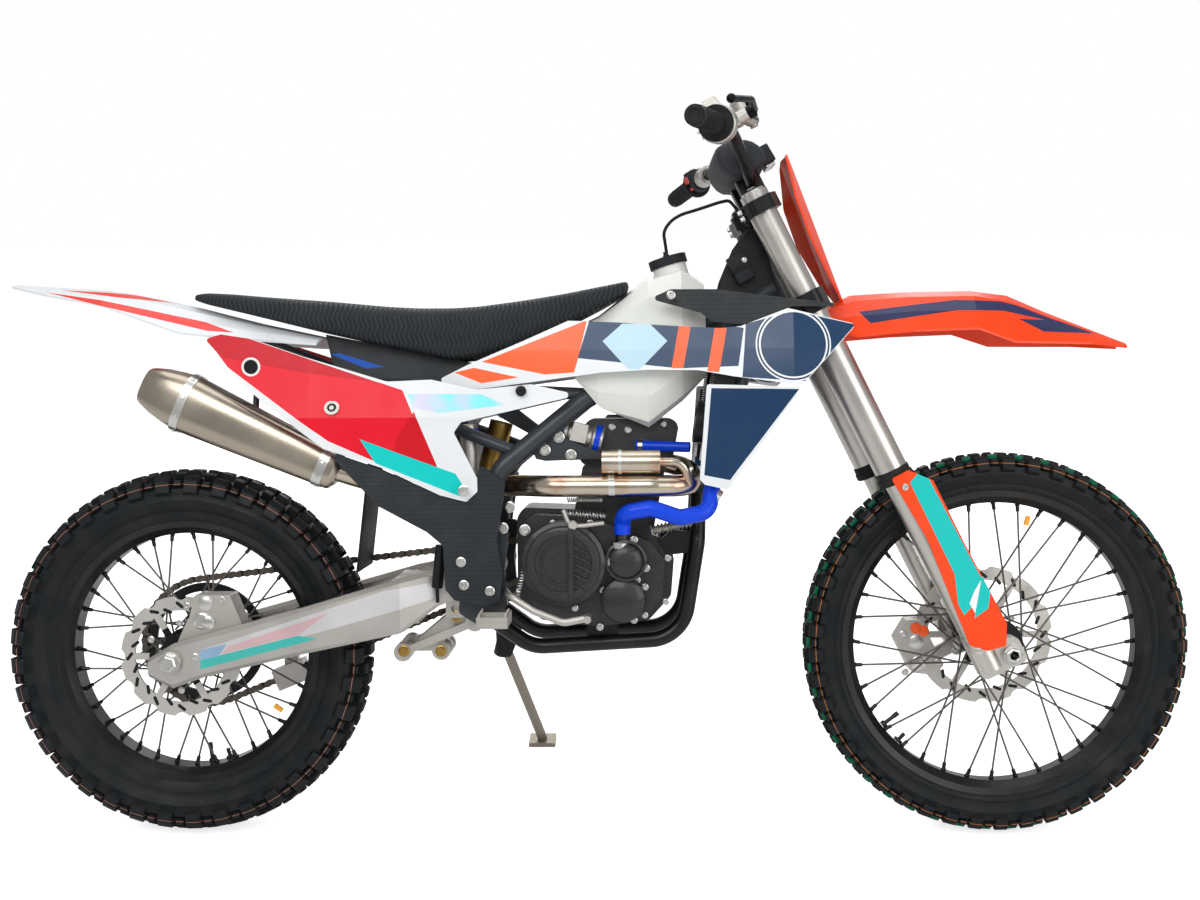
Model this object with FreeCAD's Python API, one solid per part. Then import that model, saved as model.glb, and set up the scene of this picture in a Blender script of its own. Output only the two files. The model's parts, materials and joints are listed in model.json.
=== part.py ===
import FreeCAD, Part
import math
import os

os.makedirs("parts", exist_ok=True)

# A full-size dirt bike that leans on its side stand.
# It is drawn upright, in millimetres: X forward from the rear axle, Y to the bike's left,
# Z up from the ground between the tyres. At the end every solid leans over with the bike.

# Driving dimensions
leg_x = 1141.54
lean_deg = 11.5
rake_deg = 26.5
axle_lead = 42.0
clamp_offset = 22.0
full_turn_deg = 360.0
gap = 0.5
overrun = 2.0
run_share = 0.45
half_share = 0.5
straight_deg = 2.0

front_tyre_radius = 350.0
front_tyre_width = 84.0
front_rim_radius = 281.5
front_rim_width = 54.0
rear_tyre_radius = 338.0
rear_tyre_width = 110.0
rear_rim_radius = 243.5
rear_rim_width = 68.0
rim_depth = 24.0
rim_wall = 5.0
rim_shoulder = 15.0

pivot_x = 558.0
pivot_z = 490.0
peg_x = 580.0
peg_z = 420.0
stand_top_x = 571.0
stand_top_y = 104.0
stand_top_z = 330.0
stand_foot_x = 629.0
stand_foot_y = 337.0
chain_y = 72.0
rear_disc_y = -72.0
front_disc_y = 62.0
fork_spread = 105.0
bar_half_length = 400.0

stand_axis = FreeCAD.Vector(0.121, 0.729, 0.674).normalize()
lean = math.radians(lean_deg)
rake = math.radians(rake_deg)


# Helper functions

def vec(x, y, z):
    return FreeCAD.Vector(x, y, z)


along_x = vec(1, 0, 0)
along_y = vec(0, 1, 0)
along_z = vec(0, 0, 1)


def half(size):
    return size * half_share


def quarter(size):
    return size * half_share * half_share


def spread(shares, corner, size):
    """Side-view points from shares of a length and a height, counted from a low rear corner."""
    return [(corner[0] + size[0] * across, corner[1] + size[1] * up) for across, up in shares]


def route(shares, corner, size):
    """Places in space from shares of a length, a width and a height."""
    return [vec(corner[0] + size[0] * ahead, corner[1] + size[1] * across, corner[2] + size[2] * up)
            for ahead, across, up in shares]


def rounded_wire(points, radius, closed=False):
    """A path or outline whose corners are arcs, as large as the radius or the runs allow."""
    count = len(points)
    edges = []
    previous = None
    first = None
    for index, corner in enumerate(points):
        ends = not closed and index in (0, count - 1)
        back = points[index - 1] - corner
        ahead = points[(index + 1) % count] - corner
        turn = math.pi - back.getAngle(ahead)
        if ends or turn < math.radians(straight_deg) or radius <= 0:
            arc = None
            enter = leave = corner
        else:
            reach = min(radius * math.tan(half(turn)), back.Length * run_share, ahead.Length * run_share)
            size = reach / math.tan(half(turn))
            back_way = vec(back.x, back.y, back.z).normalize()
            ahead_way = vec(ahead.x, ahead.y, ahead.z).normalize()
            enter = corner + back_way * reach
            leave = corner + ahead_way * reach
            middle_way = (back_way + ahead_way).normalize()
            middle = corner + middle_way * (size / math.cos(half(turn)) - size)
            arc = Part.Arc(enter, middle, leave).toShape()
        if previous is not None:
            edges.append(Part.makeLine(previous, enter))
        if first is None:
            first = enter
        if arc is not None:
            edges.append(arc)
        previous = leave
    if closed:
        edges.append(Part.makeLine(previous, first))
    return Part.Wire(edges)


def bar(start, end, diameter, bore=0):
    """A round bar or tube between two points."""
    way = end - start
    solid = Part.makeCylinder(half(diameter), way.Length, start, way)
    if bore:
        solid = solid.cut(Part.makeCylinder(half(bore), way.Length + overrun + overrun,
                                            start - vec(way.x, way.y, way.z).normalize() * overrun, way))
    return solid


def tube(points, diameter, bend):
    """A bent tube along points, with arcs of the bend radius."""
    path = rounded_wire(points, bend)
    way = points[1] - points[0]
    ring = Part.Wire([Part.makeCircle(half(diameter), points[0], way)])
    return path.makePipeShell([ring], True, False)


def plate(points, y_low, y_high, corner=0):
    """A plate with a side-view outline, from one Y to another."""
    wire = rounded_wire([vec(x, y_low, z) for x, z in points], corner, True)
    return Part.Face(wire).extrude(vec(0, y_high - y_low, 0))


def box(x_low, x_high, y_low, y_high, z_low, z_high):
    return Part.makeBox(x_high - x_low, y_high - y_low, z_high - z_low, vec(x_low, y_low, z_low))


def loft(sections):
    """A solid through closed sections of as many points each."""
    wires = []
    for section in sections:
        wires.append(Part.makePolygon(section + [section[0]]))
    return Part.makeLoft(wires, True, True)


def turned(profile, x, z):
    """A body turned about a line along Y, from radius and Y pairs."""
    points = [vec(x + radius, y, z) for radius, y in profile]
    face = Part.Face(Part.makePolygon(points + [points[0]]))
    return face.revolve(vec(x, 0, z), along_y, full_turn_deg)


def join(shapes):
    whole = shapes[0]
    if len(shapes) > 1:
        whole = whole.fuse(shapes[1:])
    return whole.removeSplitter()


def other_side(shape):
    return shape.mirror(vec(0, 0, 0), along_y)


def lowest(shape):
    """The lowest solid of a shape."""
    return min(shape.Solids, key=lambda solid: solid.CenterOfMass.z)


def highest(shape):
    """The highest solid of a shape."""
    return max(shape.Solids, key=lambda solid: solid.CenterOfMass.z)


def lowest_y(shape):
    """The solid of a shape that lies farthest to the right."""
    return min(shape.Solids, key=lambda solid: solid.CenterOfMass.y)


def post_between(x, z, sheet, carrier):
    """A mounting post across from a sheet's inner face to the piece that carries it."""
    long = bar(vec(x, -bar_half_length, z), vec(x, 0, z), post_diameter)
    spans = sorted(long.cut(sheet).cut(carrier).Solids, key=lambda solid: solid.CenterOfMass.y)
    return spans[1]


def both(shape):
    """The piece and its twin on the other side, as one compound."""
    return Part.makeCompound([shape, other_side(shape)])


def around(shape, count, x, z):
    """Copies of a shape turned about a line along Y."""
    copies = []
    for index in range(count):
        copy = shape.copy()
        copy.rotate(vec(x, 0, z), along_y, full_turn_deg * index / count)
        copies.append(copy)
    return copies


# Wheels
# The outline over the lugs, as shares of the half width and of the tyre's height

lug_shares = [(0.0, 0.015), (0.36, 0.015), (0.56, 0.05), (1.0, 0.28)]
carcass_shares = [(0.46, 0.02), (0.88, 0.26), (0.9, 0.62)]
cavity_shares = [(0.62, 0.62), (0.48, 0.16)]
front_lug_height = 12.0
rear_lug_height = 14.0
front_lugs = 48
rear_lugs = 40
lug_root = 8.0
lug_run_share = 0.58


def crown_points(radius, width, rim_radius):
    """Outline over the lugs as radius and Y pairs, from the middle to the side."""
    height = radius - rim_radius
    return [(radius - height * down, half(width) * out) for out, down in lug_shares]


def axle_height(radius, width, rim_radius):
    """Height at which the leaning tyre just touches the ground."""
    return max(reach + y * math.tan(lean) for reach, y in crown_points(radius, width, rim_radius))


rear_axle_z = axle_height(rear_tyre_radius, rear_tyre_width, rear_rim_radius)
front_axle_z = axle_height(front_tyre_radius, front_tyre_width, front_rim_radius)
bead_lap = 3.0


def faceted_ring(outline, facets, x, z):
    """A ring of flat facets about a line along Y. A quarter of one facet lies behind the lowest point."""
    faces = []
    corners = len(outline)
    for index in range(facets):
        first = math.radians(full_turn_deg * (index - quarter(1)) / facets)
        second = math.radians(full_turn_deg * (index + 1 - quarter(1)) / facets)
        for place in range(corners):
            reach, y = outline[place]
            next_reach, next_y = outline[(place + 1) % corners]
            points = [vec(x + reach * math.sin(first), y, z - reach * math.cos(first)),
                      vec(x + next_reach * math.sin(first), next_y, z - next_reach * math.cos(first)),
                      vec(x + next_reach * math.sin(second), next_y, z - next_reach * math.cos(second)),
                      vec(x + reach * math.sin(second), y, z - reach * math.cos(second))]
            faces.append(Part.Face(Part.makePolygon(points + [points[0]])))
    ring = Part.Solid(Part.Shell(faces))
    if ring.Volume < 0:
        ring.reverse()
    return ring


def lug(section, run, x, z, angle_deg):
    """A block of a radius and Y section, as long as its run round the tyre."""
    points = [vec(x - half(run), y, z - reach) for reach, y in section]
    block = Part.Face(Part.makePolygon(points + [points[0]])).extrude(vec(run, 0, 0))
    block.rotate(vec(x, 0, z), along_y, angle_deg)
    return block


def tyre(x, z, radius, width, rim_radius, rim_width, lug_count, lug_height):
    """The carcass as a ring of facets with two lug rows on each: a middle block, then a block on each shoulder."""
    base = radius - lug_height
    height = base - rim_radius
    outer = [(base - height * down, half(width) * out) for out, down in carcass_shares]
    bead_radius = (rim_radius + gap) / math.cos(math.pi / (lug_count // 2))
    bead = [(bead_radius, half(rim_width) + bead_lap), (bead_radius, half(rim_width) - rim_wall - gap),
            (rim_radius - half(rim_depth), half(rim_width) - rim_shoulder - gap),
            (rim_radius - half(rim_depth), half(rim_width) - rim_shoulder - gap - rim_wall)]
    inner = [(base - height * down, half(width) * out) for out, down in cavity_shares]
    side = outer + bead + inner
    outline = side + [(reach, -y) for reach, y in reversed(side)]
    carcass = faceted_ring(outline, lug_count // 2, x, z)
    crown = crown_points(radius, width, rim_radius)
    pitch = full_turn_deg / lug_count
    run = math.radians(pitch) * radius * lug_run_share
    middle = [(crown[1][0], -crown[1][1]), crown[1], (base - lug_root, crown[1][1]), (base - lug_root, -crown[1][1])]
    shoulder = [crown[2], crown[3], (crown[3][0] - lug_root - lug_root, crown[3][1] - lug_root),
                (crown[2][0] - lug_height - lug_root, crown[2][1])]
    twin = [(reach, -y) for reach, y in shoulder]
    lugs = []
    for index in range(lug_count // 2):
        lugs.append(lug(middle, run, x, z, pitch * index * 2))
        for section in (shoulder, twin):
            lugs.append(lug(section, run, x, z, pitch * (index * 2 + 1)))
    return carcass.fuse(lugs)


def rim(x, z, rim_radius, rim_width):
    bed = rim_radius - rim_depth
    side = [(bed, half(rim_width) - rim_shoulder),
            (rim_radius - half(rim_depth), half(rim_width) - half(rim_wall)),
            (rim_radius, half(rim_width)), (rim_radius, half(rim_width) - rim_wall),
            (bed + rim_wall, half(rim_width) - rim_shoulder)]
    twin = [(reach, -y) for reach, y in reversed(side)]
    return turned(side + twin, x, z)


spoke_count = 36
spoke_diameter = 3.6
nipple_diameter = 7.0
nipple_length = 14.0
spoke_cross_deg = 62.0


def spokes(x, z, hub_radius, flange_y, rim_radius):
    """Crossed spokes from the hub's flanges to the rim, and the nipple of each."""
    bed = rim_radius - rim_depth
    pieces = []
    for index in range(spoke_count):
        side = 1 if index % 2 else -1
        lead = 1 if (index // 2) % 2 else -1
        rim_angle = math.radians(full_turn_deg * index / spoke_count)
        hub_angle = rim_angle + lead * math.radians(spoke_cross_deg)
        foot = vec(x + hub_radius * math.cos(hub_angle), side * flange_y, z + hub_radius * math.sin(hub_angle))
        tip = vec(x + bed * math.cos(rim_angle), 0, z + bed * math.sin(rim_angle))
        way = (foot - tip).normalize()
        pieces.append(bar(foot, tip, spoke_diameter))
        pieces.append(bar(tip - way * half(nipple_diameter), tip + way * nipple_length, nipple_diameter))
    return pieces


disc_thickness = 4.0
front_disc_radius = 130.0
rear_disc_radius = 110.0
disc_band = 26.0
petal_count = 12
petal_depth = 7.0
petal_width = 30.0
carrier_arm_width = 12.0


def disc(x, z, y, radius, hub_radius):
    """A petal brake disc with its arms in to the hub."""
    ring = turned([(radius - disc_band, y - half(disc_thickness)), (radius, y - half(disc_thickness)),
                   (radius, y + half(disc_thickness)), (radius - disc_band, y + half(disc_thickness))], x, z)
    notch = bar(vec(x + radius + half(petal_width) - petal_depth, y - disc_thickness, z),
                vec(x + radius + half(petal_width) - petal_depth, y + disc_thickness, z), petal_width)
    ring = ring.cut(Part.makeCompound(around(notch, petal_count, x, z)))
    arm = box(x + hub_radius - overrun, x + radius - disc_band + overrun,
              y - half(disc_thickness), y + half(disc_thickness),
              z - half(carrier_arm_width), z + half(carrier_arm_width))
    return ring, around(arm, petal_count // 2, x, z)


hub_flange_y = 30.0
hub_barrel = 25.0
hub_flange_radius = 46.0
hub_flange_width = 7.0
axle_diameter = 25.0
bore_clearance = 0.3
spacer_diameter = 36.0


def hub(x, z, y_low, y_high, disc_side_y, disc_radius):
    """A hub barrel with spoke flanges, bored for the axle, and the disc on its seat."""
    bore = half(axle_diameter) + bore_clearance
    inner_flange = hub_flange_y - hub_flange_width
    outer_flange = hub_flange_y + hub_flange_width
    profile = [(bore, y_low), (hub_flange_radius - hub_flange_width, y_low),
               (hub_flange_radius - hub_flange_width, -outer_flange), (hub_flange_radius, -outer_flange),
               (hub_flange_radius, -inner_flange), (hub_barrel, -inner_flange + hub_flange_width),
               (hub_barrel, inner_flange - hub_flange_width), (hub_flange_radius, inner_flange),
               (hub_flange_radius, outer_flange), (hub_flange_radius - hub_flange_width, outer_flange),
               (hub_flange_radius - hub_flange_width, y_high), (bore, y_high)]
    ring, arms = disc(x, z, disc_side_y, disc_radius, hub_flange_radius - hub_flange_width)
    return join([turned(profile, x, z), ring] + arms)


def wheel_rim(x, z, rim_radius, rim_width):
    lace = spokes(x, z, hub_flange_radius + half(spoke_diameter), hub_flange_y, rim_radius)
    return rim(x, z, rim_radius, rim_width).fuse(lace)


# Chain drive

chain_pitch = 15.875
rear_teeth = 48
front_teeth = 13
chain_width = 16.0
chain_height = 15.0
sprocket_thickness = 6.0
front_sprocket_ahead = 75.0
front_sprocket_rise = 14.0
front_sprocket_x = pivot_x + front_sprocket_ahead
front_sprocket_z = pivot_z + front_sprocket_rise


def pitch_radius(teeth):
    return half(chain_pitch) / math.sin(math.pi / teeth)


rear_pitch = pitch_radius(rear_teeth)
front_pitch = pitch_radius(front_teeth)


chain_waist_share = 0.62
sprocket_run = math.hypot(front_sprocket_x, front_sprocket_z - rear_axle_z)
sprocket_tilt = math.atan2(front_sprocket_z - rear_axle_z, front_sprocket_x)
wrap_angle = math.acos((rear_pitch - front_pitch) / sprocket_run)
straight_run = math.sqrt(sprocket_run ** 2 - (rear_pitch - front_pitch) ** 2)


def chain_place(along):
    """A place on the pitch line and the way out of the loop there, by its distance from the rear sprocket's top."""
    up = sprocket_tilt + wrap_angle
    down = sprocket_tilt - wrap_angle
    rear_arc = rear_pitch * (math.pi + math.pi - wrap_angle - wrap_angle)
    front_arc = front_pitch * (wrap_angle + wrap_angle)
    stretches = [(straight_run, up, None), (front_arc, up, front_pitch), (straight_run, down, None), (rear_arc, down, rear_pitch)]
    for index, (length, angle, radius) in enumerate(stretches):
        if along > length:
            along -= length
            continue
        if radius is not None:
            angle = angle - along / radius
        out = vec(math.cos(angle), 0, math.sin(angle))
        front_middle = vec(front_sprocket_x, 0, front_sprocket_z)
        rear_middle = vec(0, 0, rear_axle_z)
        if index == 0:
            return rear_middle + out * rear_pitch + out.cross(along_y) * -along, out
        if index == 1:
            return front_middle + out * front_pitch, out
        if index == 2:
            return front_middle + out * front_pitch + out.cross(along_y) * -along, out
        return rear_middle + out * rear_pitch, out
    return chain_place(0)


def chain_edge(count, length, way):
    """One edge of the links: full height at each pin, narrowed to the waist between pins."""
    points = []
    for index in range(count + count):
        place, out = chain_place(length * index / (count + count))
        offset = half(chain_height) * (chain_waist_share if index % 2 else 1)
        points.append(place + out * offset * way + along_y * (chain_y - half(chain_width)))
    return points


def make_chain():
    """The closed chain, scalloped link by link along both of its edges."""
    length = straight_run + straight_run + rear_pitch * (math.pi + math.pi - wrap_angle - wrap_angle)
    length += front_pitch * (wrap_angle + wrap_angle)
    count = round(length / chain_pitch)
    loops = []
    for way in (1, -1):
        points = chain_edge(count, length, way)
        loops.append(Part.Face(Part.makePolygon(points + [points[0]])).extrude(vec(0, chain_width, 0)))
    return loops[0].cut(loops[1])


sprocket_band = 16.0
sprocket_arm = 14.0
sprocket_arms = 6


def sprocket(x, z, outer, bore_radius, y):
    ring = turned([(outer - sprocket_band, y - half(sprocket_thickness)), (outer, y - half(sprocket_thickness)),
                   (outer, y + half(sprocket_thickness)), (outer - sprocket_band, y + half(sprocket_thickness))], x, z)
    collar = turned([(bore_radius, y - half(sprocket_thickness)), (bore_radius + sprocket_band, y - half(sprocket_thickness)),
                     (bore_radius + sprocket_band, y + half(sprocket_thickness)), (bore_radius, y + half(sprocket_thickness))], x, z)
    arm = box(x + bore_radius + overrun, x + outer - overrun, y - half(sprocket_thickness), y + half(sprocket_thickness),
              z - half(sprocket_arm), z + half(sprocket_arm))
    return join([ring, collar] + around(arm, sprocket_arms, x, z))


# Steering: everything here is placed by its height up the fork leg, its reach
# forward of the leg and its Y. The leg passes behind the axle by the axle's lead.

leg_up = vec(-math.sin(rake), 0, math.cos(rake))
leg_ahead = vec(math.cos(rake), 0, math.sin(rake))
clamp_low = 690.0
leg_foot = vec(leg_x + math.sin(rake) * clamp_low, 0, front_axle_z - math.sin(rake) * axle_lead)
wheelbase = leg_foot.x + math.cos(rake) * axle_lead


def fork_at(up, ahead, y):
    return leg_foot + leg_up * up + leg_ahead * ahead + along_y * y


def fork_plate(points, y_low, y_high, corner=0):
    """A plate whose outline is given as reach ahead of the leg and height up it."""
    wire = rounded_wire([fork_at(up, ahead, y_low) for ahead, up in points], corner, True)
    return Part.Face(wire).extrude(vec(0, y_high - y_low, 0))


def fork_slab(points, up_low, up_high, corner=0):
    """A slab across the legs, from Y and reach pairs, between two heights."""
    wire = rounded_wire([fork_at(up_low, ahead, y) for y, ahead in points], corner, True)
    return Part.Face(wire).extrude(leg_up * (up_high - up_low))


clamp_low_height = 38.0
clamp_high = 885.0
clamp_high_height = 26.0
outer_low = 360.0
outer_step = 640.0
outer_top = 925.0
outer_thick = 58.0
outer_slim = 50.0
inner_tube = 46.0
stem_diameter = 28.0
head_diameter = 50.0
head_bore = 30.0
head_gap = 8.0
lug_length = 60.0
lug_diameter = 44.0
cap_height = 8.0


def make_fork_tubes():
    legs = []
    for y in (-fork_spread, fork_spread):
        thick = bar(fork_at(outer_low, 0, y), fork_at(outer_step, 0, y), outer_thick)
        taper_end = outer_step + half(outer_thick)
        cone = Part.makeCone(half(outer_thick), half(outer_slim), taper_end - outer_step,
                             fork_at(outer_step, 0, y), leg_up)
        slim = bar(fork_at(taper_end, 0, y), fork_at(outer_top, 0, y), outer_slim)
        inner = bar(fork_at(lug_length, 0, y), fork_at(outer_low, 0, y), inner_tube)
        lug = bar(fork_at(-half(lug_diameter) * half_share, 0, y), fork_at(lug_length, 0, y), lug_diameter + rim_wall)
        boss_points = [(-half(lug_diameter), -half(lug_diameter)), (axle_lead + half(lug_diameter), -half(lug_diameter)),
                       (axle_lead + half(lug_diameter), half(lug_diameter)), (-half(lug_diameter), lug_length)]
        boss = fork_plate(boss_points, y - half(lug_diameter) + rim_wall, y + half(lug_diameter) - rim_wall, rim_wall + rim_wall)
        leg = join([thick, cone, slim, inner, lug, boss])
        axle_hole = bar(vec(wheelbase, y - lug_diameter, front_axle_z), vec(wheelbase, y + lug_diameter, front_axle_z),
                        axle_diameter + bore_clearance + bore_clearance)
        legs.append(leg.cut(axle_hole))
    return Part.makeCompound(legs)


clamp_wrap = 16.0
clamp_waist = 34.0
clamp_back = 10.0
stem_wrap = 20.0


def make_clamps():
    """The two triple clamps on their stem, bored for the legs and, in the stem's top, for the vent hose."""
    reach = half(outer_thick) + clamp_wrap * half_share
    side = fork_spread + half(outer_thick) + clamp_wrap * half_share
    back = -clamp_offset - stem_wrap
    outline = [(-side, -reach * half_share), (-fork_spread, -reach), (-clamp_waist, -clamp_offset), (-clamp_back, back),
               (clamp_back, back), (clamp_waist, -clamp_offset), (fork_spread, -reach), (side, -reach * half_share),
               (side, reach * half_share), (fork_spread, reach), (clamp_waist, reach * half_share),
               (-clamp_waist, reach * half_share), (-fork_spread, reach), (-side, reach * half_share)]
    lower = fork_slab(outline, clamp_low, clamp_low + clamp_low_height, clamp_wrap)
    upper = fork_slab(outline, clamp_high, clamp_high + clamp_high_height, clamp_wrap)
    stem = bar(fork_at(clamp_low, -clamp_offset, 0), fork_at(clamp_high + clamp_high_height + cap_height, -clamp_offset, 0),
               stem_diameter)
    whole = join([lower, upper, stem])
    for y in (-fork_spread, fork_spread):
        whole = whole.cut(bar(fork_at(outer_low, 0, y), fork_at(outer_top, 0, y), outer_slim + gap))
    return whole.cut(bar(fork_at(clamp_high, -clamp_offset, 0), fork_at(outer_top, -clamp_offset, 0), vent_diameter + gap))


guard_shares = [(0.1, 1.0), (0.55, 1.0), (0.95, 0.9), (0.95, 0.56), (1.0, 0.1), (0.75, 0.0),
                (0.3, 0.02), (0.0, 0.08), (0.08, 0.3), (0.22, 0.65)]
guard_low = 24.0
guard_height = 350.0
guard_depth = 74.0
guard_back = -20.0
guard_half_width = 38.0
guard_wall = 5.0


def make_fork_guards(fork_tubes):
    """The plastic guards that wrap the front and outside of the lower legs."""
    points = spread(guard_shares, (guard_back, guard_low), (guard_depth, guard_height))
    shell = fork_plate(points, -fork_spread - guard_half_width, -fork_spread + guard_half_width, guard_wall)
    hollow_points = spread(guard_shares, (guard_back - guard_wall - overrun, guard_low - overrun),
                           (guard_depth, guard_height + overrun + overrun))
    hollow = fork_plate(hollow_points, -fork_spread - guard_half_width + guard_wall,
                        -fork_spread + guard_half_width + overrun, 0)
    guard = shell.cut(hollow)
    return both(guard).cut(fork_tubes)


# The front fender is an arched blade: each station gives the share of its length,
# the share of its rise at the ridge and at the edge, and the share of its half width.

fender_x = 1112.0
fender_length = 606.0
fender_z = 878.0
fender_rise = 118.0
fender_half_width = 105.0
fender_wall = 4.0
fender_stations_shares = [(0.0, None, 0.34, 0.4), (0.1, None, 0.42, 0.62), (0.18, None, 0.3, 0.84),
                          (0.34, 0.99, 0.37, 1.0), (0.53, 1.0, 0.4, 0.92), (0.64, 0.93, 0.2, 0.84),
                          (0.75, 0.68, 0.19, 0.74), (0.88, 0.42, 0.18, 0.56), (1.0, 0.19, 0.13, 0.26)]
fender_arch_shares = [(0.0, 1.0), (0.35, 0.97), (0.6, 0.82), (0.82, 0.45), (1.0, 0.0)]


def clamp_underside(x):
    """Height of the lower clamp's underside at an X; the fender's rear end lies against it."""
    corner = fork_at(clamp_low, 0, 0)
    return corner.z + (x - corner.x) * math.tan(rake)


def arched_blade(stations, arch, x, length, z, rise, half_width, wall):
    """A thin arched body, closed by an inner skin one wall below the outer one."""
    sections = []
    for along, ridge, edge, wide in stations:
        station_x = x + length * along
        if ridge is None:
            ridge = (clamp_underside(station_x) - gap - z) / rise
        top = [(half_width * wide * out, z + rise * (edge + (ridge - edge) * up)) for out, up in arch]
        outer = [vec(station_x, -y, height) for y, height in reversed(top[1:])]
        outer += [vec(station_x, y, height) for y, height in top]
        inner = [vec(station_x, y, height - wall) for y, height in reversed(top)]
        inner += [vec(station_x, -y, height - wall) for y, height in top[1:]]
        sections.append(outer + inner)
    return loft(sections)


def make_front_fender():
    return arched_blade(fender_stations_shares, fender_arch_shares, fender_x, fender_length,
                        fender_z, fender_rise, fender_half_width, fender_wall)


plate_low = 684.0
plate_height = 284.0
plate_half_width = 86.0
plate_ahead = 74.0
plate_lean = 28.0
plate_wall = 4.0
plate_wrap = 26.0
plate_shares = [(-0.42, 0.0), (0.42, 0.0), (0.72, 0.16), (1.0, 0.45), (0.96, 0.72), (0.52, 1.0),
                (-0.52, 1.0), (-0.96, 0.72), (-1.0, 0.45), (-0.72, 0.16)]


def make_number_plate(fender):
    """The bare front plate: a bowed sheet cut to its outline."""
    sections = []
    for up in (0, 1):
        ahead = plate_ahead + plate_lean * up
        height = plate_low + plate_height * up
        wide = plate_half_width + overrun
        front = [(-wide, ahead - plate_wrap), (-half(wide), ahead - plate_wrap * half_share * half_share),
                 (0, ahead), (half(wide), ahead - plate_wrap * half_share * half_share), (wide, ahead - plate_wrap)]
        back = [(y, reach - plate_wall) for y, reach in reversed(front)]
        sections.append([fork_at(height, reach, y) for y, reach in front + back])
    bowed = loft(sections)
    outline = [fork_at(plate_low + plate_height * up, plate_ahead - plate_wrap - plate_wrap, plate_half_width * across)
               for across, up in plate_shares]
    cutter = Part.Face(rounded_wire(outline, plate_wrap, True)).extrude(leg_ahead * (plate_lean + plate_wrap + plate_wrap + plate_wrap + plate_wrap))
    return highest(bowed.common(cutter).cut(fender))


grip_bar_diameter = 22.0
bar_middle_up = 945.0
bar_middle_ahead = 10.0
bar_middle_half = 90.0
bar_bend_up = 1030.0
bar_bend_ahead = 2.0
bar_grip_run = 215.0
bar_bend_y = bar_half_length - bar_grip_run
bar_end_up = 1040.0
bar_end_ahead = -72.0
bar_bend_radius = 70.0
riser_y = 48.0
riser_width = 26.0
riser_depth = 44.0


def bar_end(side):
    return fork_at(bar_end_up, bar_end_ahead, side * bar_half_length)


def bar_shoulder(side):
    return fork_at(bar_bend_up, bar_bend_ahead, side * bar_bend_y)


def along_grip(side, inward):
    """A point on the bar's outer run, counted in from its end."""
    way = (bar_shoulder(side) - bar_end(side)).normalize()
    return bar_end(side) + way * inward


def handlebar_tube(diameter):
    middle = [fork_at(bar_middle_up, bar_middle_ahead, side * bar_middle_half) for side in (-1, 1)]
    points = [bar_end(-1), bar_shoulder(-1), middle[0], middle[1], bar_shoulder(1), bar_end(1)]
    return tube(points, diameter, bar_bend_radius)


def make_bar_risers():
    base = clamp_high + clamp_high_height
    blocks = []
    for side in (-1, 1):
        low_y = side * riser_y - half(riser_width)
        points = [(bar_middle_ahead - half(riser_depth), base), (bar_middle_ahead + half(riser_depth), base),
                  (bar_middle_ahead + half(riser_depth), bar_middle_up + half(riser_depth)),
                  (bar_middle_ahead - half(riser_depth), bar_middle_up + half(riser_depth))]
        block = fork_plate(points, low_y, low_y + riser_width, half(grip_bar_diameter) * half_share)
        blocks.append(block.cut(bar(fork_at(bar_middle_up, bar_middle_ahead, low_y - overrun),
                                    fork_at(bar_middle_up, bar_middle_ahead, low_y + riser_width + overrun),
                                    grip_bar_diameter + gap)))
    return Part.makeCompound(blocks)


pad_half_length = 112.0
pad_low = 975.0
pad_height = 58.0
pad_back = -30.0
pad_depth = 78.0


def make_bar_pad():
    """The foam pad over the middle of the bar."""
    points = [(pad_back, pad_low), (pad_back + pad_depth, pad_low), (pad_back + pad_depth, pad_low + pad_height),
              (pad_back, pad_low + pad_height)]
    pad = fork_plate(points, -pad_half_length, pad_half_length, half(pad_height) * half_share)
    return pad.cut(handlebar_tube(grip_bar_diameter + gap))


grip_length = 122.0
grip_diameter = 33.0
grip_flange = 44.0
flange_width = 6.0
housing_length = 24.0
housing_diameter = 48.0


def make_grips():
    """The grips, each with its inner flange, and the throttle's housing on the right."""
    pieces = []
    for side in (-1, 1):
        outer = along_grip(side, -flange_width)
        sleeve = bar(outer, along_grip(side, grip_length), grip_diameter)
        flange = bar(along_grip(side, grip_length), along_grip(side, grip_length + flange_width), grip_flange)
        whole = sleeve.fuse(flange)
        if side < 0:
            housing = bar(along_grip(side, grip_length + flange_width),
                          along_grip(side, grip_length + flange_width + housing_length), housing_diameter)
            whole = whole.fuse(housing)
        hole = bar(along_grip(side, 0), along_grip(side, grip_length + grip_length), grip_bar_diameter + gap)
        pieces.append(whole.cut(hole))
    return Part.makeCompound(pieces)


perch_inward = 158.0
perch_length = 30.0
perch_diameter = 34.0
perch_reach = 36.0
lever_reach = 58.0
lever_thickness = 11.0
lever_length = 150.0
lever_bow = 16.0
lever_bend = 40.0
master_length = 62.0
master_diameter = 24.0
pot_diameter = 30.0
pot_height = 28.0
banjo_diameter = 14.0


def perch_middle(side):
    return along_grip(side, perch_inward + half(perch_length))


def master_end():
    """The inner end of the brake's master cylinder."""
    return perch_middle(-1) + (along_grip(-1, master_length) - bar_end(-1)) + leg_ahead * perch_reach


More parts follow.
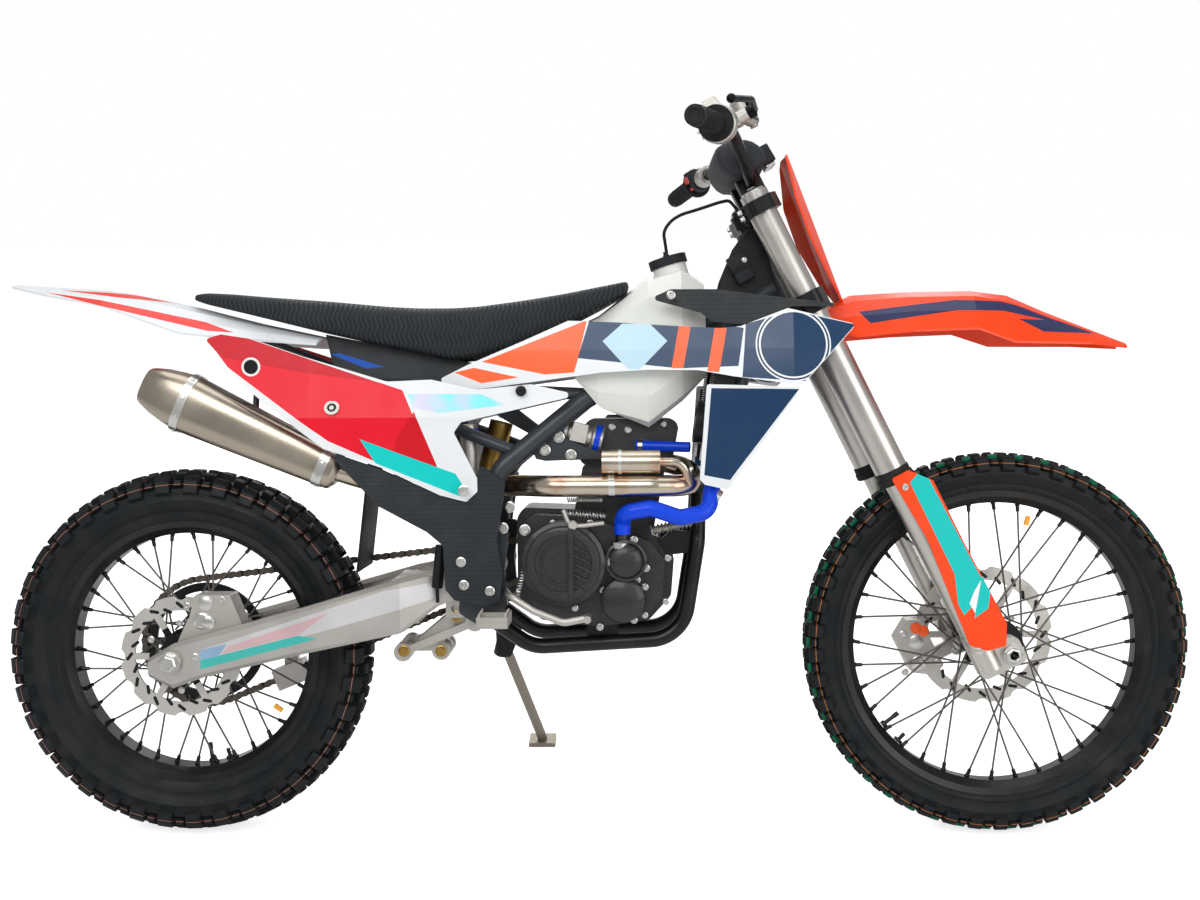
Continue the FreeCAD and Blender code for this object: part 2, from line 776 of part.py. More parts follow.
def make_controls():
    """Perches with bowed ball-ended levers, and on the right the brake's master cylinder under its round pot."""
    pieces = []
    for side in (-1, 1):
        perch = bar(along_grip(side, perch_inward), along_grip(side, perch_inward + perch_length), perch_diameter)
        arm = bar(perch_middle(side), perch_middle(side) + leg_ahead * lever_reach, lever_thickness + lever_thickness)
        tip = along_grip(side, perch_inward - lever_length) + leg_ahead * lever_reach
        knee = along_grip(side, perch_inward - half(lever_length)) + leg_ahead * (lever_reach + lever_bow)
        lever = tube([perch_middle(side) + leg_ahead * lever_reach, knee, tip], lever_thickness, lever_bend)
        parts = [perch, arm, lever, Part.makeSphere(half(lever_thickness) + overrun, tip)]
        if side < 0:
            master_start = perch_middle(side) + leg_ahead * perch_reach
            master_middle = (master_start + master_end()) * half_share
            parts.append(bar(master_start, master_end(), master_diameter))
            parts.append(bar(master_middle, master_middle + leg_up * pot_height, pot_diameter))
            parts.append(bar(master_end(), master_end() - leg_up * banjo_diameter, banjo_diameter))
        hole = bar(along_grip(side, 0), along_grip(side, perch_inward + perch_length + overrun), grip_bar_diameter + gap)
        pieces.append(join(parts).cut(hole))
    return Part.makeCompound(pieces)


caliper_length = 116.0
caliper_depth = 60.0
front_caliper_out = 124.0
front_caliper_up = 35.0
disc_clearance = 2.5
front_caliper_width = 44.0
caliper_shares = [(0.5, 0.42), (0.1, 0.5), (-0.5, 0.3), (-0.5, -0.3), (0.1, -0.5), (0.5, -0.42)]
caliper_arm_depth = 70.0
caliper_arm_height = 26.0
caliper_arm_wall = 9.0


def disc_room(x, y, z, radius):
    """The room that a caliper leaves for its disc."""
    room = half(disc_thickness) + disc_clearance
    reach = radius + disc_clearance + disc_clearance
    return turned([(0, y - room), (reach, y - room), (reach, y + room), (0, y + room)], x, z)


def make_front_caliper(fork_tubes):
    """The caliper over the disc's rear edge, on arms to the left leg's lug."""
    middle = axle_lead - front_caliper_out
    points = [(middle + caliper_depth * across, front_caliper_up + caliper_length * up) for across, up in caliper_shares]
    outer_y = front_disc_y + half(front_caliper_width)
    block = fork_plate(points, front_disc_y - half(front_caliper_width), outer_y, rim_wall)
    block = block.cut(disc_room(wheelbase, front_disc_y, front_axle_z, front_disc_radius))
    arms = []
    for side in (-1, 1):
        up = front_caliper_up + side * (caliper_length * half_share * half_share + caliper_arm_height * half_share * half_share)
        arms.append(fork_plate([(middle, up - half(caliper_arm_height)), (middle + caliper_arm_depth, up - half(caliper_arm_height)),
                                (middle + caliper_arm_depth, up + half(caliper_arm_height)), (middle, up + half(caliper_arm_height))],
                               outer_y, outer_y + caliper_arm_wall))
    return join([block] + arms).cut(fork_tubes)


front_axle_bore = 16.0
axle_head = 34.0
axle_head_width = 9.0
hub_side_gap = 1.0


def make_front_axle():
    """The hollow axle with its spacers and ends."""
    far = fork_spread + half(lug_diameter) - rim_wall
    solid = bar(vec(wheelbase, -far, front_axle_z), vec(wheelbase, far, front_axle_z), axle_diameter)
    head = bar(vec(wheelbase, far, front_axle_z), vec(wheelbase, far + axle_head_width, front_axle_z), axle_head)
    nut = bar(vec(wheelbase, -far - axle_head_width, front_axle_z), vec(wheelbase, -far, front_axle_z), axle_head)
    inner = fork_spread - half(lug_diameter) + rim_wall
    low_spacer = bar(vec(wheelbase, -inner, front_axle_z), vec(wheelbase, front_hub_low - hub_side_gap, front_axle_z), spacer_diameter)
    high_spacer = bar(vec(wheelbase, front_hub_high + hub_side_gap, front_axle_z), vec(wheelbase, inner, front_axle_z), spacer_diameter)
    bore = bar(vec(wheelbase, -far - axle_head_width - overrun, front_axle_z),
               vec(wheelbase, far + axle_head_width + overrun, front_axle_z), front_axle_bore)
    return join([solid, head, nut, low_spacer, high_spacer]).cut(bore)


front_hub_low = -46.0
front_hub_high = front_disc_y + half(disc_thickness)


# Frame

spar_diameter = 34.0
cradle_diameter = 28.0
down_diameter = 38.0
spar_low_y = 104.0
plate_inner_y = 90.0
plate_outer_y = 106.0
spar_route_shares = [(0.065, 1.0, 0.0), (0.094, 1.08, 0.27), (0.375, 0.82, 0.554), (0.67, 0.5, 0.763), (1.0, 0.3, 1.0)]
spar_x = 530.0
spar_z = 556.0
spar_reach = 552.0
spar_rise = 444.0


def make_frame_head():
    """The steering head, the downtube and their gusset."""
    low = fork_at(clamp_low + clamp_low_height + head_gap, -clamp_offset, 0)
    high = fork_at(clamp_high - head_gap, -clamp_offset, 0)
    head = bar(low, high, head_diameter)
    foot = vec(down_foot_x, 0, down_foot_z)
    down = bar(low + leg_up * head_diameter, foot, down_diameter)
    yoke = bar(vec(down_foot_x, -cradle_top_y, down_foot_z), vec(down_foot_x, cradle_top_y, down_foot_z), down_diameter)
    hole = bar(low - leg_up * head_diameter, high + leg_up * head_diameter, head_bore)
    return join([head, down, yoke]).cut(hole)


down_foot_x = 957.0
down_foot_z = 630.0
cradle_top_y = 40.0
cradle_y = 66.0
cradle_rear_y = 72.0
cradle_front_x = 912.0
cradle_low_z = 357.0
cradle_rear_x = 640.0
cradle_end_x = 566.0
cradle_end_z = 410.0
cradle_bend = 70.0
cradle_knee = 190.0
hanger_wall = 8.0
hanger_front_shares = [(0.0, 0.5), (0.35, 0.0), (1.0, 0.1), (1.0, 0.9), (0.4, 1.0)]
hanger_front_x = 868.0
hanger_front_z = 522.0
hanger_front_length = 62.0
hanger_front_height = 46.0
hanger_low_x = 740.0
hanger_low_length = 56.0
hanger_low_height = 56.0
stand_bracket_shares = [(0.15, 0.0), (0.6, 0.0), (1.0, 0.75), (0.8, 1.0), (0.1, 1.0)]
stand_bracket_x = 552.0
stand_bracket_z = 308.0
stand_bracket_length = 60.0
stand_bracket_height = 84.0
stand_eye = 30.0
stand_pin = 10.0
stand_eye_half = 11.0
stand_boss = 14.0


def make_frame_cradle(engine):
    """The two cradle tubes, from the downtube's yoke round under the engine."""
    points = [vec(down_foot_x - cradle_diameter * half_share, -cradle_top_y, down_foot_z),
              vec(cradle_front_x + cradle_diameter, -cradle_y, cradle_low_z + cradle_knee),
              vec(cradle_front_x, -cradle_y, cradle_low_z + half(cradle_diameter)),
              vec(cradle_rear_x, -cradle_rear_y, cradle_low_z),
              vec(cradle_end_x, -plate_inner_y + half(cradle_diameter), cradle_end_z)]
    cradle = tube(points, cradle_diameter, cradle_bend)
    front_points = spread(hanger_front_shares, (hanger_front_x, hanger_front_z), (hanger_front_length, hanger_front_height))
    front = plate(front_points, -engine_core_y - hanger_wall, -engine_core_y, hanger_wall)
    low = plate([(hanger_low_x, cradle_low_z), (hanger_low_x + hanger_low_length, cradle_low_z),
                 (hanger_low_x + hanger_low_length, cradle_low_z + hanger_low_height),
                 (hanger_low_x, cradle_low_z + hanger_low_height)], -engine_core_y - hanger_wall, -engine_core_y, hanger_wall)
    side = join([cradle, front, low]).cut(make_frame_head())
    bracket_points = spread(stand_bracket_shares, (stand_bracket_x, stand_bracket_z),
                            (stand_bracket_length, stand_bracket_height))
    bracket_y = plate_inner_y - cradle_diameter * half_share
    bracket = plate(bracket_points, bracket_y - half(hanger_wall), bracket_y + hanger_wall, hanger_wall)
    top = vec(stand_top_x, stand_top_y, stand_top_z)
    boss = bar(top - stand_axis * (stand_eye_half + stand_boss), top - stand_axis * (stand_eye_half + gap), stand_eye)
    pin = bar(top - stand_axis * (stand_eye_half + stand_boss), top + stand_axis * (stand_eye_half + gap), stand_pin)
    cap = bar(top + stand_axis * (stand_eye_half + gap), top + stand_axis * (stand_eye_half + stand_pin), stand_eye - stand_pin)
    left = join([other_side(side), bracket, boss, pin, cap])
    return Part.makeCompound([side.cut(engine), left.cut(engine)])


def spar_points():
    return [vec(spar_x + spar_reach * ahead, -spar_low_y * out, spar_z + spar_rise * up)
            for ahead, out, up in spar_route_shares]


pivot_plate_shares = [(0.0, 0.18), (0.55, 0.0), (0.95, 0.25), (0.9, 0.6), (1.0, 1.0), (0.62, 1.0), (0.1, 0.72)]
pivot_plate_x = 512.0
pivot_plate_z = 392.0
pivot_plate_length = 92.0
pivot_plate_height = 180.0
pivot_bolt = 20.0
shock_cross_x = 658.0
shock_cross_y = 94.0
shock_cross_z = 738.0


def make_frame_spars():
    """The two main spars with the pivot plates at their feet and the swingarm's bolt."""
    spar = tube(spar_points(), spar_diameter, cradle_bend)
    points = spread(pivot_plate_shares, (pivot_plate_x, pivot_plate_z), (pivot_plate_length, pivot_plate_height))
    foot = plate(points, -plate_outer_y, -plate_inner_y, rim_wall + rim_wall)
    side = spar.fuse(foot)
    bolt = bar(vec(pivot_x, -plate_outer_y, pivot_z), vec(pivot_x, plate_outer_y, pivot_z), pivot_bolt)
    cross = bar(vec(shock_cross_x, -shock_cross_y, shock_cross_z), vec(shock_cross_x, shock_cross_y, shock_cross_z), subframe_diameter)
    ear_points = [(shock_high_x, shock_high_z - half(shock_eye)), (shock_cross_x, shock_cross_z - half(subframe_diameter)),
                  (shock_cross_x, shock_cross_z + half(subframe_diameter)), (shock_high_x, shock_high_z + half(shock_eye)),
                  (shock_high_x - half(shock_eye), shock_high_z)]
    ear = plate(ear_points, -half(shock_eye_width) - gap - hanger_wall, -half(shock_eye_width) - gap, hanger_wall)
    eye_bolt = bar(vec(shock_high_x, -half(shock_eye_width) - hanger_wall, shock_high_z),
                   vec(shock_high_x, half(shock_eye_width) + hanger_wall, shock_high_z), link_thickness)
    return join([side, other_side(side), bolt, cross, ear, other_side(ear), eye_bolt]).cut(make_frame_head())


guard_outline_shares = [(0.86, 0.9), (1.0, 0.79), (0.95, 0.42), (0.98, 0.2), (0.96, 0.04), (0.88, 0.0),
                        (0.7, 0.04), (0.65, 0.11), (0.64, 0.39), (0.55, 0.48), (0.28, 0.65), (0.0, 1.0),
                        (0.3, 0.88), (0.64, 0.7), (0.78, 0.66)]
frame_guard_x = 296.0
frame_guard_z = 441.0
frame_guard_length = 305.0
frame_guard_height = 277.0
frame_guard_inner_y = 133.0
frame_guard_wall = 10.0
frame_guard_reach = 177.0
frame_guard_bow_shares = [(0.0, (0.972, 1.0)), (0.5, (0.836, 0.887)), (0.7, (0.78, 0.814)), (1.0, (0.774, 0.802))]


def make_frame_guards():
    """The moulded guards over the pivot plates, with their arms along the side panels."""
    guard = cut_sheet(guard_outline_shares, (frame_guard_x, frame_guard_z), (frame_guard_length, frame_guard_height),
                      frame_guard_bow_shares, frame_guard_reach, frame_guard_wall, rim_wall)
    post = bar(vec(pivot_x, -frame_guard_inner_y, pivot_z), vec(pivot_x, -plate_outer_y, pivot_z), spar_diameter)
    return both(guard.fuse(post))


subframe_diameter = 22.0
subframe_y = 66.0
subframe_front_x = 752.0
subframe_front_z = 812.0
subframe_front_y = 82.0
subframe_rear_x = 60.0
subframe_rear_z = 942.0
subframe_mid_x = 330.0
subframe_mid_z = 835.0
strut_front_x = 624.0
strut_front_z = 708.0
strut_front_y = 104.0
fender_post_x = 80.0
fender_post_height = 30.0
muffler_hanger_x = 150.0
muffler_hanger_z = 906.0


def muffler_z_at(x):
    """Height of the muffler's middle line at an X."""
    return muffler_front_z + (muffler_rear_z - muffler_front_z) * (muffler_front_x - x) / (muffler_front_x - muffler_rear_x)


def make_subframe(spars, fender, muffler):
    """The rails under the seat, the struts up to them from the spars' feet and the muffler's bracket."""
    rail = tube([vec(subframe_front_x, -subframe_front_y, subframe_front_z), vec(subframe_mid_x, -subframe_y, subframe_mid_z),
                 vec(subframe_rear_x, -subframe_y, subframe_rear_z)], subframe_diameter, cradle_bend)
    strut = bar(vec(strut_front_x, -strut_front_y, strut_front_z), vec(subframe_mid_x - cradle_bend * half_share, -subframe_y, subframe_mid_z),
                subframe_diameter)
    post = bar(vec(fender_post_x, -subframe_y, subframe_rear_z - half(subframe_diameter)),
               vec(fender_post_x, -subframe_y, subframe_rear_z + fender_post_height), subframe_diameter * half_share)
    crossing = bar(vec(subframe_rear_x, -subframe_y, subframe_rear_z), vec(subframe_rear_x, subframe_y, subframe_rear_z),
                   subframe_diameter)
    side = join([rail, strut])
    whole = join([side, other_side(side), crossing, lowest(post.cut(fender)), other_side(lowest(post.cut(fender)))])
    hanger = bar(vec(muffler_hanger_x, -subframe_y, muffler_hanger_z),
                 vec(muffler_hanger_x, muffler_y + half(muffler_half_width), muffler_z_at(muffler_hanger_x)), subframe_diameter * half_share)
    return join([whole, highest(hanger.cut(muffler))]).cut(spars)


arm_stations_shares = [(0.0, 0.1, 0.26), (0.07, 0.0, 0.38), (0.17, 0.1, 0.46), (0.46, 0.29, 0.69),
                       (0.75, 0.46, 0.93), (0.86, 0.68, 1.0), (0.93, 0.76, 1.0), (1.0, 0.84, 0.98)]
arm_inner_shares = [1.0, 1.0, 1.0, 0.98, 0.88, 0.68, 0.61, 0.61]
arm_z = 292.0
arm_tail = 42.0
arm_length = pivot_x + arm_tail
arm_height = 208.0
arm_inner_y = 95.0
arm_wall_y = 29.0
boss_diameter = 50.0
boss_half_width = 87.0
boss_inner = 44.0


def chain_guide():
    """The block under the left arm that the chain's lower run passes through, on its lug."""
    front_arc = front_pitch * (wrap_angle + wrap_angle)
    middle, out = chain_place(straight_run + front_arc + straight_run - guide_from_rear)
    along = out.cross(along_y)
    wall_y = half(chain_width) + guide_room + rim_wall

    def block(reach, depth, y):
        corners = [middle + along * reach + out * depth, middle - along * reach + out * depth,
                   middle - along * reach - out * depth, middle + along * reach - out * depth]
        return plate([(corner.x, corner.z) for corner in corners], chain_y - y, chain_y + y, 0)

    body = block(half(guide_length), half(chain_height) + guide_room + guide_floor, wall_y)
    slot = block(guide_length, half(chain_height) + guide_room, wall_y - rim_wall)
    root = middle - out * (half(chain_height) + guide_room + half(guide_floor))
    lug_points = [(root.x - half(guide_lug), root.z - half(guide_floor)), (root.x + half(guide_lug), root.z - half(guide_floor)),
                  (root.x + half(guide_lug), root.z + guide_lug_height), (root.x - half(guide_lug), root.z + guide_lug_height)]
    lug_plate = plate(lug_points, chain_y + wall_y - rim_wall, arm_inner_y + rim_wall, 0)
    return join([body.cut(slot), lug_plate])


def make_swingarm():
    """Two tapered box arms, their cross member and the pivot's boss."""
    sections = []
    for (along, low, high), inner in zip(arm_stations_shares, arm_inner_shares):
        x = arm_length * along - arm_tail
        y_in = -arm_inner_y * inner
        y_out = y_in - arm_wall_y
        z_low = arm_z + arm_height * low
        z_high = arm_z + arm_height * high
        slope = arm_wall_y * half_share * half_share
        sections.append([vec(x, y_in, z_low + slope), vec(x, y_in, z_high - slope), vec(x, y_in - slope, z_high),
                         vec(x, y_out + slope, z_high), vec(x, y_out, z_high - slope), vec(x, y_out, z_low + slope),
                         vec(x, y_out + slope, z_low), vec(x, y_in - slope, z_low)])
    arm = loft(sections)
    cross = box(cross_x, cross_x + cross_length, -arm_inner_y * run_share - arm_inner_y * run_share, arm_inner_y * run_share + arm_inner_y * run_share, cross_z, cross_z + cross_height)
    boss = bar(vec(pivot_x, -boss_half_width, pivot_z), vec(pivot_x, -boss_inner, pivot_z), boss_diameter)
    lug = plate([(rocker_top_x - half(link_eye), rocker_top_z - half(link_eye)), (rocker_top_x + half(link_eye), rocker_top_z - half(link_eye)),
                 (rocker_top_x + half(link_eye), pivot_z - half(link_eye)), (rocker_top_x - half(link_eye), pivot_z - half(link_eye))],
                -arm_inner_y * arm_inner_shares[-1] - rim_wall, -link_y - gap, rim_wall)
    side = join([arm, boss, lug])
    side = side.cut(bar(vec(rocker_top_x, -arm_inner_y, rocker_top_z), vec(rocker_top_x, 0, rocker_top_z), link_thickness + gap))
    whole = join([side, other_side(side), cross, chain_guide()])
    whole = whole.cut(bar(vec(0, -overrun - arm_inner_y - arm_inner_y, rear_axle_z),
                          vec(0, arm_inner_y + arm_inner_y + overrun, rear_axle_z), axle_diameter + gap))
    return whole.cut(bar(vec(pivot_x, -plate_outer_y, pivot_z), vec(pivot_x, plate_outer_y, pivot_z), pivot_bolt + gap))


guide_from_rear = 128.0
guide_length = 64.0
guide_room = 4.0
guide_floor = 9.0
guide_lug = 26.0
guide_lug_height = 58.0
cross_x = 384.0
cross_length = 54.0
cross_z = 402.0
cross_height = 74.0
shock_low_x = 470.0
shock_low_z = 343.0
shock_high_x = 588.0
shock_high_z = 785.0
shock_body = 40.0
spring_diameter = 66.0
spring_wire = 11.0
spring_turns = 7
spring_low_share = 0.3
spring_high_share = 0.74
body_top_share = 0.9
shock_rod = 16.0
shock_eye = 36.0
shock_eye_width = 26.0


def coil(low, high, diameter, wire, turns):
    """A round wire wound about the line between two points."""
    way = high - low
    pitch = way.Length / turns
    middle = half(diameter - wire)
    line = Part.Wire(Part.makeHelix(pitch, way.Length, middle))
    section = Part.Wire(Part.makeCircle(half(wire), vec(middle, 0, 0), along_y))
    spring = line.makePipeShell([section], True, True)
    spring.Placement = FreeCAD.Placement(low, FreeCAD.Rotation(along_z, way))
    return spring


def make_shock():
    """The shock's body, rod and eyes inside its coil spring, which stands between two seats."""
    low = vec(shock_low_x, 0, shock_low_z)
    high = vec(shock_high_x, 0, shock_high_z)
    way = high - low
    along = vec(way.x, way.y, way.z).normalize()
    pieces = [bar(low, high, shock_rod), bar(low + way * half_share, low + way * body_top_share, shock_body)]
    for end in (low, high):
        pieces.append(bar(end - along_y * half(shock_eye_width), end + along_y * half(shock_eye_width), shock_eye))
    for share in (spring_low_share, spring_high_share):
        seat = low + way * share
        pieces.append(bar(seat - along * spring_wire, seat + along * spring_wire, spring_diameter + rim_wall))
    pieces.append(coil(low + way * spring_low_share, low + way * spring_high_share, spring_diameter, spring_wire, spring_turns))
    whole = pieces[0].fuse(pieces[1:])
    for end in (low, high):
        whole = whole.cut(bar(end - along_y * shock_eye_width, end + along_y * shock_eye_width, link_thickness + gap))
    return whole


link_rear_x = 402.0
link_front_x = 534.0
link_front_z = 398.0
link_y = 40.0
link_thickness = 14.0
link_eye = 34.0
rocker_top_x = 500.0
rocker_top_z = 425.0


def make_linkage():
    """The rocker between the swingarm's lug and the shock, and the pull rods to the frame."""
    rear = (link_rear_x, shock_low_z)
    shock_end = (shock_low_x, shock_low_z)
    top = (rocker_top_x, rocker_top_z)
    front = (link_front_x, link_front_z)
    web = plate([rear, shock_end, top], -link_y, -link_y + link_thickness)
    eyes = [bar(vec(x, -link_y, z), vec(x, -link_y + link_thickness, z), link_eye) for x, z in (rear, shock_end, top)]
    rod_low = -link_y - link_thickness
    rod_eyes = [bar(vec(x, rod_low, z), vec(x, -link_y, z), link_eye) for x, z in (rear, front)]
    dx = front[0] - rear[0]
    dz = front[1] - rear[1]
    run = math.hypot(dx, dz)
    side_x = -dz / run * half(link_thickness)
    side_z = dx / run * half(link_thickness)
    rod = plate([(rear[0] - side_x, rear[1] - side_z), (front[0] - side_x, front[1] - side_z),
                 (front[0] + side_x, front[1] + side_z), (rear[0] + side_x, rear[1] + side_z)], rod_low, -link_y)
    side = join([web, rod] + eyes + rod_eyes)
    pins = [bar(vec(x, -link_y, z), vec(x, link_y, z), link_thickness) for x, z in (rear, shock_end)]
    stub = bar(vec(top[0], -link_y - link_thickness, top[1]), vec(top[0], -link_y + link_thickness, top[1]), link_thickness)
    return join([side, other_side(side), stub, other_side(stub)] + pins)


# Engine

engine_outline_shares = [(0.0, 0.92), (0.04, 1.0), (0.47, 0.98), (0.9, 0.75), (1.0, 0.59), (0.98, 0.26),
                         (0.84, 0.06), (0.53, 0.0), (0.15, 0.06), (0.0, 0.27)]
engine_x = 614.0
engine_z = 390.0
engine_length = 284.0
engine_height = 218.0
engine_core_y = 58.0
engine_right_y = 104.0
clutch_x = 701.0
clutch_z = 516.0
clutch_radius = 74.0
clutch_outer_y = 138.0
pump_x = 811.0
pump_z = 520.0
pump_radius = 37.0
pump_outer_y = 134.0
filter_x = 806.0
filter_z = 450.0
filter_radius = 41.0
filter_outer_y = 126.0
magneto_x = 790.0
magneto_z = 480.0
magneto_radius = 78.0
magneto_outer_y = 112.0
case_corner = 18.0


def round_cover(x, z, radius, y_inner, y_outer, step):
    """A stepped round cover on the engine's side."""
    low, high = sorted((y_inner, y_outer - (step if y_outer > 0 else -step)))
    drum = bar(vec(x, low, z), vec(x, high, z), radius + radius)
    low, high = sorted((y_outer, y_outer - (step if y_outer > 0 else -step)))
    face = bar(vec(x, low, z), vec(x, high, z), radius + radius - step - step)
    return drum.fuse(face)


cover_step = 8.0


def make_engine():
    """The crankcase with its clutch, pump, filter and magneto covers."""
    points = spread(engine_outline_shares, (engine_x, engine_z), (engine_length, engine_height))
    core = plate(points, -engine_core_y, engine_core_y, case_corner)
    inset_points = spread(engine_outline_shares, (engine_x + case_corner, engine_z + half(case_corner)),
                          (engine_length - case_corner - case_corner, engine_height - case_corner))
    right = plate(inset_points, -engine_right_y, -engine_core_y + overrun, case_corner)
    clutch = round_cover(clutch_x, clutch_z, clutch_radius, -engine_core_y, -clutch_outer_y, cover_step)
    pump = round_cover(pump_x, pump_z, pump_radius, -engine_core_y, -pump_outer_y, cover_step)
    outlet = bar(vec(hose_route[-1].x, hose_route[-1].y, pump_z), hose_route[-1], hose_diameter - rim_wall)
    oil = round_cover(filter_x, filter_z, filter_radius, -engine_core_y, -filter_outer_y, cover_step)
    magneto = round_cover(magneto_x, magneto_z, magneto_radius, engine_core_y, magneto_outer_y, cover_step)
    return join([core, right, clutch, pump, outlet, oil, magneto])


cylinder_x = 716.0
cylinder_z = 592.0
cylinder_length = 150.0
cylinder_height = 176.0
cylinder_lean = 34.0
cylinder_half_y = 56.0
head_share = 0.52
head_overhang = 10.0
barrel_corner = 4.0


def make_cylinder(engine):
    """The barrel with the wider head on it, both tilted forward."""
    def slice_points(low, high, extra):
        shift_low = cylinder_lean * low
        shift_high = cylinder_lean * high
        return [(cylinder_x + shift_low - extra, cylinder_z + cylinder_height * low),
                (cylinder_x + cylinder_length + shift_low + extra, cylinder_z + cylinder_height * low),
                (cylinder_x + cylinder_length + shift_high + extra, cylinder_z + cylinder_height * high),
                (cylinder_x + shift_high - extra, cylinder_z + cylinder_height * high)]
    barrel = plate(slice_points(-head_share, head_share, 0), -cylinder_half_y, cylinder_half_y, barrel_corner)
    head = plate(slice_points(head_share, 1, head_overhang), -cylinder_half_y - half(head_overhang),
                 cylinder_half_y + half(head_overhang), case_corner)
    return highest(barrel.fuse(head).cut(engine))


pipe_diameter = 38.0
pipe_bend = 48.0
header_x = 296.0
header_length = 635.0
header_y = -140.0
header_width = 120.0
header_z = 636.0
header_height = 52.0
header_route_shares = [(0.92, 1.0, 1.0), (0.986, 0.967, 0.79), (1.0, 0.633, 0.46), (0.98, 0.1, 0.29), (0.888, 0.0, 0.31),
                       (0.605, 0.017, 0.31), (0.513, 0.467, 0.27), (0.435, 0.65, 0.21), (0.29, 0.533, 0.0),
                       (0.164, 0.333, 0.23), (0.0, 0.2, 0.885)]


def make_header(cylinder, muffler):
    """The pipe from the head's port round to the muffler."""
    points = route(header_route_shares, (header_x, header_y, header_z), (header_length, header_width, header_height))
    return tube(points, pipe_diameter, pipe_bend).cut(cylinder).cut(muffler)


can_x = 770.0
can_z = 689.0
can_length = 101.0
can_diameter = 42.0
can_y = -140.0
can_pipe = 16.0


def make_resonator(header):
    """The side can on the header, with its short feed pipe."""
    can = bar(vec(can_x, can_y, can_z + rim_wall), vec(can_x + can_length, can_y, can_z + rim_wall), can_diameter)
    feed = tube([vec(can_x + can_length - overrun, can_y, can_z + rim_wall), vec(can_x + can_length + can_diameter, can_y, can_z + rim_wall),
                 vec(can_x + can_length + can_diameter + half(can_pipe), can_y + half(can_pipe), header_z + can_pipe)],
                can_pipe, can_diameter)
    return can.fuse(feed).cut(header)


muffler_front_x = 306.0
muffler_front_z = 676.0
muffler_rear_x = -34.0
muffler_rear_z = 834.0
muffler_y = -118.0
muffler_stations_shares = [(0.0, 0.46), (0.02, 0.66), (0.1, 0.7), (0.75, 1.0), (0.8, 1.0), (0.95, 0.78), (1.0, 0.5)]
muffler_half_height = 54.0
muffler_half_width = 44.0
muffler_sides = 12
mouth_share = 0.93


def make_muffler():
    """The tapered oval silencer with its end cap and the open mouth in it."""
    front = vec(muffler_front_x, muffler_y, muffler_front_z)
    rear = vec(muffler_rear_x, muffler_y, muffler_rear_z)
    way = rear - front
    up = way.cross(along_y).normalize()
    if up.z < 0:
        up = up * -1
    sections = []
    for along, size in muffler_stations_shares:
        centre = front + way * along
        section = []
        for index in range(muffler_sides):
            angle = math.radians(full_turn_deg * (index + half_share) / muffler_sides)
            section.append(centre + up * (muffler_half_height * size * math.sin(angle))
                           + along_y * (muffler_half_width * size * math.cos(angle)))
        sections.append(section)
    mouth = bar(front + way * mouth_share, rear + way, pipe_diameter - rim_wall - rim_wall)
    return loft(sections).cut(mouth)


radiator_x = 944.0
radiator_thickness = 34.0
radiator_low_z = 690.0
radiator_height = 184.0
radiator_inner_y = 52.0
radiator_outer_y = 150.0
radiator_lean = 26.0
core_inset = 5.0
header_tank_height = 22.0
radiator_bracket_x = 972.0
radiator_bracket_z = 700.0
radiator_bracket_diameter = 10.0
fan_diameter = 74.0
fan_depth = 20.0
fan_z = 760.0
fan_blades = 5
fan_blade_width = 20.0
fan_motor_diameter = 26.0


def radiator_front_way():
    """The way forward through a leaning radiator."""
    return vec(radiator_height, 0, -radiator_lean).normalize()


def fan_seat():
    """The middle of the fan on the right radiator's rear face."""
    x = radiator_x + radiator_lean * (fan_z - radiator_low_z) / radiator_height
    return vec(x, -half(radiator_inner_y + radiator_outer_y), fan_z)


def make_fan():
    """The fan's open ring, motor and blades against the right radiator's rear face."""
    ahead = radiator_front_way()
    seat = fan_seat() + ahead * core_inset
    back = fan_seat() - ahead * fan_depth
    ring = bar(back, seat, fan_diameter, fan_diameter - rim_wall - rim_wall)
    pieces = [ring, bar(back, seat, fan_motor_diameter)]
    for index in range(fan_blades):
        blade = Part.makeBox(rim_wall, fan_blade_width, half(fan_diameter) - overrun, vec(-half(rim_wall), -half(fan_blade_width), 0))
        blade.rotate(vec(0, 0, 0), along_z, spoke_cross_deg * half_share)
        blade.rotate(vec(0, 0, 0), along_x, full_turn_deg * index / fan_blades)
        blade.Placement = FreeCAD.Placement((back + seat) * half_share, FreeCAD.Rotation(along_x, ahead)).multiply(blade.Placement)
        pieces.append(blade)
    return pieces


def make_radiators(frame_head):
    """The two radiators, each with its core set in between a top and a bottom tank, and the right one's fan."""
    points = [(radiator_x, radiator_low_z), (radiator_x + radiator_thickness, radiator_low_z),
              (radiator_x + radiator_thickness + radiator_lean, radiator_low_z + radiator_height),
              (radiator_x + radiator_lean, radiator_low_z + radiator_height)]
    body = plate(points, -radiator_outer_y, -radiator_inner_y, rim_wall)
    window_low = radiator_low_z + header_tank_height
    window_high = radiator_low_z + radiator_height - header_tank_height
    for forward in (0, 1):
        face_x = radiator_x + radiator_thickness * forward
        cuts = []
        for z in (window_low, window_high):
            x = face_x + radiator_lean * (z - radiator_low_z) / radiator_height
            cuts.append((x - core_inset, z))
            cuts.append((x + core_inset, z))
        body = body.cut(plate([cuts[0], cuts[1], cuts[3], cuts[2]], -radiator_outer_y + rim_wall, -radiator_inner_y - rim_wall))
    bracket = bar(vec(radiator_bracket_x, -radiator_inner_y - rim_wall, radiator_bracket_z),
                  vec(radiator_bracket_x, 0, radiator_bracket_z), radiator_bracket_diameter)
    side = body.fuse(lowest_y(bracket.cut(frame_head)))
    return Part.makeCompound([side.fuse(make_fan()), other_side(side)])


hose_diameter = 29.0
hose_bend = 26.0
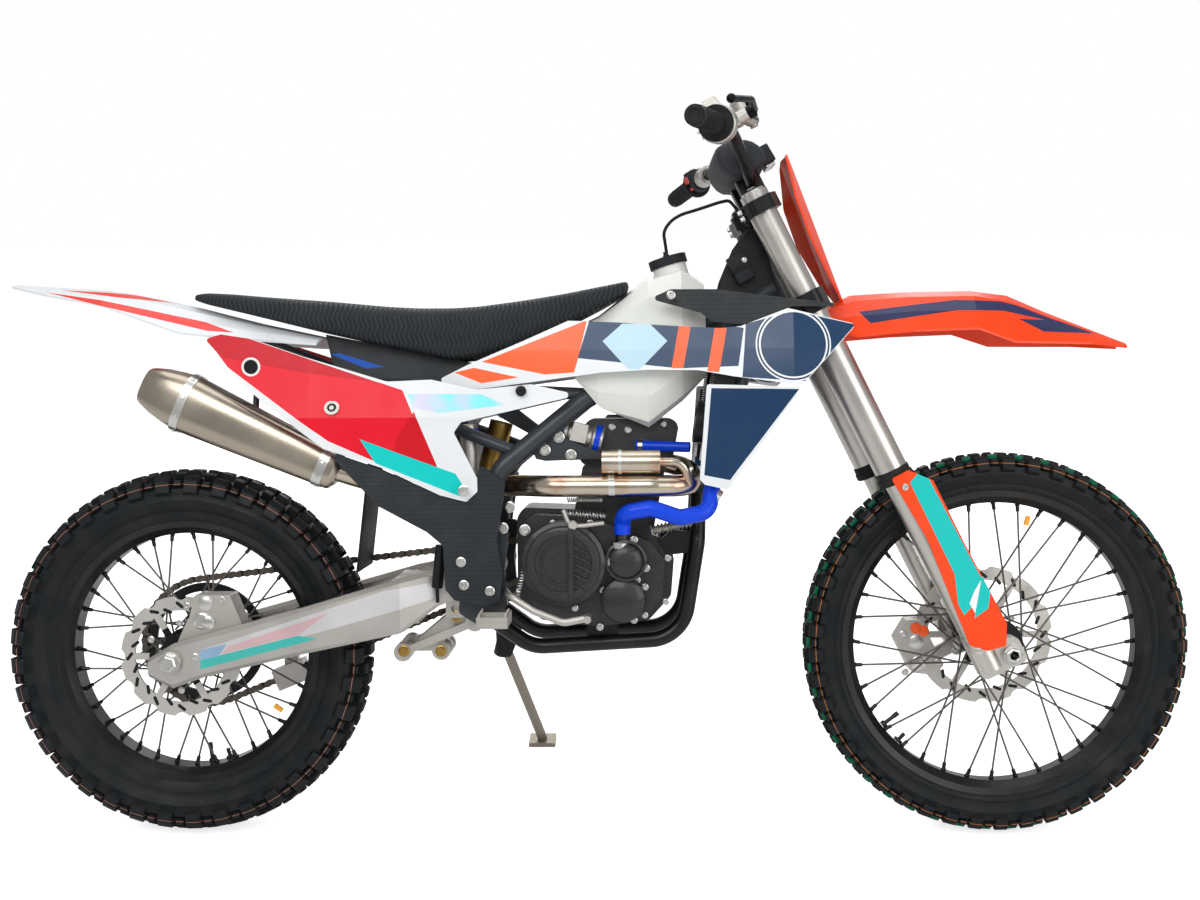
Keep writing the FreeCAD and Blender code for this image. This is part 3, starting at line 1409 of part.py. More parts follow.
# The lower hose's route from the right radiator's foot to the pump
hose_route = [vec(964.0, -118.0, 690.0), vec(964.0, -118.0, 650.0), vec(955.0, -138.0, 606.0), vec(905.0, -146.0, 597.0),
              vec(855.0, -146.0, 614.0), vec(812.0, -142.0, 606.0), vec(805.0, -118.0, 590.0), vec(805.0, -118.0, 566.0)]


def make_coolant_hose(engine):
    return tube(hose_route, hose_diameter, hose_bend).cut(engine)


# Bodywork

tank_x = 655.0
tank_length = 300.0
tank_z = 752.0
tank_height = 292.0
tank_half_width = 118.0
tank_stations_shares = [(0.0, 0.62, 0.34, 0.54), (0.15, 0.9, 0.27, 0.6), (0.36, 0.97, 0.1, 0.7), (0.66, 1.0, 0.0, 0.94),
                        (0.86, 0.9, 0.16, 1.0), (1.0, 0.72, 0.3, 0.9)]
tank_section_shares = [(0.0, 1.0), (0.4, 0.96), (0.62, 0.84), (0.86, 0.62), (1.0, 0.42), (0.98, 0.2), (0.86, 0.04), (0.7, 0.0), (0.0, 0.0)]
tunnel_rear_y = 130.0
tunnel_front_y = 55.0
tunnel_rear_z = 838.0
tunnel_front_z = 988.0
tunnel_rear_x = 600.0
tunnel_front_x = 1010.0


def mirrored_section(x, points):
    """A closed section from a half outline that starts and ends on the middle plane."""
    right = [vec(x, -y, z) for y, z in points]
    left = [vec(x, y, z) for y, z in reversed(points[1:-1])]
    return right + left


def stationed(stations, section, x, length, z, height, half_width):
    """A body through stations of length, width, low and high shares with one unit section."""
    sections = []
    for along, wide, low, high in stations:
        points = [(half_width * wide * out, z + height * (low + (high - low) * up)) for out, up in section]
        sections.append(mirrored_section(x + length * along, points))
    return loft(sections)


tank_pad_x = 880.0
tank_pad_z = 900.0
tank_pad_diameter = 20.0
tank_pad_outer_y = 92.0
tank_pad_inner_y = 56.0


def make_tank(spars):
    """The fuel tank, an open saddle over the spars and the cylinder head, on a rubber pad at each side."""
    body = stationed(tank_stations_shares, tank_section_shares, tank_x, tank_length, tank_z, tank_height, tank_half_width)
    deep = tank_z - tank_height
    tunnel = loft([[vec(tunnel_rear_x, -tunnel_rear_y, deep), vec(tunnel_rear_x, tunnel_rear_y, deep),
                    vec(tunnel_rear_x, tunnel_rear_y, tunnel_rear_z), vec(tunnel_rear_x, -tunnel_rear_y, tunnel_rear_z)],
                   [vec(tunnel_front_x, -tunnel_front_y, deep), vec(tunnel_front_x, tunnel_front_y, deep),
                    vec(tunnel_front_x, tunnel_front_y, tunnel_front_z), vec(tunnel_front_x, -tunnel_front_y, tunnel_front_z)]])
    neck = bar(cap_base() - cap_way() * neck_diameter * half_share, cap_base(), neck_diameter)
    pad = bar(vec(tank_pad_x, -tank_pad_outer_y, tank_pad_z), vec(tank_pad_x, -tank_pad_inner_y, tank_pad_z), tank_pad_diameter)
    rest = lowest_y(pad.cut(spars))
    return join([body.cut(tunnel), neck, rest, other_side(rest)])


vent_diameter = 6.0
vent_bend = 16.0
# The vent hose's route from the cap to the steering stem's top, in the middle plane
vent_route = [vec(886.0, 0.0, 1088.0), vec(882.0, 0.0, 1112.0), vec(905.0, 0.0, 1138.0), vec(948.0, 0.0, 1150.0), vec(990.0, 0.0, 1164.0)]
cap_x = 893.0
cap_z = 1046.0
cap_tilt_deg = 16.0
cap_diameter = 70.0
cap_height_over = 16.0
neck_diameter = 62.0


def cap_way():
    tilt = math.radians(cap_tilt_deg)
    return vec(-math.sin(tilt), 0, math.cos(tilt))


def cap_base():
    return vec(cap_x, 0, cap_z)


def make_tank_cap():
    low = cap_base() + cap_way() * gap
    return bar(low, low + cap_way() * cap_height_over, cap_diameter)


def make_vent_hose(cap):
    """The vent hose from the cap up and over into the steering stem's bored top."""
    stem_top = clamp_high + clamp_high_height + cap_height
    over = fork_at(stem_top + vent_bend + vent_diameter, -clamp_offset, 0)
    return tube([cap_base() + cap_way() * cap_height_over * half_share] + vent_route + [over, fork_at(clamp_high + cap_height, -clamp_offset, 0)],
                vent_diameter, vent_bend).cut(cap)


seat_x = 23.0
seat_length = 796.0
seat_z = 870.0
seat_height = 150.0
seat_half_width = 98.0
seat_stations_shares = [(0.0, 0.52, 0.78, 0.86), (0.1, 0.86, 0.64, 0.86), (0.18, 0.97, 0.54, 0.82), (0.31, 1.0, 0.36, 0.77),
                        (0.49, 0.98, 0.17, 0.69), (0.65, 0.94, 0.0, 0.68), (0.77, 0.84, 0.27, 0.76), (0.93, 0.68, 0.63, 0.94), (1.0, 0.5, 0.9, 1.0)]
seat_section_shares = [(0.0, 1.0), (0.5, 0.97), (0.8, 0.86), (0.95, 0.62), (1.0, 0.3), (1.0, 0.0), (0.0, 0.0)]


def make_seat():
    """The foam seat, thin at its tail and swept up onto the tank."""
    return stationed(seat_stations_shares, seat_section_shares, seat_x, seat_length, seat_z, seat_height, seat_half_width)


tail_x = -311.0
tail_length = 580.0
tail_z = 905.0
tail_rise = 116.0
tail_half_width = 124.0
tail_wall = 4.0
tail_stations_shares = [(0.0, 1.0, 0.96, 0.3), (0.14, 0.95, 0.8, 0.62), (0.33, 0.88, 0.62, 0.84), (0.58, 0.62, 0.18, 0.96),
                        (0.78, 0.36, 0.08, 1.0), (1.0, 0.12, 0.0, 0.98)]


def make_rear_fender():
    return arched_blade(tail_stations_shares, fender_arch_shares, tail_x, tail_length, tail_z, tail_rise,
                        tail_half_width, tail_wall)


# Side panels and shrouds are cut by their side-view outline from a bowed sheet.
# The sheet's reach out from the middle is given as shares at a grid of length and height shares.

def bowed_sheet(corner, size, bow_shares, reach, wall):
    """A sheet whose rows of shares give its reach out from the middle, from low to high, at each length share."""
    sections = []
    for along, row in bow_shares:
        x = corner[0] + size[0] * along
        steps = len(row) - 1
        outer = [vec(x, -reach * out, corner[1] + size[1] * index / steps) for index, out in enumerate(row)]
        inner = [point + along_y * wall for point in reversed(outer)]
        sections.append(outer + inner)
    return loft(sections)


def cut_sheet(shares, corner, size, bow_shares, reach, wall, bend):
    room = (corner[0] - overrun, corner[1] - overrun)
    extent = (size[0] + overrun + overrun, size[1] + overrun + overrun)
    sheet = bowed_sheet(room, extent, bow_shares, reach, wall)
    cutter = plate(spread(shares, corner, size), -fork_spread - fork_spread - fork_spread, 0, bend)
    return sheet.common(cutter)


sheet_wall = 4.0
panel_outline_shares = [(0.0, 0.97), (0.05, 1.0), (0.13, 0.97), (0.28, 0.86), (0.51, 0.71), (0.63, 0.72),
                        (0.75, 0.66), (0.9, 0.69), (1.0, 0.64), (1.0, 0.61), (0.71, 0.47), (0.69, 0.41), (0.75, 0.14),
                        (0.75, 0.06), (0.72, 0.0), (0.65, 0.04), (0.49, 0.21), (0.34, 0.32), (0.11, 0.7)]
panel_x = 75.0
panel_z = 626.0
panel_length = 637.0
panel_height = 296.0
panel_reach = 178.0
panel_bow_shares = [(0.0, (0.843, 0.899, 0.73)), (0.3, (0.944, 1.0, 0.82)), (0.6, (0.854, 0.966, 0.798)),
                    (0.8, (0.798, 0.854, 0.764)), (1.0, (0.787, 0.787, 0.742))]


post_diameter = 10.0
panel_post_x = 430.0
panel_post_z = 785.0


def make_side_panel(subframe):
    panel = cut_sheet(panel_outline_shares, (panel_x, panel_z), (panel_length, panel_height), panel_bow_shares, panel_reach, sheet_wall, rim_wall)
    return panel.fuse(post_between(panel_post_x, panel_post_z, panel, subframe))


shroud_outline_shares = [(1.0, 0.79), (0.84, 1.0), (0.73, 0.78), (0.68, 0.76), (0.51, 0.82), (0.44, 0.85), (0.32, 0.88),
                         (0.21, 0.62), (0.08, 0.33), (0.0, 0.12), (0.09, 0.0), (0.21, 0.08), (0.4, 0.21), (0.51, 0.24),
                         (0.63, 0.23), (0.71, 0.15), (0.87, 0.03)]
shroud_x = 480.0
shroud_z = 821.0
shroud_length = 726.0
shroud_height = 136.0
shroud_reach = 186.0
shroud_bow_shares = [(0.0, (0.688, 0.656, 0.591)), (0.3, (0.753, 0.72, 0.634)), (0.6, (0.86, 0.817, 0.731)),
                     (0.85, (1.0, 0.968, 0.882)), (1.0, (0.957, 0.935, 0.86))]
wing_outline_shares = [(0.07, 1.0), (1.0, 0.97), (0.32, 0.05), (0.28, 0.0), (0.05, 0.05), (0.0, 0.1)]
wing_x = 939.0
wing_z = 646.0
wing_length = 174.0
wing_height = 182.0
wing_reach = 187.0
wing_bow_shares = [(0.0, (0.845, 0.877, 0.877)), (0.5, (0.856, 0.92, 0.941)), (1.0, (0.856, 0.952, 1.0))]


shroud_post_x = 800.0
shroud_post_z = 885.0
wing_post_x = 972.0
wing_post_z = 760.0


def make_shroud(tank, radiators):
    """The upper shroud and the wing below it over the radiator."""
    upper = cut_sheet(shroud_outline_shares, (shroud_x, shroud_z), (shroud_length, shroud_height), shroud_bow_shares,
                      shroud_reach, sheet_wall, rim_wall)
    wing = cut_sheet(wing_outline_shares, (wing_x, wing_z), (wing_length, wing_height), wing_bow_shares, wing_reach, sheet_wall, rim_wall)
    return join([upper, wing, post_between(shroud_post_x, shroud_post_z, upper, tank),
                 post_between(wing_post_x, wing_post_z, wing, radiators)])


cover_outline_shares = [(0.0, 0.75), (0.1, 1.0), (0.31, 0.98), (0.52, 0.81), (1.0, 0.44), (0.67, 0.48), (0.44, 0.0),
                        (0.3, 0.09), (0.24, 0.34)]
cover_x = 855.0
cover_z = 930.0
cover_length = 364.0
cover_height = 64.0
cover_reach = 180.0
cover_bow_shares = [(0.0, (0.744, 0.656)), (0.5, (0.867, 0.789)), (1.0, (1.0, 0.911))]


cover_post_x = 934.0
cover_post_z = 970.0


def make_top_covers(tank):
    cover = cut_sheet(cover_outline_shares, (cover_x, cover_z), (cover_length, cover_height), cover_bow_shares, cover_reach, sheet_wall, rim_wall)
    return both(cover.fuse(post_between(cover_post_x, cover_post_z, cover, tank)))


airbox_low_x = 318.0
airbox_low_length = 200.0
airbox_z = 700.0
airbox_half_width = subframe_y - subframe_diameter * half_share


def make_airbox():
    low = [(airbox_low_x, airbox_z), (airbox_low_x + airbox_low_length, airbox_z)]
    top = [(seat_x + seat_length * along, seat_z + seat_height * low_share - gap)
           for along, _, low_share, _ in reversed(seat_stations_shares[3:6])]
    return plate(low + top, -airbox_half_width, airbox_half_width)


flap_top_x = 345.0
flap_top_z = airbox_z
flap_low_x = 320.0
flap_low_z = 492.0
flap_half_width = 62.0
flap_wall = 5.0


def make_mud_flap():
    points = [(flap_top_x, flap_top_z), (flap_top_x + flap_wall, flap_top_z), (flap_low_x + flap_wall, flap_low_z), (flap_low_x, flap_low_z)]
    return plate(points, -flap_half_width, flap_half_width)


peg_length = 78.0
peg_width = 54.0
peg_height = 20.0


def make_footpegs():
    outer = plate_outer_y + peg_length
    peg = box(peg_x - half(peg_width), peg_x + half(peg_width), -outer, -plate_outer_y, peg_z - half(peg_height), peg_z + half(peg_height))
    hollow = box(peg_x - half(peg_width) + rim_wall, peg_x + half(peg_width) - rim_wall, -outer + rim_wall,
                 -plate_outer_y - peg_width * half_share, peg_z - half(peg_height) - overrun, peg_z + half(peg_height) + overrun)
    return both(peg.cut(hollow))


pedal_diameter = 13.0
pedal_bend = 26.0
tread_length = 34.0
pedal_x = 598.0
pedal_length = 146.0
pedal_y = -160.0
pedal_width = 53.0
pedal_z = 416.0
pedal_height = 46.0
pedal_route_shares = [(0.0, 1.0, 1.0), (0.055, 0.264, 1.0), (0.356, 0.075, 0.435), (0.712, 0.0, 0.0), (1.0, 0.0, 0.174)]
shift_x = 690.0
shift_length = 102.0
shift_y = 50.0
shift_width = 90.0
shift_z = 428.0
shift_height = 12.0
shift_route_shares = [(0.0, 0.0, 1.0), (0.02, 0.867, 1.0), (0.49, 0.978, 0.667), (1.0, 1.0, 0.0)]


def foot_lever(points):
    """A bent lever with a tread across its tip."""
    tip = points[-1]
    tread = bar(tip - along_y * half(tread_length), tip + along_y * half(tread_length), pedal_diameter)
    return tube(points, pedal_diameter, pedal_bend).fuse(tread)


def make_brake_pedal():
    return foot_lever(route(pedal_route_shares, (pedal_x, pedal_y, pedal_z), (pedal_length, pedal_width, pedal_height)))


def make_shift_lever(engine):
    points = route(shift_route_shares, (shift_x, shift_y, shift_z), (shift_length, shift_width, shift_height))
    return foot_lever(points).cut(engine)


rear_caliper_shares = [(0.0, 0.4), (0.72, 0.0), (1.0, 0.35), (0.78, 1.0), (0.12, 1.0)]
rear_caliper_x = 22.0
rear_caliper_z = 372.0
rear_caliper_length = 98.0
rear_caliper_height = 84.0
rear_caliper_width = 44.0
carrier_wall = 8.0
carrier_ring = 24.0


def make_rear_caliper():
    """The caliper over the disc, ahead of and above the axle."""
    points = spread(rear_caliper_shares, (rear_caliper_x, rear_caliper_z), (rear_caliper_length, rear_caliper_height))
    block = plate(points, -arm_inner_y + gap, rear_disc_y + half(rear_caliper_width), rim_wall)
    block = block.cut(disc_room(0, rear_disc_y, rear_axle_z, rear_disc_radius))
    outer = carrier_ring + carrier_ring
    arm_points = [(-half(carrier_ring), rear_axle_z), (half(carrier_ring), rear_axle_z - half(carrier_ring)),
                  (rear_caliper_x + rear_caliper_length * half_share, rear_caliper_z + half(carrier_ring)),
                  (rear_caliper_x, rear_caliper_z + rear_caliper_height * half_share)]
    arm = plate(arm_points, -arm_inner_y + gap, -arm_inner_y + carrier_wall, 0)
    ring = bar(vec(0, -arm_inner_y + gap, rear_axle_z), vec(0, -arm_inner_y + carrier_wall, rear_axle_z), outer)
    hole = bar(vec(0, -arm_inner_y, rear_axle_z), vec(0, 0, rear_axle_z), axle_diameter + gap)
    return join([block, arm, ring]).cut(hole)


rear_hub_low = rear_disc_y - half(disc_thickness)
rear_hub_high = chain_y - half(sprocket_thickness)


def make_rear_axle():
    """The rear axle with its spacers, nut and head."""
    far = arm_inner_y + arm_wall_y
    solid = bar(vec(0, -far, rear_axle_z), vec(0, far, rear_axle_z), axle_diameter)
    head = bar(vec(0, far, rear_axle_z), vec(0, far + axle_head_width, rear_axle_z), axle_head)
    nut = bar(vec(0, -far - axle_head_width, rear_axle_z), vec(0, -far, rear_axle_z), axle_head)
    low_spacer = bar(vec(0, -arm_inner_y + carrier_wall, rear_axle_z), vec(0, rear_hub_low - hub_side_gap, rear_axle_z), spacer_diameter)
    high_spacer = bar(vec(0, rear_sprocket_high + hub_side_gap, rear_axle_z), vec(0, arm_inner_y, rear_axle_z), spacer_diameter)
    return join([solid, head, nut, low_spacer, high_spacer])


rear_sprocket_high = chain_y + half(sprocket_thickness)


stand_diameter = 20.0
stand_foot_width = 46.0
stand_foot_length = 56.0
stand_foot_height = 9.0


def make_side_stand():
    """The leg from its pivot's eye down to the foot plate, which lies on the ground."""
    top = vec(stand_top_x, stand_top_y, stand_top_z)
    foot_z = stand_foot_y * math.tan(lean)
    ground_up = vec(0, -math.sin(lean), math.cos(lean))
    foot = vec(stand_foot_x, stand_foot_y, foot_z) + ground_up * stand_foot_height
    eye = bar(top - stand_axis * stand_eye_half, top + stand_axis * stand_eye_half, stand_eye)
    hole = bar(top - stand_axis * stand_eye, top + stand_axis * stand_eye, stand_pin + gap)
    leg = bar(top, foot, stand_diameter)
    pad = Part.makeBox(stand_foot_length, stand_foot_width, stand_foot_height)
    pad.translate(vec(-half(stand_foot_length), -half(stand_foot_width), 0))
    pad.rotate(vec(0, 0, 0), along_x, lean_deg)
    pad.translate(vec(stand_foot_x, stand_foot_y, foot_z))
    return join([leg, pad, eye]).cut(hole)


def all_nodes():
    """Every node by name, upright."""
    spars = make_frame_spars()
    fender = make_rear_fender()
    front_fender = make_front_fender()
    muffler = make_muffler()
    subframe = make_subframe(spars, fender, muffler)
    engine = make_engine()
    cylinder = make_cylinder(engine)
    header = make_header(cylinder, muffler)
    tank = make_tank(spars)
    radiators = make_radiators(make_frame_head())
    fork_tubes = make_fork_tubes()
    side_panel = make_side_panel(subframe)
    shroud = make_shroud(tank, radiators)
    cap = make_tank_cap()
    controls = make_controls()
    caliper = make_front_caliper(fork_tubes)
    nodes = {
        "frame_head": make_frame_head(),
        "frame_spars": spars,
        "frame_cradle": make_frame_cradle(engine),
        "frame_guards": make_frame_guards(),
        "subframe": subframe,
        "swingarm": make_swingarm(),
        "shock": make_shock(),
        "linkage": make_linkage(),
        "engine": engine,
        "cylinder": cylinder,
        "exhaust_header": header,
        "resonator": make_resonator(header),
        "muffler": muffler,
        "radiators": radiators,
        "coolant_hose": make_coolant_hose(engine),
        "fuel_tank": tank,
        "tank_cap": cap,
        "vent_hose": make_vent_hose(cap),
        "shroud_right": shroud,
        "shroud_left": other_side(shroud),
        "top_covers": make_top_covers(tank),
        "seat": make_seat(),
        "rear_fender": fender,
        "side_panel_right": side_panel,
        "side_panel_left": other_side(side_panel),
        "airbox": make_airbox(),
        "mud_flap": make_mud_flap(),
        "footpegs": make_footpegs(),
        "brake_pedal": make_brake_pedal(),
        "shift_lever": make_shift_lever(engine),
        "chain": make_chain(),
        "front_sprocket": sprocket(front_sprocket_x, front_sprocket_z, front_pitch - half(chain_height) - gap,
                                   half(pivot_bolt) * half_share, chain_y),
        "rear_caliper": make_rear_caliper(),
        "rear_axle": make_rear_axle(),
        "triple_clamps": make_clamps(),
        "fork_tubes": fork_tubes,
        "fork_guards": make_fork_guards(fork_tubes),
        "front_fender": front_fender,
        "number_plate": make_number_plate(front_fender),
        "handlebar": handlebar_tube(grip_bar_diameter),
        "bar_risers": make_bar_risers(),
        "bar_pad": make_bar_pad(),
        "grips": make_grips(),
        "bar_controls": controls,
        "front_caliper": caliper,
        "front_axle": make_front_axle(),
        "front_tyre": tyre(wheelbase, front_axle_z, front_tyre_radius, front_tyre_width, front_rim_radius, front_rim_width,
                           front_lugs, front_lug_height),
        "front_rim": wheel_rim(wheelbase, front_axle_z, front_rim_radius, front_rim_width),
        "front_hub": hub(wheelbase, front_axle_z, front_hub_low, front_hub_high, front_disc_y, front_disc_radius),
        "rear_tyre": tyre(0, rear_axle_z, rear_tyre_radius, rear_tyre_width, rear_rim_radius, rear_rim_width, rear_lugs, rear_lug_height),
        "rear_rim": wheel_rim(0, rear_axle_z, rear_rim_radius, rear_rim_width),
        "rear_hub": hub(0, rear_axle_z, rear_hub_low, rear_hub_high, rear_disc_y, rear_disc_radius),
        "rear_sprocket": sprocket(0, rear_axle_z, rear_pitch - half(chain_height) - gap,
                                  half(axle_diameter) + bore_clearance, chain_y),
        "side_stand": make_side_stand(),
    }
    return nodes


def lean_over(nodes):
    """Lean every solid onto the stand and put the origin under the middle of the whole."""
    whole = FreeCAD.BoundBox()
    for shape in nodes.values():
        shape.rotate(vec(0, 0, 0), along_x, -lean_deg)
        whole.add(shape.optimalBoundingBox(False))
    shift = vec(-half(whole.XMin + whole.XMax), -half(whole.YMin + whole.YMax), -whole.ZMin)
    for shape in nodes.values():
        shape.translate(shift)
    print("shift", shift.x, shift.y, shift.z)
    print("size", whole.XLength, whole.YLength, whole.ZLength)


def main():
    nodes = all_nodes()
    lean_over(nodes)
    for name, shape in nodes.items():
        print(name, shape.isValid(), len(shape.Solids), round(shape.Volume))
        shape.exportStep("parts/" + name + ".step")


main()
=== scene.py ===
import json
import math
from collections import namedtuple

import bmesh
import bpy
from bpy.props import FloatProperty, FloatVectorProperty, IntProperty, PointerProperty
from mathutils import Matrix, Vector
from mathutils.bvhtree import BVHTree


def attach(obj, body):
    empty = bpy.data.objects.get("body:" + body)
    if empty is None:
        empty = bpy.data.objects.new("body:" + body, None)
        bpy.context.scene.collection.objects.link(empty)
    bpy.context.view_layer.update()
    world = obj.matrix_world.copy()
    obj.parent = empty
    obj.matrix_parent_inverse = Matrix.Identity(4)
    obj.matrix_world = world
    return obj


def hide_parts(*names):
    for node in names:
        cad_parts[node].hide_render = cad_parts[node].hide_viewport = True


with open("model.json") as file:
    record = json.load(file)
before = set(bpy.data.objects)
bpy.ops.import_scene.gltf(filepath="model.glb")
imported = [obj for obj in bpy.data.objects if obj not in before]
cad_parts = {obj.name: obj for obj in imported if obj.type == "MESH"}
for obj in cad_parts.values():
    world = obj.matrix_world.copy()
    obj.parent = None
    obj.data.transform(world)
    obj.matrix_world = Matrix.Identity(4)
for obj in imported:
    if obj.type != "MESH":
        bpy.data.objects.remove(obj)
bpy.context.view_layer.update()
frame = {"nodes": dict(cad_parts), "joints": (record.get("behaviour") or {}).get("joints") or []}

bl_info = {
    "name": "Dirt bike dressing",
    "version": (1, 0, 0),
    "blender": (4, 5, 0),
    "location": "View3D > Sidebar > Dirt bike",
    "description": "Dresses the dirt bike's frame with its finishes, tyres, chain, engine trim and stage",
    "category": "Object",
}

# The bike is described upright, in millimetres, with X forward from the rear
# axle, Y to the left and Z up from the ground, and then leans on its stand.

JOINTS = {joint["name"]: joint for joint in frame["joints"]}
SPIN = JOINTS["front_spin"]
LEAN = math.atan2(-SPIN["axis"][2], SPIN["axis"][1])
WHEELBASE = 1487.0
FRONT_Z = SPIN["pos_m"][2] / math.cos(LEAN) * 1000
REAR_Z = JOINTS["rear_spin"]["pos_m"][2] / math.cos(LEAN) * 1000
SHIFT = Vector((SPIN["pos_m"][0] - WHEELBASE / 1000, SPIN["pos_m"][1] - FRONT_Z * math.sin(LEAN) / 1000, 0))
LEANING = Matrix.Translation(SHIFT) @ Matrix.Rotation(-LEAN, 4, "X") @ Matrix.Scale(0.001, 4)
RAKE = math.radians(26.5)
UP_LEG = Vector((-math.sin(RAKE), 0, math.cos(RAKE)))
AHEAD = Vector((math.cos(RAKE), 0, math.sin(RAKE)))
LEG_FOOT = Vector((WHEELBASE, 0, FRONT_Z)) - AHEAD * 42.0
RIGHT, LEFT = -1, 1
TO_RIGHT = (0, RIGHT, 0)
SQUARE = ((1, 0, 0), (0, 1, 0), (0, 0, 1))
FULL = math.tau

# The bar runs back from its bend to its ends: its end's height up the fork's
# leg, its reach ahead of the leg and its distance from the middle

BAR_END_UP, BAR_END_AHEAD, BAR_END = 1040, -72, 400

# Both wheels: middles, tyre, rim, bead and brake disc, in millimetres

Wheel = namedtuple("Wheel", "body x z radius half_width rim_radius bead disc_y disc_radius")
FRONT = Wheel("front_wheel", WHEELBASE, FRONT_Z, 350.0, 42.0, 281.5, 27.0, 62.0, 128.0)
REAR = Wheel("rear_wheel", 0.0, REAR_Z, 338.0, 55.0, 243.5, 34.0, -72.0, 108.0)
WHEELS = (FRONT, REAR)
SPOKES = 36

# The tyre's crown as (share of half width, share of depth that it drops), the
# step that its slope is measured over, and how far the knobs sink into it

CROWN = ((0.0, 0.0), (0.36, 0.015), (0.72, 0.09), (1.0, 0.28))
CROWN_STEP = 0.05
KNOB_SINK = 0.6

# Edges sharper than this many degrees are rounded by a piece's bevel

BEVEL_FROM = 35

# The camera that took the photograph, in the upright bike's millimetres

CAMERA_AT = Vector((817.8, -2313.4, 807.1))
CAMERA_TURN = (Matrix.Rotation(0.0234, 3, "Z") @ Matrix.Rotation(-0.0423, 3, "X") @ Matrix.Rotation(0.0065, 3, "Y"))
CAMERA_PIXELS = 1250.4
PHOTO_WIDE, PHOTO_HIGH = 1200, 900

def side_place(u, v, y):
    """Where a pixel of the photograph meets the upright plane at y, as (x, z)."""
    right, away, up = (CAMERA_TURN @ Vector(axis) for axis in SQUARE)
    way = away * CAMERA_PIXELS + right * (u - PHOTO_WIDE / 2) + up * (PHOTO_HIGH / 2 - v)
    reach = (y - CAMERA_AT.y) / way.y
    spot = CAMERA_AT + way * reach
    return spot.x, spot.z


def seen_spot(u, v, y):
    """Where a pixel of the photograph meets the upright plane at y, as a place."""
    x, z = side_place(u, v, y)
    return Vector((x, y, z))


def spoke_way(angle):
    """The direction of an angle about the bike's Y."""
    return Vector((math.cos(angle), 0, math.sin(angle)))


def rim_way(angle):
    """The direction along a wheel's rim at an angle about the bike's Y."""
    return Vector((-math.sin(angle), 0, math.cos(angle)))


def fork_place(up, ahead, y=0.0):
    """A place on the fork by its height up the leg and its reach ahead of it."""
    spot = LEG_FOOT + UP_LEG * up + AHEAD * ahead
    return Vector((spot.x, y, spot.z))


def tone(colour):
    """A written colour such as ff8000, or a colour of the settings, as the linear colour that a shader takes."""
    if not isinstance(colour, str):
        return (*colour, 1.0)
    values = [int(colour[i:i + 2], 16) / 255 for i in (0, 2, 4)]
    return tuple(v / 12.92 if v <= 0.04045 else ((v + 0.055) / 1.055) ** 2.4 for v in values) + (1.0,)


# Mesh making


def grid_faces(bm, rows, closed_row=True, closed_stack=False):
    """Joins rings of vertices, one after the other, into faces."""
    count = len(rows)
    for i in range(count if closed_stack else count - 1):
        low, high = rows[i], rows[(i + 1) % count]
        size = len(low)
        for j in range(size if closed_row else size - 1):
            k = (j + 1) % size
            bm.faces.new((low[j], low[k], high[k], high[j]))


def lathe(bm, profile, origin, axis, sides=48, closed=False):
    """Turns a profile of (radius, along) about an axis and closes its ends."""
    axis = Vector(axis).normalized()
    side = axis.orthogonal().normalized()
    over = axis.cross(side)
    rows = []
    for j in range(sides):
        angle = FULL * j / sides
        way = side * math.cos(angle) + over * math.sin(angle)
        rows.append([bm.verts.new(Vector(origin) + way * radius + axis * along) for radius, along in profile])
    grid_faces(bm, rows, closed_row=closed, closed_stack=True)
    if not closed:
        for index in (0, -1):
            if profile[index][0] > 1e-6:
                bm.faces.new([row[index] for row in rows])


def cylinder(bm, start, end, radius, sides=20, chamfer=0.0):
    """A round bar with chamfered ends."""
    start, end = Vector(start), Vector(end)
    length = (end - start).length
    profile = [(radius - chamfer, 0), (radius, chamfer), (radius, length - chamfer), (radius - chamfer, length)]
    if chamfer == 0:
        profile = [(radius, 0), (radius, length)]
    lathe(bm, profile, start, end - start, sides)


def collar(bm, inner, outer, half, middle, axis, sides):
    """A ring about an axis, half its width each side of its middle."""
    lathe(bm, [(inner, -half), (outer, -half), (outer, half), (inner, half)], middle, axis, sides, closed=True)


def capped(bm, rows):
    """Joins rings of vertices and closes both ends."""
    grid_faces(bm, rows)
    bm.faces.new(list(reversed(rows[0])))
    bm.faces.new(rows[-1])


def smooth_line(points, steps):
    """A curve through the points, with a few steps between each two."""
    points = [Vector(p) for p in points]
    points = [points[0] * 2 - points[1], *points, points[-1] * 2 - points[-2]]
    line = []
    for a, b, c, d in zip(points, points[1:], points[2:], points[3:]):
        for step in range(steps):
            t = step / steps
            spot = (2 * b) + (c - a) * t + (2 * a - 5 * b + 4 * c - d) * t * t + (3 * b - a - 3 * c + d) * t ** 3
            line.append(0.5 * spot)
    return [*line, points[-2]]


def frames_along(line):
    """A pair of steady cross directions at each place of a line."""
    ways = [(ahead - back).normalized() for back, ahead in zip([line[0], *line], [*line[1:], line[-1]])]
    side = ways[0].orthogonal().normalized()
    pairs = []
    for way in ways:
        side = (side - way * side.dot(way)).normalized()
        pairs.append((side, way.cross(side)))
    return pairs


def hose(bm, line, radius, sides=14, ripple=None):
    """A round tube along a line; ripple(along) may swell it."""
    rows = []
    along = 0.0
    for i, (spot, (side, over)) in enumerate(zip(line, frames_along(line))):
        if i:
            along += (spot - line[i - 1]).length
        reach = radius if ripple is None else radius + ripple(along)
        ways = [side * math.cos(FULL * j / sides) + over * math.sin(FULL * j / sides) for j in range(sides)]
        rows.append([bm.verts.new(spot + way * reach) for way in ways])
    capped(bm, rows)


def slab(bm, outline, y_from, y_to):
    """A plate with an outline in X and Z between two planes along Y."""
    capped(bm, [[bm.verts.new((x, y, z)) for x, z in outline] for y in (y_from, y_to)])


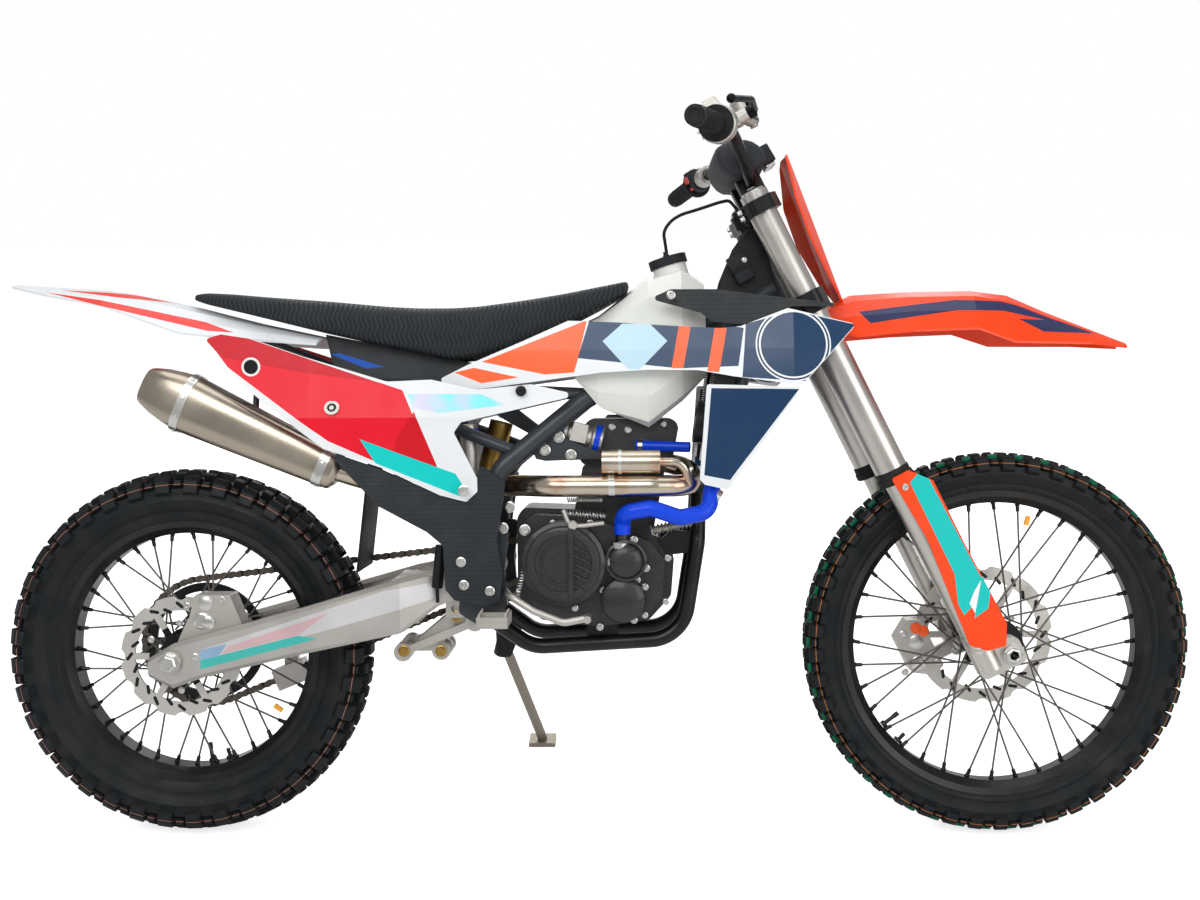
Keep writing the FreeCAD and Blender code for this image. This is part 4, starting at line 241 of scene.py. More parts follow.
def brick(bm, middle, ways, sizes, taper=1.0):
    """A block with three directions and full sizes; its last face may taper."""
    a, b, c = (Vector(w).normalized() for w in ways)
    corners = []
    for k in (-1, 1):
        shrink = taper if k > 0 else 1.0
        for i, j in ((-1, -1), (1, -1), (1, 1), (-1, 1)):
            wide, deep = i * sizes[0] / 2 * shrink, j * sizes[1] / 2 * shrink
            corners.append(bm.verts.new(Vector(middle) + a * wide + b * deep + c * (k * sizes[2] / 2)))
    capped(bm, [corners[:4], corners[4:]])


def close_mesh(bm):
    """Merges doubles and turns every face outwards."""
    bmesh.ops.remove_doubles(bm, verts=bm.verts, dist=0.001)
    bmesh.ops.recalc_face_normals(bm, faces=bm.faces)


def piece(name, bm, body, finish, smooth=38.0, bevel=0.0, replaces=(), slot=None, subdivide=0):
    """Makes a finished piece of the bike from a mesh in upright millimetres."""
    close_mesh(bm)
    mesh = bpy.data.meshes.new(name)
    bm.to_mesh(mesh)
    bm.free()
    return mesh_piece(name, mesh, body, finish, smooth, bevel, replaces, subdivide)


def mesh_piece(name, mesh, body, finish, smooth=38.0, bevel=0.0, replaces=(), subdivide=0):
    """Leans the mesh with the bike, gives it its finish and edges, and makes it ride its body."""
    mesh.transform(LEANING)
    mesh.name = name
    if len(mesh.materials) == 0:
        mesh.materials.append(FINISHES[finish])
    mesh.shade_smooth()
    if smooth < 180 and not subdivide:
        mesh.set_sharp_from_angle(angle=math.radians(smooth))
    thing = bpy.data.objects.new(name, mesh)
    bpy.context.scene.collection.objects.link(thing)
    if bevel:
        edge = thing.modifiers.new("Edges", "BEVEL")
        edge.width = bevel / 1000
        edge.segments = 2
        edge.limit_method = "ANGLE"
        edge.angle_limit = math.radians(BEVEL_FROM)
    if subdivide:
        smoother = thing.modifiers.new("Smooth", "SUBSURF")
        smoother.levels = subdivide
        smoother.render_levels = subdivide
    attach(thing, body)
    if replaces:
        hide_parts(*replaces)
    return thing


# Copies over many places, by Geometry Nodes


def add_node(tree, kind, inputs=None, **settings):
    """A new node with its settings, and its input values or the sockets that feed them."""
    node = tree.nodes.new(kind)
    for name, value in settings.items():
        setattr(node, name, value)
    for name, value in (inputs or {}).items():
        if isinstance(value, bpy.types.NodeSocket):
            tree.links.new(value, node.inputs[name])
        else:
            node.inputs[name].default_value = value
    return node


def copies_tree():
    """A node tree that puts a copy of one piece at every vertex of the mesh it is on."""
    tree = bpy.data.node_groups.new("Copies at places", "GeometryNodeTree")
    face = tree.interface
    face.new_socket("Geometry", in_out="INPUT", socket_type="NodeSocketGeometry")
    source = face.new_socket("Piece", in_out="INPUT", socket_type="NodeSocketObject")
    finish = face.new_socket("Finish", in_out="INPUT", socket_type="NodeSocketMaterial")
    face.new_socket("Geometry", in_out="OUTPUT", socket_type="NodeSocketGeometry")
    start, end = tree.nodes.new("NodeGroupInput"), tree.nodes.new("NodeGroupOutput")
    thing = add_node(tree, "GeometryNodeObjectInfo", {"Object": start.outputs["Piece"]})
    outward, ahead = (add_node(tree, "GeometryNodeInputNamedAttribute", {"Name": label}, data_type="FLOAT_VECTOR")
                      for label in ("outward", "ahead"))
    stand = add_node(tree, "FunctionNodeAlignRotationToVector", {"Vector": outward.outputs["Attribute"]}, axis="Z")
    turn = add_node(tree, "FunctionNodeAlignRotationToVector",
                    {"Rotation": stand.outputs["Rotation"], "Vector": ahead.outputs["Attribute"]}, axis="X",
                    pivot_axis="Z")
    place = add_node(tree, "GeometryNodeInstanceOnPoints", {"Points": start.outputs["Geometry"],
                                                            "Instance": thing.outputs["Geometry"],
                                                            "Rotation": turn.outputs["Rotation"]})
    solid = add_node(tree, "GeometryNodeRealizeInstances", {"Geometry": place.outputs["Instances"]})
    paint = add_node(tree, "GeometryNodeSetMaterial", {"Geometry": solid.outputs["Geometry"],
                                                       "Material": start.outputs["Finish"]})
    tree.links.new(paint.outputs["Geometry"], end.inputs["Geometry"])
    tree["sockets"] = [source.identifier, finish.identifier]
    return tree


def copies(name, pattern, places, body, finish, smooth=38.0, replaces=()):
    """Repeats the pattern, made about its origin with Z outward, at (spot, outward, ahead) places."""
    close_mesh(pattern)
    source_mesh = bpy.data.meshes.new(name + "_pattern")
    pattern.to_mesh(source_mesh)
    pattern.free()
    source = bpy.data.objects.new(name + "_pattern", source_mesh)
    bpy.context.scene.collection.objects.link(source)
    spots = bpy.data.meshes.new(name + "_spots")
    spots.from_pydata([tuple(spot) for spot, _, _ in places], [], [])
    for label, index in (("outward", 1), ("ahead", 2)):
        field = spots.attributes.new(label, "FLOAT_VECTOR", "POINT")
        for i, entry in enumerate(places):
            field.data[i].vector = Vector(entry[index]).normalized()
    carrier = bpy.data.objects.new(name + "_spots", spots)
    bpy.context.scene.collection.objects.link(carrier)
    tree = bpy.data.node_groups.get("Copies at places") or copies_tree()
    piece_id, finish_id = tree["sockets"]
    nodes = carrier.modifiers.new("Copies", "NODES")
    nodes.node_group = tree
    nodes[piece_id] = source
    nodes[finish_id] = FINISHES[finish]
    bpy.context.view_layer.update()
    result = bpy.data.meshes.new_from_object(carrier.evaluated_get(bpy.context.evaluated_depsgraph_get()))
    carrier.modifiers.clear()
    bpy.data.objects.remove(carrier)
    bpy.data.objects.remove(source)
    for label in ("outward", "ahead"):
        if label in result.attributes:
            result.attributes.remove(result.attributes[label])
    return mesh_piece(name, result, body, finish, smooth, 0.0, replaces)


# Finishes

DUST = "8d8478"
COAT_ROUGHNESS = 0.08
BRIGHTNESS_DRIFT = 0.18
VECTOR, FLOAT = "NodeSocketVector", "NodeSocketFloat"
LINE_SOCKETS = ("X", "Z", "From X", "From Z", "To X", "To Z")


def group(name, inputs, outputs):
    """An empty shader node group with named inputs and outputs."""
    tree = bpy.data.node_groups.new(name, "ShaderNodeTree")
    for label, kind, value in inputs:
        socket = tree.interface.new_socket(label, in_out="INPUT", socket_type=kind)
        if value is not None:
            socket.default_value = value
    for label, kind in outputs:
        tree.interface.new_socket(label, in_out="OUTPUT", socket_type=kind)
    return tree, tree.nodes.new("NodeGroupInput"), tree.nodes.new("NodeGroupOutput")


def wire(tree, source, target):
    """Links an output to an input."""
    tree.links.new(source, target)


def math_node(tree, operation, *values, clamp=False):
    """A sum of numbers and sockets, as its output."""
    return add_node(tree, "ShaderNodeMath", dict(enumerate(values)), operation=operation, use_clamp=clamp).outputs[0]


def upright_group():
    """Turns Object coordinates back to the upright bike's millimetres."""
    tree, start, end = group("Upright place", [("Object", VECTOR, None)],
                             [("Place", VECTOR), ("X", FLOAT), ("Y", FLOAT), ("Z", FLOAT)])
    moved = add_node(tree, "ShaderNodeVectorMath", {0: start.outputs[0], 1: SHIFT}, operation="SUBTRACT")
    turned = add_node(tree, "ShaderNodeVectorRotate", {"Vector": moved.outputs[0], "Angle": LEAN},
                      rotation_type="X_AXIS")
    grown = add_node(tree, "ShaderNodeVectorMath", {0: turned.outputs[0], "Scale": 1000.0}, operation="SCALE")
    parts = add_node(tree, "ShaderNodeSeparateXYZ", {0: grown.outputs[0]})
    wire(tree, grown.outputs[0], end.inputs["Place"])
    for axis in "XYZ":
        wire(tree, parts.outputs[axis], end.inputs[axis])
    return tree


def past_line_group():
    """1 to the left of the line from one point to another, seen from the right side of the bike."""
    inputs = [(label, FLOAT, 1.0 if label == "To X" else 0.0) for label in LINE_SOCKETS]
    tree, start, end = group("Past line", inputs, [("Mask", FLOAT)])
    x, z, from_x, from_z, to_x, to_z = start.outputs[:6]
    pairs = ((to_x, from_x), (to_z, from_z), (x, from_x), (z, from_z))
    run, rise, here, over = (math_node(tree, "SUBTRACT", a, b) for a, b in pairs)
    side = math_node(tree, "SUBTRACT", math_node(tree, "MULTIPLY", run, over),
                     math_node(tree, "MULTIPLY", rise, here))
    wire(tree, math_node(tree, "GREATER_THAN", side, 0.0), end.inputs[0])
    return tree


def grain_group():
    """Fine moulded or cast grain: a height for Bump and a tone for roughness."""
    tree, start, end = group("Surface grain", [("Place", VECTOR, None), ("Scale", FLOAT, 1.0),
                                               ("Rough low", FLOAT, 0.4), ("Rough high", FLOAT, 0.6)],
                             [("Height", FLOAT), ("Roughness", FLOAT), ("Tone", FLOAT)])
    place, scale, rough_low, rough_high = start.outputs[:4]
    fine = add_node(tree, "ShaderNodeTexNoise", {"Vector": place, "Scale": scale, "Detail": 4.0})
    broad = add_node(tree, "ShaderNodeTexNoise", {"Vector": place, "Scale": 0.012, "Detail": 3.0})
    spread = add_node(tree, "ShaderNodeMapRange", {"Value": broad.outputs["Fac"], "From Min": 0.3, "From Max": 0.7,
                                                   "To Min": rough_low, "To Max": rough_high})
    wire(tree, fine.outputs["Fac"], end.inputs["Height"])
    wire(tree, spread.outputs[0], end.inputs["Roughness"])
    wire(tree, broad.outputs["Fac"], end.inputs["Tone"])
    return tree


def dust_group():
    """Blends a pale dust into a colour in soft patches."""
    tree, start, end = group("Road dust", [("Place", VECTOR, None), ("Colour", "NodeSocketColor", (0.5, 0.5, 0.5, 1)),
                                           ("Amount", FLOAT, 0.1)],
                             [("Colour", "NodeSocketColor"), ("Mask", FLOAT)])
    place, colour, amount = start.outputs[:3]
    cloud = add_node(tree, "ShaderNodeTexNoise", {"Vector": place, "Scale": 0.02, "Detail": 6.0})
    patch = add_node(tree, "ShaderNodeMapRange", {"Value": cloud.outputs["Fac"], "From Min": 0.45, "From Max": 0.75})
    mask = math_node(tree, "MULTIPLY", patch.outputs[0], amount)
    mix = add_node(tree, "ShaderNodeMix", {0: mask, 6: colour, 7: tone(DUST)}, data_type="RGBA")
    wire(tree, mix.outputs[2], end.inputs[0])
    wire(tree, mask, end.inputs[1])
    return tree


GROUPS = {}


def shared(label):
    """The shared group of that name, made the first time it is asked for."""
    makers = {"upright": upright_group, "past": past_line_group, "grain": grain_group, "dust": dust_group}
    if label not in GROUPS:
        GROUPS[label] = makers[label]()
    return GROUPS[label]


class Finish:
    """A material while its nodes are being laid out."""

    def __init__(self, name, colour, rough=0.5, metallic=0.0, coat=0.0, grain=0.0, grain_scale=1.0, spread=0.08,
                 dust=0.0, shine=0.5):
        self.material = bpy.data.materials.new(name)
        self.material.use_nodes = True
        self.material.diffuse_color = tone(colour)
        self.tree = self.material.node_tree
        self.tree.nodes.clear()
        out = self.node("ShaderNodeOutputMaterial")
        self.shader = self.node("ShaderNodeBsdfPrincipled", {"Base Color": tone(colour), "Metallic": metallic,
                                                             "Coat Weight": coat,
                                                             "Coat Roughness": COAT_ROUGHNESS,
                                                             "Specular IOR Level": shine})
        wire(self.tree, self.shader.outputs[0], out.inputs["Surface"])
        coordinates = self.node("ShaderNodeTexCoord")
        upright = self.node("ShaderNodeGroup", {0: coordinates.outputs["Object"]}, node_tree=shared("upright"))
        self.place, self.x, self.y, self.z = upright.outputs[:4]
        surface = self.node("ShaderNodeGroup", {"Scale": grain_scale, "Rough low": max(0.02, rough - spread),
                                                "Rough high": min(1.0, rough + spread),
                                                "Place": self.place}, node_tree=shared("grain"))
        wire(self.tree, surface.outputs["Roughness"], self.shader.inputs["Roughness"])
        self.heights = [(surface.outputs["Height"], grain)] if grain else []
        self.dust = dust
        brightness = self.math("MULTIPLY_ADD", surface.outputs["Tone"], BRIGHTNESS_DRIFT, 1.0 - BRIGHTNESS_DRIFT / 2)
        plain = self.mix(0.0, tone(colour), tone(colour))
        self.colour = self.node("ShaderNodeHueSaturation", {"Value": brightness, "Color": plain}).outputs[0]

    def node(self, kind, inputs=None, **settings):
        """A new node of this material."""
        return add_node(self.tree, kind, inputs, **settings)

    def math(self, operation, *values, clamp=False):
        """A sum of numbers and sockets in this material."""
        return math_node(self.tree, operation, *values, clamp=clamp)

    def mix(self, mask, low, high):
        """The first colour where the mask is 0 and the second where it is 1."""
        return self.node("ShaderNodeMix", {0: mask, 6: low, 7: high}, data_type="RGBA").outputs[2]

    def over(self, colour, mask):
        """Paints a colour, as a code or a socket, where the mask is 1."""
        self.colour = self.mix(mask, self.colour, colour if isinstance(colour,
                                                                       bpy.types.NodeSocket) else tone(colour))

    def past(self, first, second):
        """A mask for one side of the line through two places."""
        values = dict(zip(LINE_SOCKETS, (self.x, self.z, *first, *second)))
        return self.node("ShaderNodeGroup", values, node_tree=shared("past")).outputs[0]

    def inside(self, corners):
        """A mask for a convex outline in X and Z, its corners clockwise or not."""
        area = sum(a[0] * b[1] - b[0] * a[1] for a, b in zip(corners, corners[1:] + corners[:1]))
        if area < 0:
            corners = corners[::-1]
        mask = None
        for a, b in zip(corners, corners[1:] + corners[:1]):
            edge = self.past(a, b)
            mask = edge if mask is None else self.math("MULTIPLY", mask, edge)
        return mask

    def seen_inside(self, pixels, y):
        """A mask for a convex outline whose corners are read from the photograph."""
        return self.inside([side_place(u, v, y) for u, v in pixels])

    def patch(self, pixels, colour, y):
        """Paints a convex patch whose corners are read from the photograph."""
        self.over(colour, self.seen_inside(pixels, y))

    def between(self, value, low, high):
        """A mask for values between two limits."""
        return self.math("MULTIPLY", self.math("GREATER_THAN", value, low), self.math("LESS_THAN", value, high))

    def reach(self, x, z):
        """Distance from a line along Y through (x, z)."""
        a = self.math("SUBTRACT", self.x, x)
        b = self.math("SUBTRACT", self.z, z)
        return self.math("SQRT", self.math("ADD", self.math("MULTIPLY", a, a), self.math("MULTIPLY", b, b)))

    def brushed(self, stretch, scale, depth):
        """Adds fine lines that run along the axis with the small stretch."""
        shape = self.node("ShaderNodeMapping", {"Scale": stretch, "Vector": self.place})
        lines = self.node("ShaderNodeTexNoise", {"Scale": scale, "Detail": 5.0, "Vector": shape.outputs[0]})
        self.heights.append((lines.outputs["Fac"], depth))

    def done(self):
        """Links colour, dust and bump, and hands the material over."""
        if self.dust:
            dusty = self.node("ShaderNodeGroup", {"Amount": self.dust, "Place": self.place, "Colour": self.colour},
                              node_tree=shared("dust"))
            self.colour = dusty.outputs[0]
        wire(self.tree, self.colour, self.shader.inputs["Base Color"])
        total = None
        for height, depth in self.heights:
            part = self.math("MULTIPLY", height, depth)
            total = part if total is None else self.math("ADD", total, part)
        if total is not None:
            bump = self.node("ShaderNodeBump", {"Strength": 1.0, "Distance": 0.001, "Height": total})
            wire(self.tree, bump.outputs[0], self.shader.inputs["Normal"])
        return self.material


FINISHES = {}


PLAIN_FINISHES = {
    "black_metal": ("Black frame paint", "0d0e10", 0.33, dict(coat=0.12, grain=0.12, dust=0.03, shine=0.3)),
    "alloy": ("Cast alloy", "c3bfb8", 0.42, dict(metallic=0.9, grain=0.3, grain_scale=0.9, dust=0.1)),
    "bolt": ("Zinc bolts", "d9d7d2", 0.3, dict(metallic=1.0, grain=0.1, grain_scale=2.0)),
    "dark_bolt": ("Dark bolts", "2c2c2e", 0.4, dict(metallic=0.8, grain=0.1, grain_scale=2.0)),
    "gold_bolt": ("Yellow passivated bolts", "b08d4a", 0.35, dict(metallic=1.0, grain=0.1, grain_scale=2.0)),
    "chain_steel": ("Chain steel", "6b635a", 0.42, dict(metallic=0.95, grain=0.25, grain_scale=2.0, dust=0.35)),
    "black_plastic": ("Textured black plastic", "1d2125", 0.58,
                      dict(grain=0.5, grain_scale=1.3, dust=0.05, shine=0.3)),
    "engine_black": ("Black engine enamel", "0e0f11", 0.27, dict(coat=0.35, grain=0.45, grain_scale=1.6, dust=0.04)),
    "rubber": ("Black rubber", "131517", 0.62, dict(grain=0.3, grain_scale=1.5, dust=0.06, shine=0.25)),
    "tank_plastic": ("Milky tank plastic", "e4e6df", 0.38, dict(coat=0.2, grain=0.15, grain_scale=0.5, dust=0.02)),
    "pad": ("Bar pad foam", "22262c", 0.62, dict(grain=0.5, grain_scale=1.4, spread=0.06, dust=0.03)),
    "red_plastic": ("Red plastic", "c41a1c", 0.4, dict(coat=0.2, grain=0.1)),
    "orange_plain": ("Orange plastic", "ff5a0a", 0.34, dict(coat=0.3, grain=0.1, grain_scale=0.8)),
    "tag": ("Yellow balance tag", "f6a81c", 0.35, dict(coat=0.2, grain=0.1)),
    "brown_leg": ("Stand leg paint", "8d8577", 0.4, dict(metallic=0.6, grain=0.2, dust=0.1)),
    "white_plastic": ("White plastic", "f2f3f2", 0.33, dict(coat=0.3, grain=0.08, grain_scale=0.6)),
    "tyre": ("Tyre rubber", "25292c", 0.68, dict(grain=0.7, grain_scale=0.5, spread=0.14, dust=0.10)),
}


def plain_finishes(colours):
    """The finishes that carry no pattern."""
    for key, (name, colour, rough, more) in PLAIN_FINISHES.items():
        FINISHES[key] = Finish(name, colour, rough, **more).done()
    FINISHES["frame"] = Finish("Frame grey paint", colours.frame, 0.42, coat=0.15, grain=0.15, grain_scale=1.2,
                               dust=0.04, shine=0.35).done()
    FINISHES["blue_rubber"] = Finish("Blue silicone hose", colours.hose, 0.34, coat=0.08, grain=0.4, grain_scale=0.25,
                                     shine=0.25).done()


def patterned_finishes(colours):
    """The finishes with brushed lines, weld tints and moulded textures, and the painted highlight on the seat's ribs.
    """
    made = FINISHES
    machined = Finish("Machined alloy", "d6d4d0", 0.27, 1.0)
    machined.brushed((1.0, 0.05, 1.0), 0.9, 0.08)
    made["machined"] = machined.done()

    rim = Finish("Rim and spokes", "0c0d0e", 0.3, 0.3, 0.15, grain=0.1, dust=0.05)
    for wheel in WHEELS:
        rim.over("5a5650", rim.math("LESS_THAN", rim.reach(wheel.x, wheel.z), wheel.rim_radius - 42))
    made["rim_black"] = rim.done()

    hub = Finish("Hub and disc", "1b1c1e", 0.36, 0.7, grain=0.15, dust=0.06)
    for wheel in WHEELS:
        side = hub.between(hub.y, wheel.disc_y - 4, wheel.disc_y + 4)
        out = hub.math("GREATER_THAN", hub.reach(wheel.x, wheel.z), 58.0)
        near = hub.math("LESS_THAN", hub.reach(wheel.x, wheel.z), 200.0)
        hub.over("cfcbc4", hub.math("MULTIPLY", side, hub.math("MULTIPLY", out, near)))
    made["hub"] = hub.done()

    levers = Finish("Bar controls", "c3bfb8", 0.4, 0.9, grain=0.3, grain_scale=0.9, dust=0.05)
    along = levers.math("MULTIPLY", levers.x, AHEAD.x)
    ahead = levers.math("SUBTRACT", levers.math("MULTIPLY_ADD", levers.z, AHEAD.z, along), LEG_FOOT.dot(AHEAD))
    sweep = 74 / 215
    bar_ahead = levers.math("MULTIPLY_ADD", levers.math("ABSOLUTE", levers.y), -sweep,
                            BAR_END * sweep + BAR_END_AHEAD)
    levers.over("141517", levers.math("GREATER_THAN", levers.math("SUBTRACT", ahead, bar_ahead), 46.0))
    made["controls"] = levers.done()

    fork = Finish("Fork legs", "cbc7c0", 0.33, 0.95, spread=0.04)
    fork.brushed((1.0, 1.0, 0.3), 0.9, 0.012)
    made["fork"] = fork.done()

    steel = Finish("Brushed stainless", "b3a898", 0.26, 1.0, spread=0.07)
    steel.brushed((0.05, 1.0, 0.4), 0.8, 0.06)
    made["muffler"] = steel.done()

    header = Finish("Heat tinted stainless", "c8bcaa", 0.22, 1.0, grain=0.08, grain_scale=0.8, spread=0.07)
    for u, v in ((513, 490), (558, 483), (598, 470), (620, 482), (700, 488), (660, 465), (680, 481), (360, 482)):
        header.over("b4693a", tinted(header, *side_place(u, v, -150), 26.0))
    made["steel"] = header.done()

    seat = Finish("Ribbed seat vinyl", colours.seat, 0.62, grain=0.3, grain_scale=1.2, spread=0.06, dust=0.03,
                  shine=0.3)
    sway = seat.math("SINE", seat.math("MULTIPLY", seat.z, 0.2))
    moved = seat.node("ShaderNodeCombineXYZ", {"X": seat.math("MULTIPLY_ADD", sway, 2.4, seat.x)})
    bend = seat.node("ShaderNodeTexWave", {"Scale": 0.037, "Vector": moved.outputs[0]}, wave_type="BANDS",
                     bands_direction="X")
    seat.heights.append((bend.outputs["Fac"], 2.2))
    # The raised rib bands are painted lighter than the grooves: a painted highlight on the rib crests
    seat.over("444b50", seat.math("MULTIPLY", bend.outputs["Fac"], 0.30))
    made["seat"] = seat.done()

    guard = Finish("Dashed black guard", "22272b", 0.52, grain=0.25, grain_scale=1.3, dust=0.05, shine=0.35)
    flat = guard.node("ShaderNodeCombineXYZ", {"X": guard.x, "Y": guard.z})
    dashes = guard.node("ShaderNodeTexBrick", {"Scale": 0.05, "Mortar Size": 0.012, "Brick Width": 0.9,
                                               "Row Height": 0.42,
                                               "Vector": flat.outputs[0]}, offset=0.5)
    guard.heights.append((dashes.outputs["Fac"], -0.6))
    made["guard"] = guard.done()


def tinted(finish, x, z, radius):
    """A soft round patch about (x, z), for the heat tint of a weld."""
    soft = finish.node("ShaderNodeMapRange", {"From Min": radius, "From Max": radius * 0.25, "To Max": 0.75,
                                              "Value": finish.reach(x, z)},
                       interpolation_type="SMOOTHSTEP")
    speckle = finish.node("ShaderNodeTexNoise", {"Scale": 0.12, "Vector": finish.place})
    return finish.math("MULTIPLY", soft.outputs[0], speckle.outputs["Fac"], clamp=True)


def sheen_colour(finish, low, high, scale=0.018):
    """A pale pearl colour that drifts from one tint to another over the panel."""
    cloud = finish.node("ShaderNodeTexNoise", {"Scale": scale, "Detail": 1.0, "Vector": finish.place})
    ramp = finish.node("ShaderNodeValToRGB", {"Fac": cloud.outputs["Fac"]})
    for stop, position, colour in zip(ramp.color_ramp.elements, (0.38, 0.62), (low, high)):
        stop.position = position
        stop.color = tone(colour)
    return ramp.outputs[0]


def gloss(name, colour, rough=0.34, coat=0.15, shine=0.35):
    """The smooth paint of the bodywork."""
    return Finish(name, colour, rough, coat=coat, shine=shine, grain=0.06, grain_scale=0.6)


def painted_finishes(colours):
    """The gloss bodywork with its stripes, colour fields and the fender's painted shade, and no lettering."""
    made = FINISHES
    y = -182
    shroud = gloss("Shroud colours", "e9ecee", 0.32, 0.2)
    orange, navy = colours.orange, colours.navy
    shroud.patch([(478, 361), (586, 318), (577, 358), (573, 372), (543, 374)], orange, y)
    shroud.patch([(450, 372), (470, 367), (516, 377), (478, 383)], orange, y)
    shroud.patch([(588, 319), (702, 320), (745, 327), (738, 374), (680, 368), (573, 372), (577, 356)], navy, y)
    shroud.patch([(590, 318), (704, 320), (745, 327), (744, 331), (702, 324), (589, 322)], orange, y)
    shroud.patch([(602, 340), (622, 322), (650, 322), (668, 340), (640, 369), (628, 369)], "b9d9e8", y)
    shroud.patch([(680, 323), (692, 324), (684, 368), (672, 368)], orange, y)
    shroud.patch([(716, 326), (728, 327), (720, 372), (708, 371)], orange, y)
    shroud.patch([(747, 323), (795, 310), (857, 324), (805, 381), (743, 377)], "12385c", y)
    away = shroud.reach(*side_place(794, 344, y))
    for inner, outer in ((55.0, 58.0), (61.0, 63.5)):
        shroud.over("eef0f1", shroud.between(away, inner, outer))
    shroud.patch([(712, 388), (799, 389), (731, 481), (705, 476)], "10365b", y)
    made["navy_plastic"] = shroud.done()

    y = -160
    panel = gloss("Side panel colours", "e9ebec", 0.36, 0.06, 0.22)
    whole = [(200, 339), (212, 333), (245, 338), (378, 382), (400, 384), (437, 467), (375, 461), (330, 441),
             (225, 367)]
    panel.patch(whole, colours.red, y)
    panel.patch([(204, 341), (245, 340), (378, 383), (330, 441), (225, 367)], colours.red, y)
    panel.patch([(200, 339), (212, 333), (245, 338), (380, 383), (300, 372), (218, 357)], "cc0e20", y)
    panel.patch([(400, 386), (404, 384), (437, 467), (418, 462), (388, 452), (396, 440)], "d21322", y)
    panel.patch([(361, 439), (455, 474), (461, 484), (459, 497), (376, 463)], colours.teal, y)
    pearl = sheen_colour(panel, "dcd8f4", "8eeef4")
    panel.patch(((408, 394), (480, 394), (505, 405), (440, 413), (414, 408)), pearl, y)
    made["panel_plastic"] = panel.done()

    tail = gloss("Tail colours", "e4e7ea")
    tail.patch([(33, 290), (100, 300), (205, 322), (236, 333), (206, 331), (110, 308)], "ea3a34", -100)
    tail.patch([(60, 290), (183, 297), (193, 304), (120, 298)], "ea4130", -60)
    made["white_tail"] = tail.done()

    fender = gloss("Front fender colours", colours.fender)
    for stripe in ([(858, 312), (955, 300), (955, 311), (868, 324)],
                   [(954, 300), (1000, 301), (1002, 311), (954, 311)],
                   [(1000, 301), (1018, 305), (1072, 325), (1002, 311)],
                   [(1017, 319), (1060, 320), (1100, 333), (1042, 332)]):
        fender.patch(stripe, colours.stripe, -60)
    # Painted shade: the orange plastic's middle strip, |y| under 26 mm and behind x 1560, is painted a darker red
    side = fender.math("LESS_THAN", fender.math("ABSOLUTE", fender.y), 26.0)
    back = fender.math("LESS_THAN", fender.x, 1560.0)
    fender.over("c01408", fender.math("MULTIPLY", fender.math("MULTIPLY", side, back), 0.35))
    made["orange_plastic"] = fender.done()

    y = -128
    leg = gloss("Fork guard colours", "fc4606")
    leg.patch([(908, 482), (921, 467), (978, 575), (952, 572)], colours.guard_teal, y)
    leg.patch([(952, 570), (978, 574), (984, 590), (962, 614), (956, 603)], colours.guard_teal, y)
    leg.patch([(978, 575), (984, 590), (973, 612), (966, 600), (972, 590)], "f2f3f2", y)
    leg.patch([(980, 572), (988, 590), (986, 607), (972, 617)], colours.guard_teal, y)
    made["fork_guard"] = leg.done()

    arm = Finish("Swingarm", "c9c5be", 0.36, 0.85, grain=0.25, grain_scale=0.9, dust=0.06)
    arm.brushed((0.06, 1.0, 1.0), 0.7, 0.04)
    outside = arm.math("GREATER_THAN", arm.math("ABSOLUTE", arm.y), 70.0)
    for colour, pixels in (("e9e6e6", ((204, 648), (385, 590), (432, 583), (434, 600), (390, 612), (204, 667))),
                           ("58d8cd", ((204, 658), (300, 634), (320, 637), (204, 667))),
                           ("f0c9cd", ((232, 644), (330, 612), (300, 634), (225, 652))),
                           ("a8c9ea", ((204, 648), (230, 642), (222, 654), (204, 658)))):
        arm.over(colour, arm.math("MULTIPLY", arm.seen_inside(pixels, -105), outside))
    made["swingarm"] = arm.done()

    box = Finish("Airbox colours", "33393d", 0.55, grain=0.4, grain_scale=1.3, dust=0.06)
    box.patch([(323, 353), (332, 352), (378, 366), (360, 368)], "1a62cf", -110)
    made["airbox"] = box.done()


NODE_FINISH = {
    "frame": "frame_head frame_spars subframe",
    "black_metal": "frame_cradle triple_clamps handlebar bar_risers radiators rear_sprocket",
    "guard": "frame_guards top_covers",
    "swingarm": "swingarm",
    "alloy": "linkage footpegs brake_pedal shift_lever rear_caliper front_caliper",
    "controls": "bar_controls",
    "machined": "shock rear_axle front_axle",
    "engine_black": "engine cylinder",
    "steel": "exhaust_header resonator",
    "muffler": "muffler",
    "blue_rubber": "coolant_hose",
    "tank_plastic": "fuel_tank",
    "black_plastic": "tank_cap bar_pad",
    "navy_plastic": "shroud_right shroud_left",
    "seat": "seat",
    "white_tail": "rear_fender",
    "panel_plastic": "side_panel_right side_panel_left",
    "airbox": "airbox",
    "rubber": "mud_flap grips vent_hose",
    "chain_steel": "chain front_sprocket",
    "fork": "fork_tubes",
    "fork_guard": "fork_guards",
    "orange_plastic": "front_fender number_plate",
    "tyre": "front_tyre rear_tyre",
    "rim_black": "front_rim rear_rim",
    "hub": "front_hub rear_hub",
    "brown_leg": "side_stand",
}


def paint_nodes(colours):
    """Gives every CAD node the finish of its own piece."""
    plain_finishes(colours)
    patterned_finishes(colours)
    painted_finishes(colours)
    finish_of = {name: label for label, names in NODE_FINISH.items() for name in names.split()}
    left = [name for name in frame["nodes"] if name not in finish_of]
    if left:
        raise RuntimeError("nodes without a finish: " + ", ".join(left))
    for name, node in frame["nodes"].items():
        node.data.materials.clear()
        node.data.materials.append(FINISHES[finish_of[name]])


# Tyres and wheels


def wheel_spot(x, z, radius, y, angle):
    """A place on a wheel by its radius and angle about the middle, at y across the bike."""
    return Vector((x + radius * math.cos(angle), y, z + radius * math.sin(angle)))


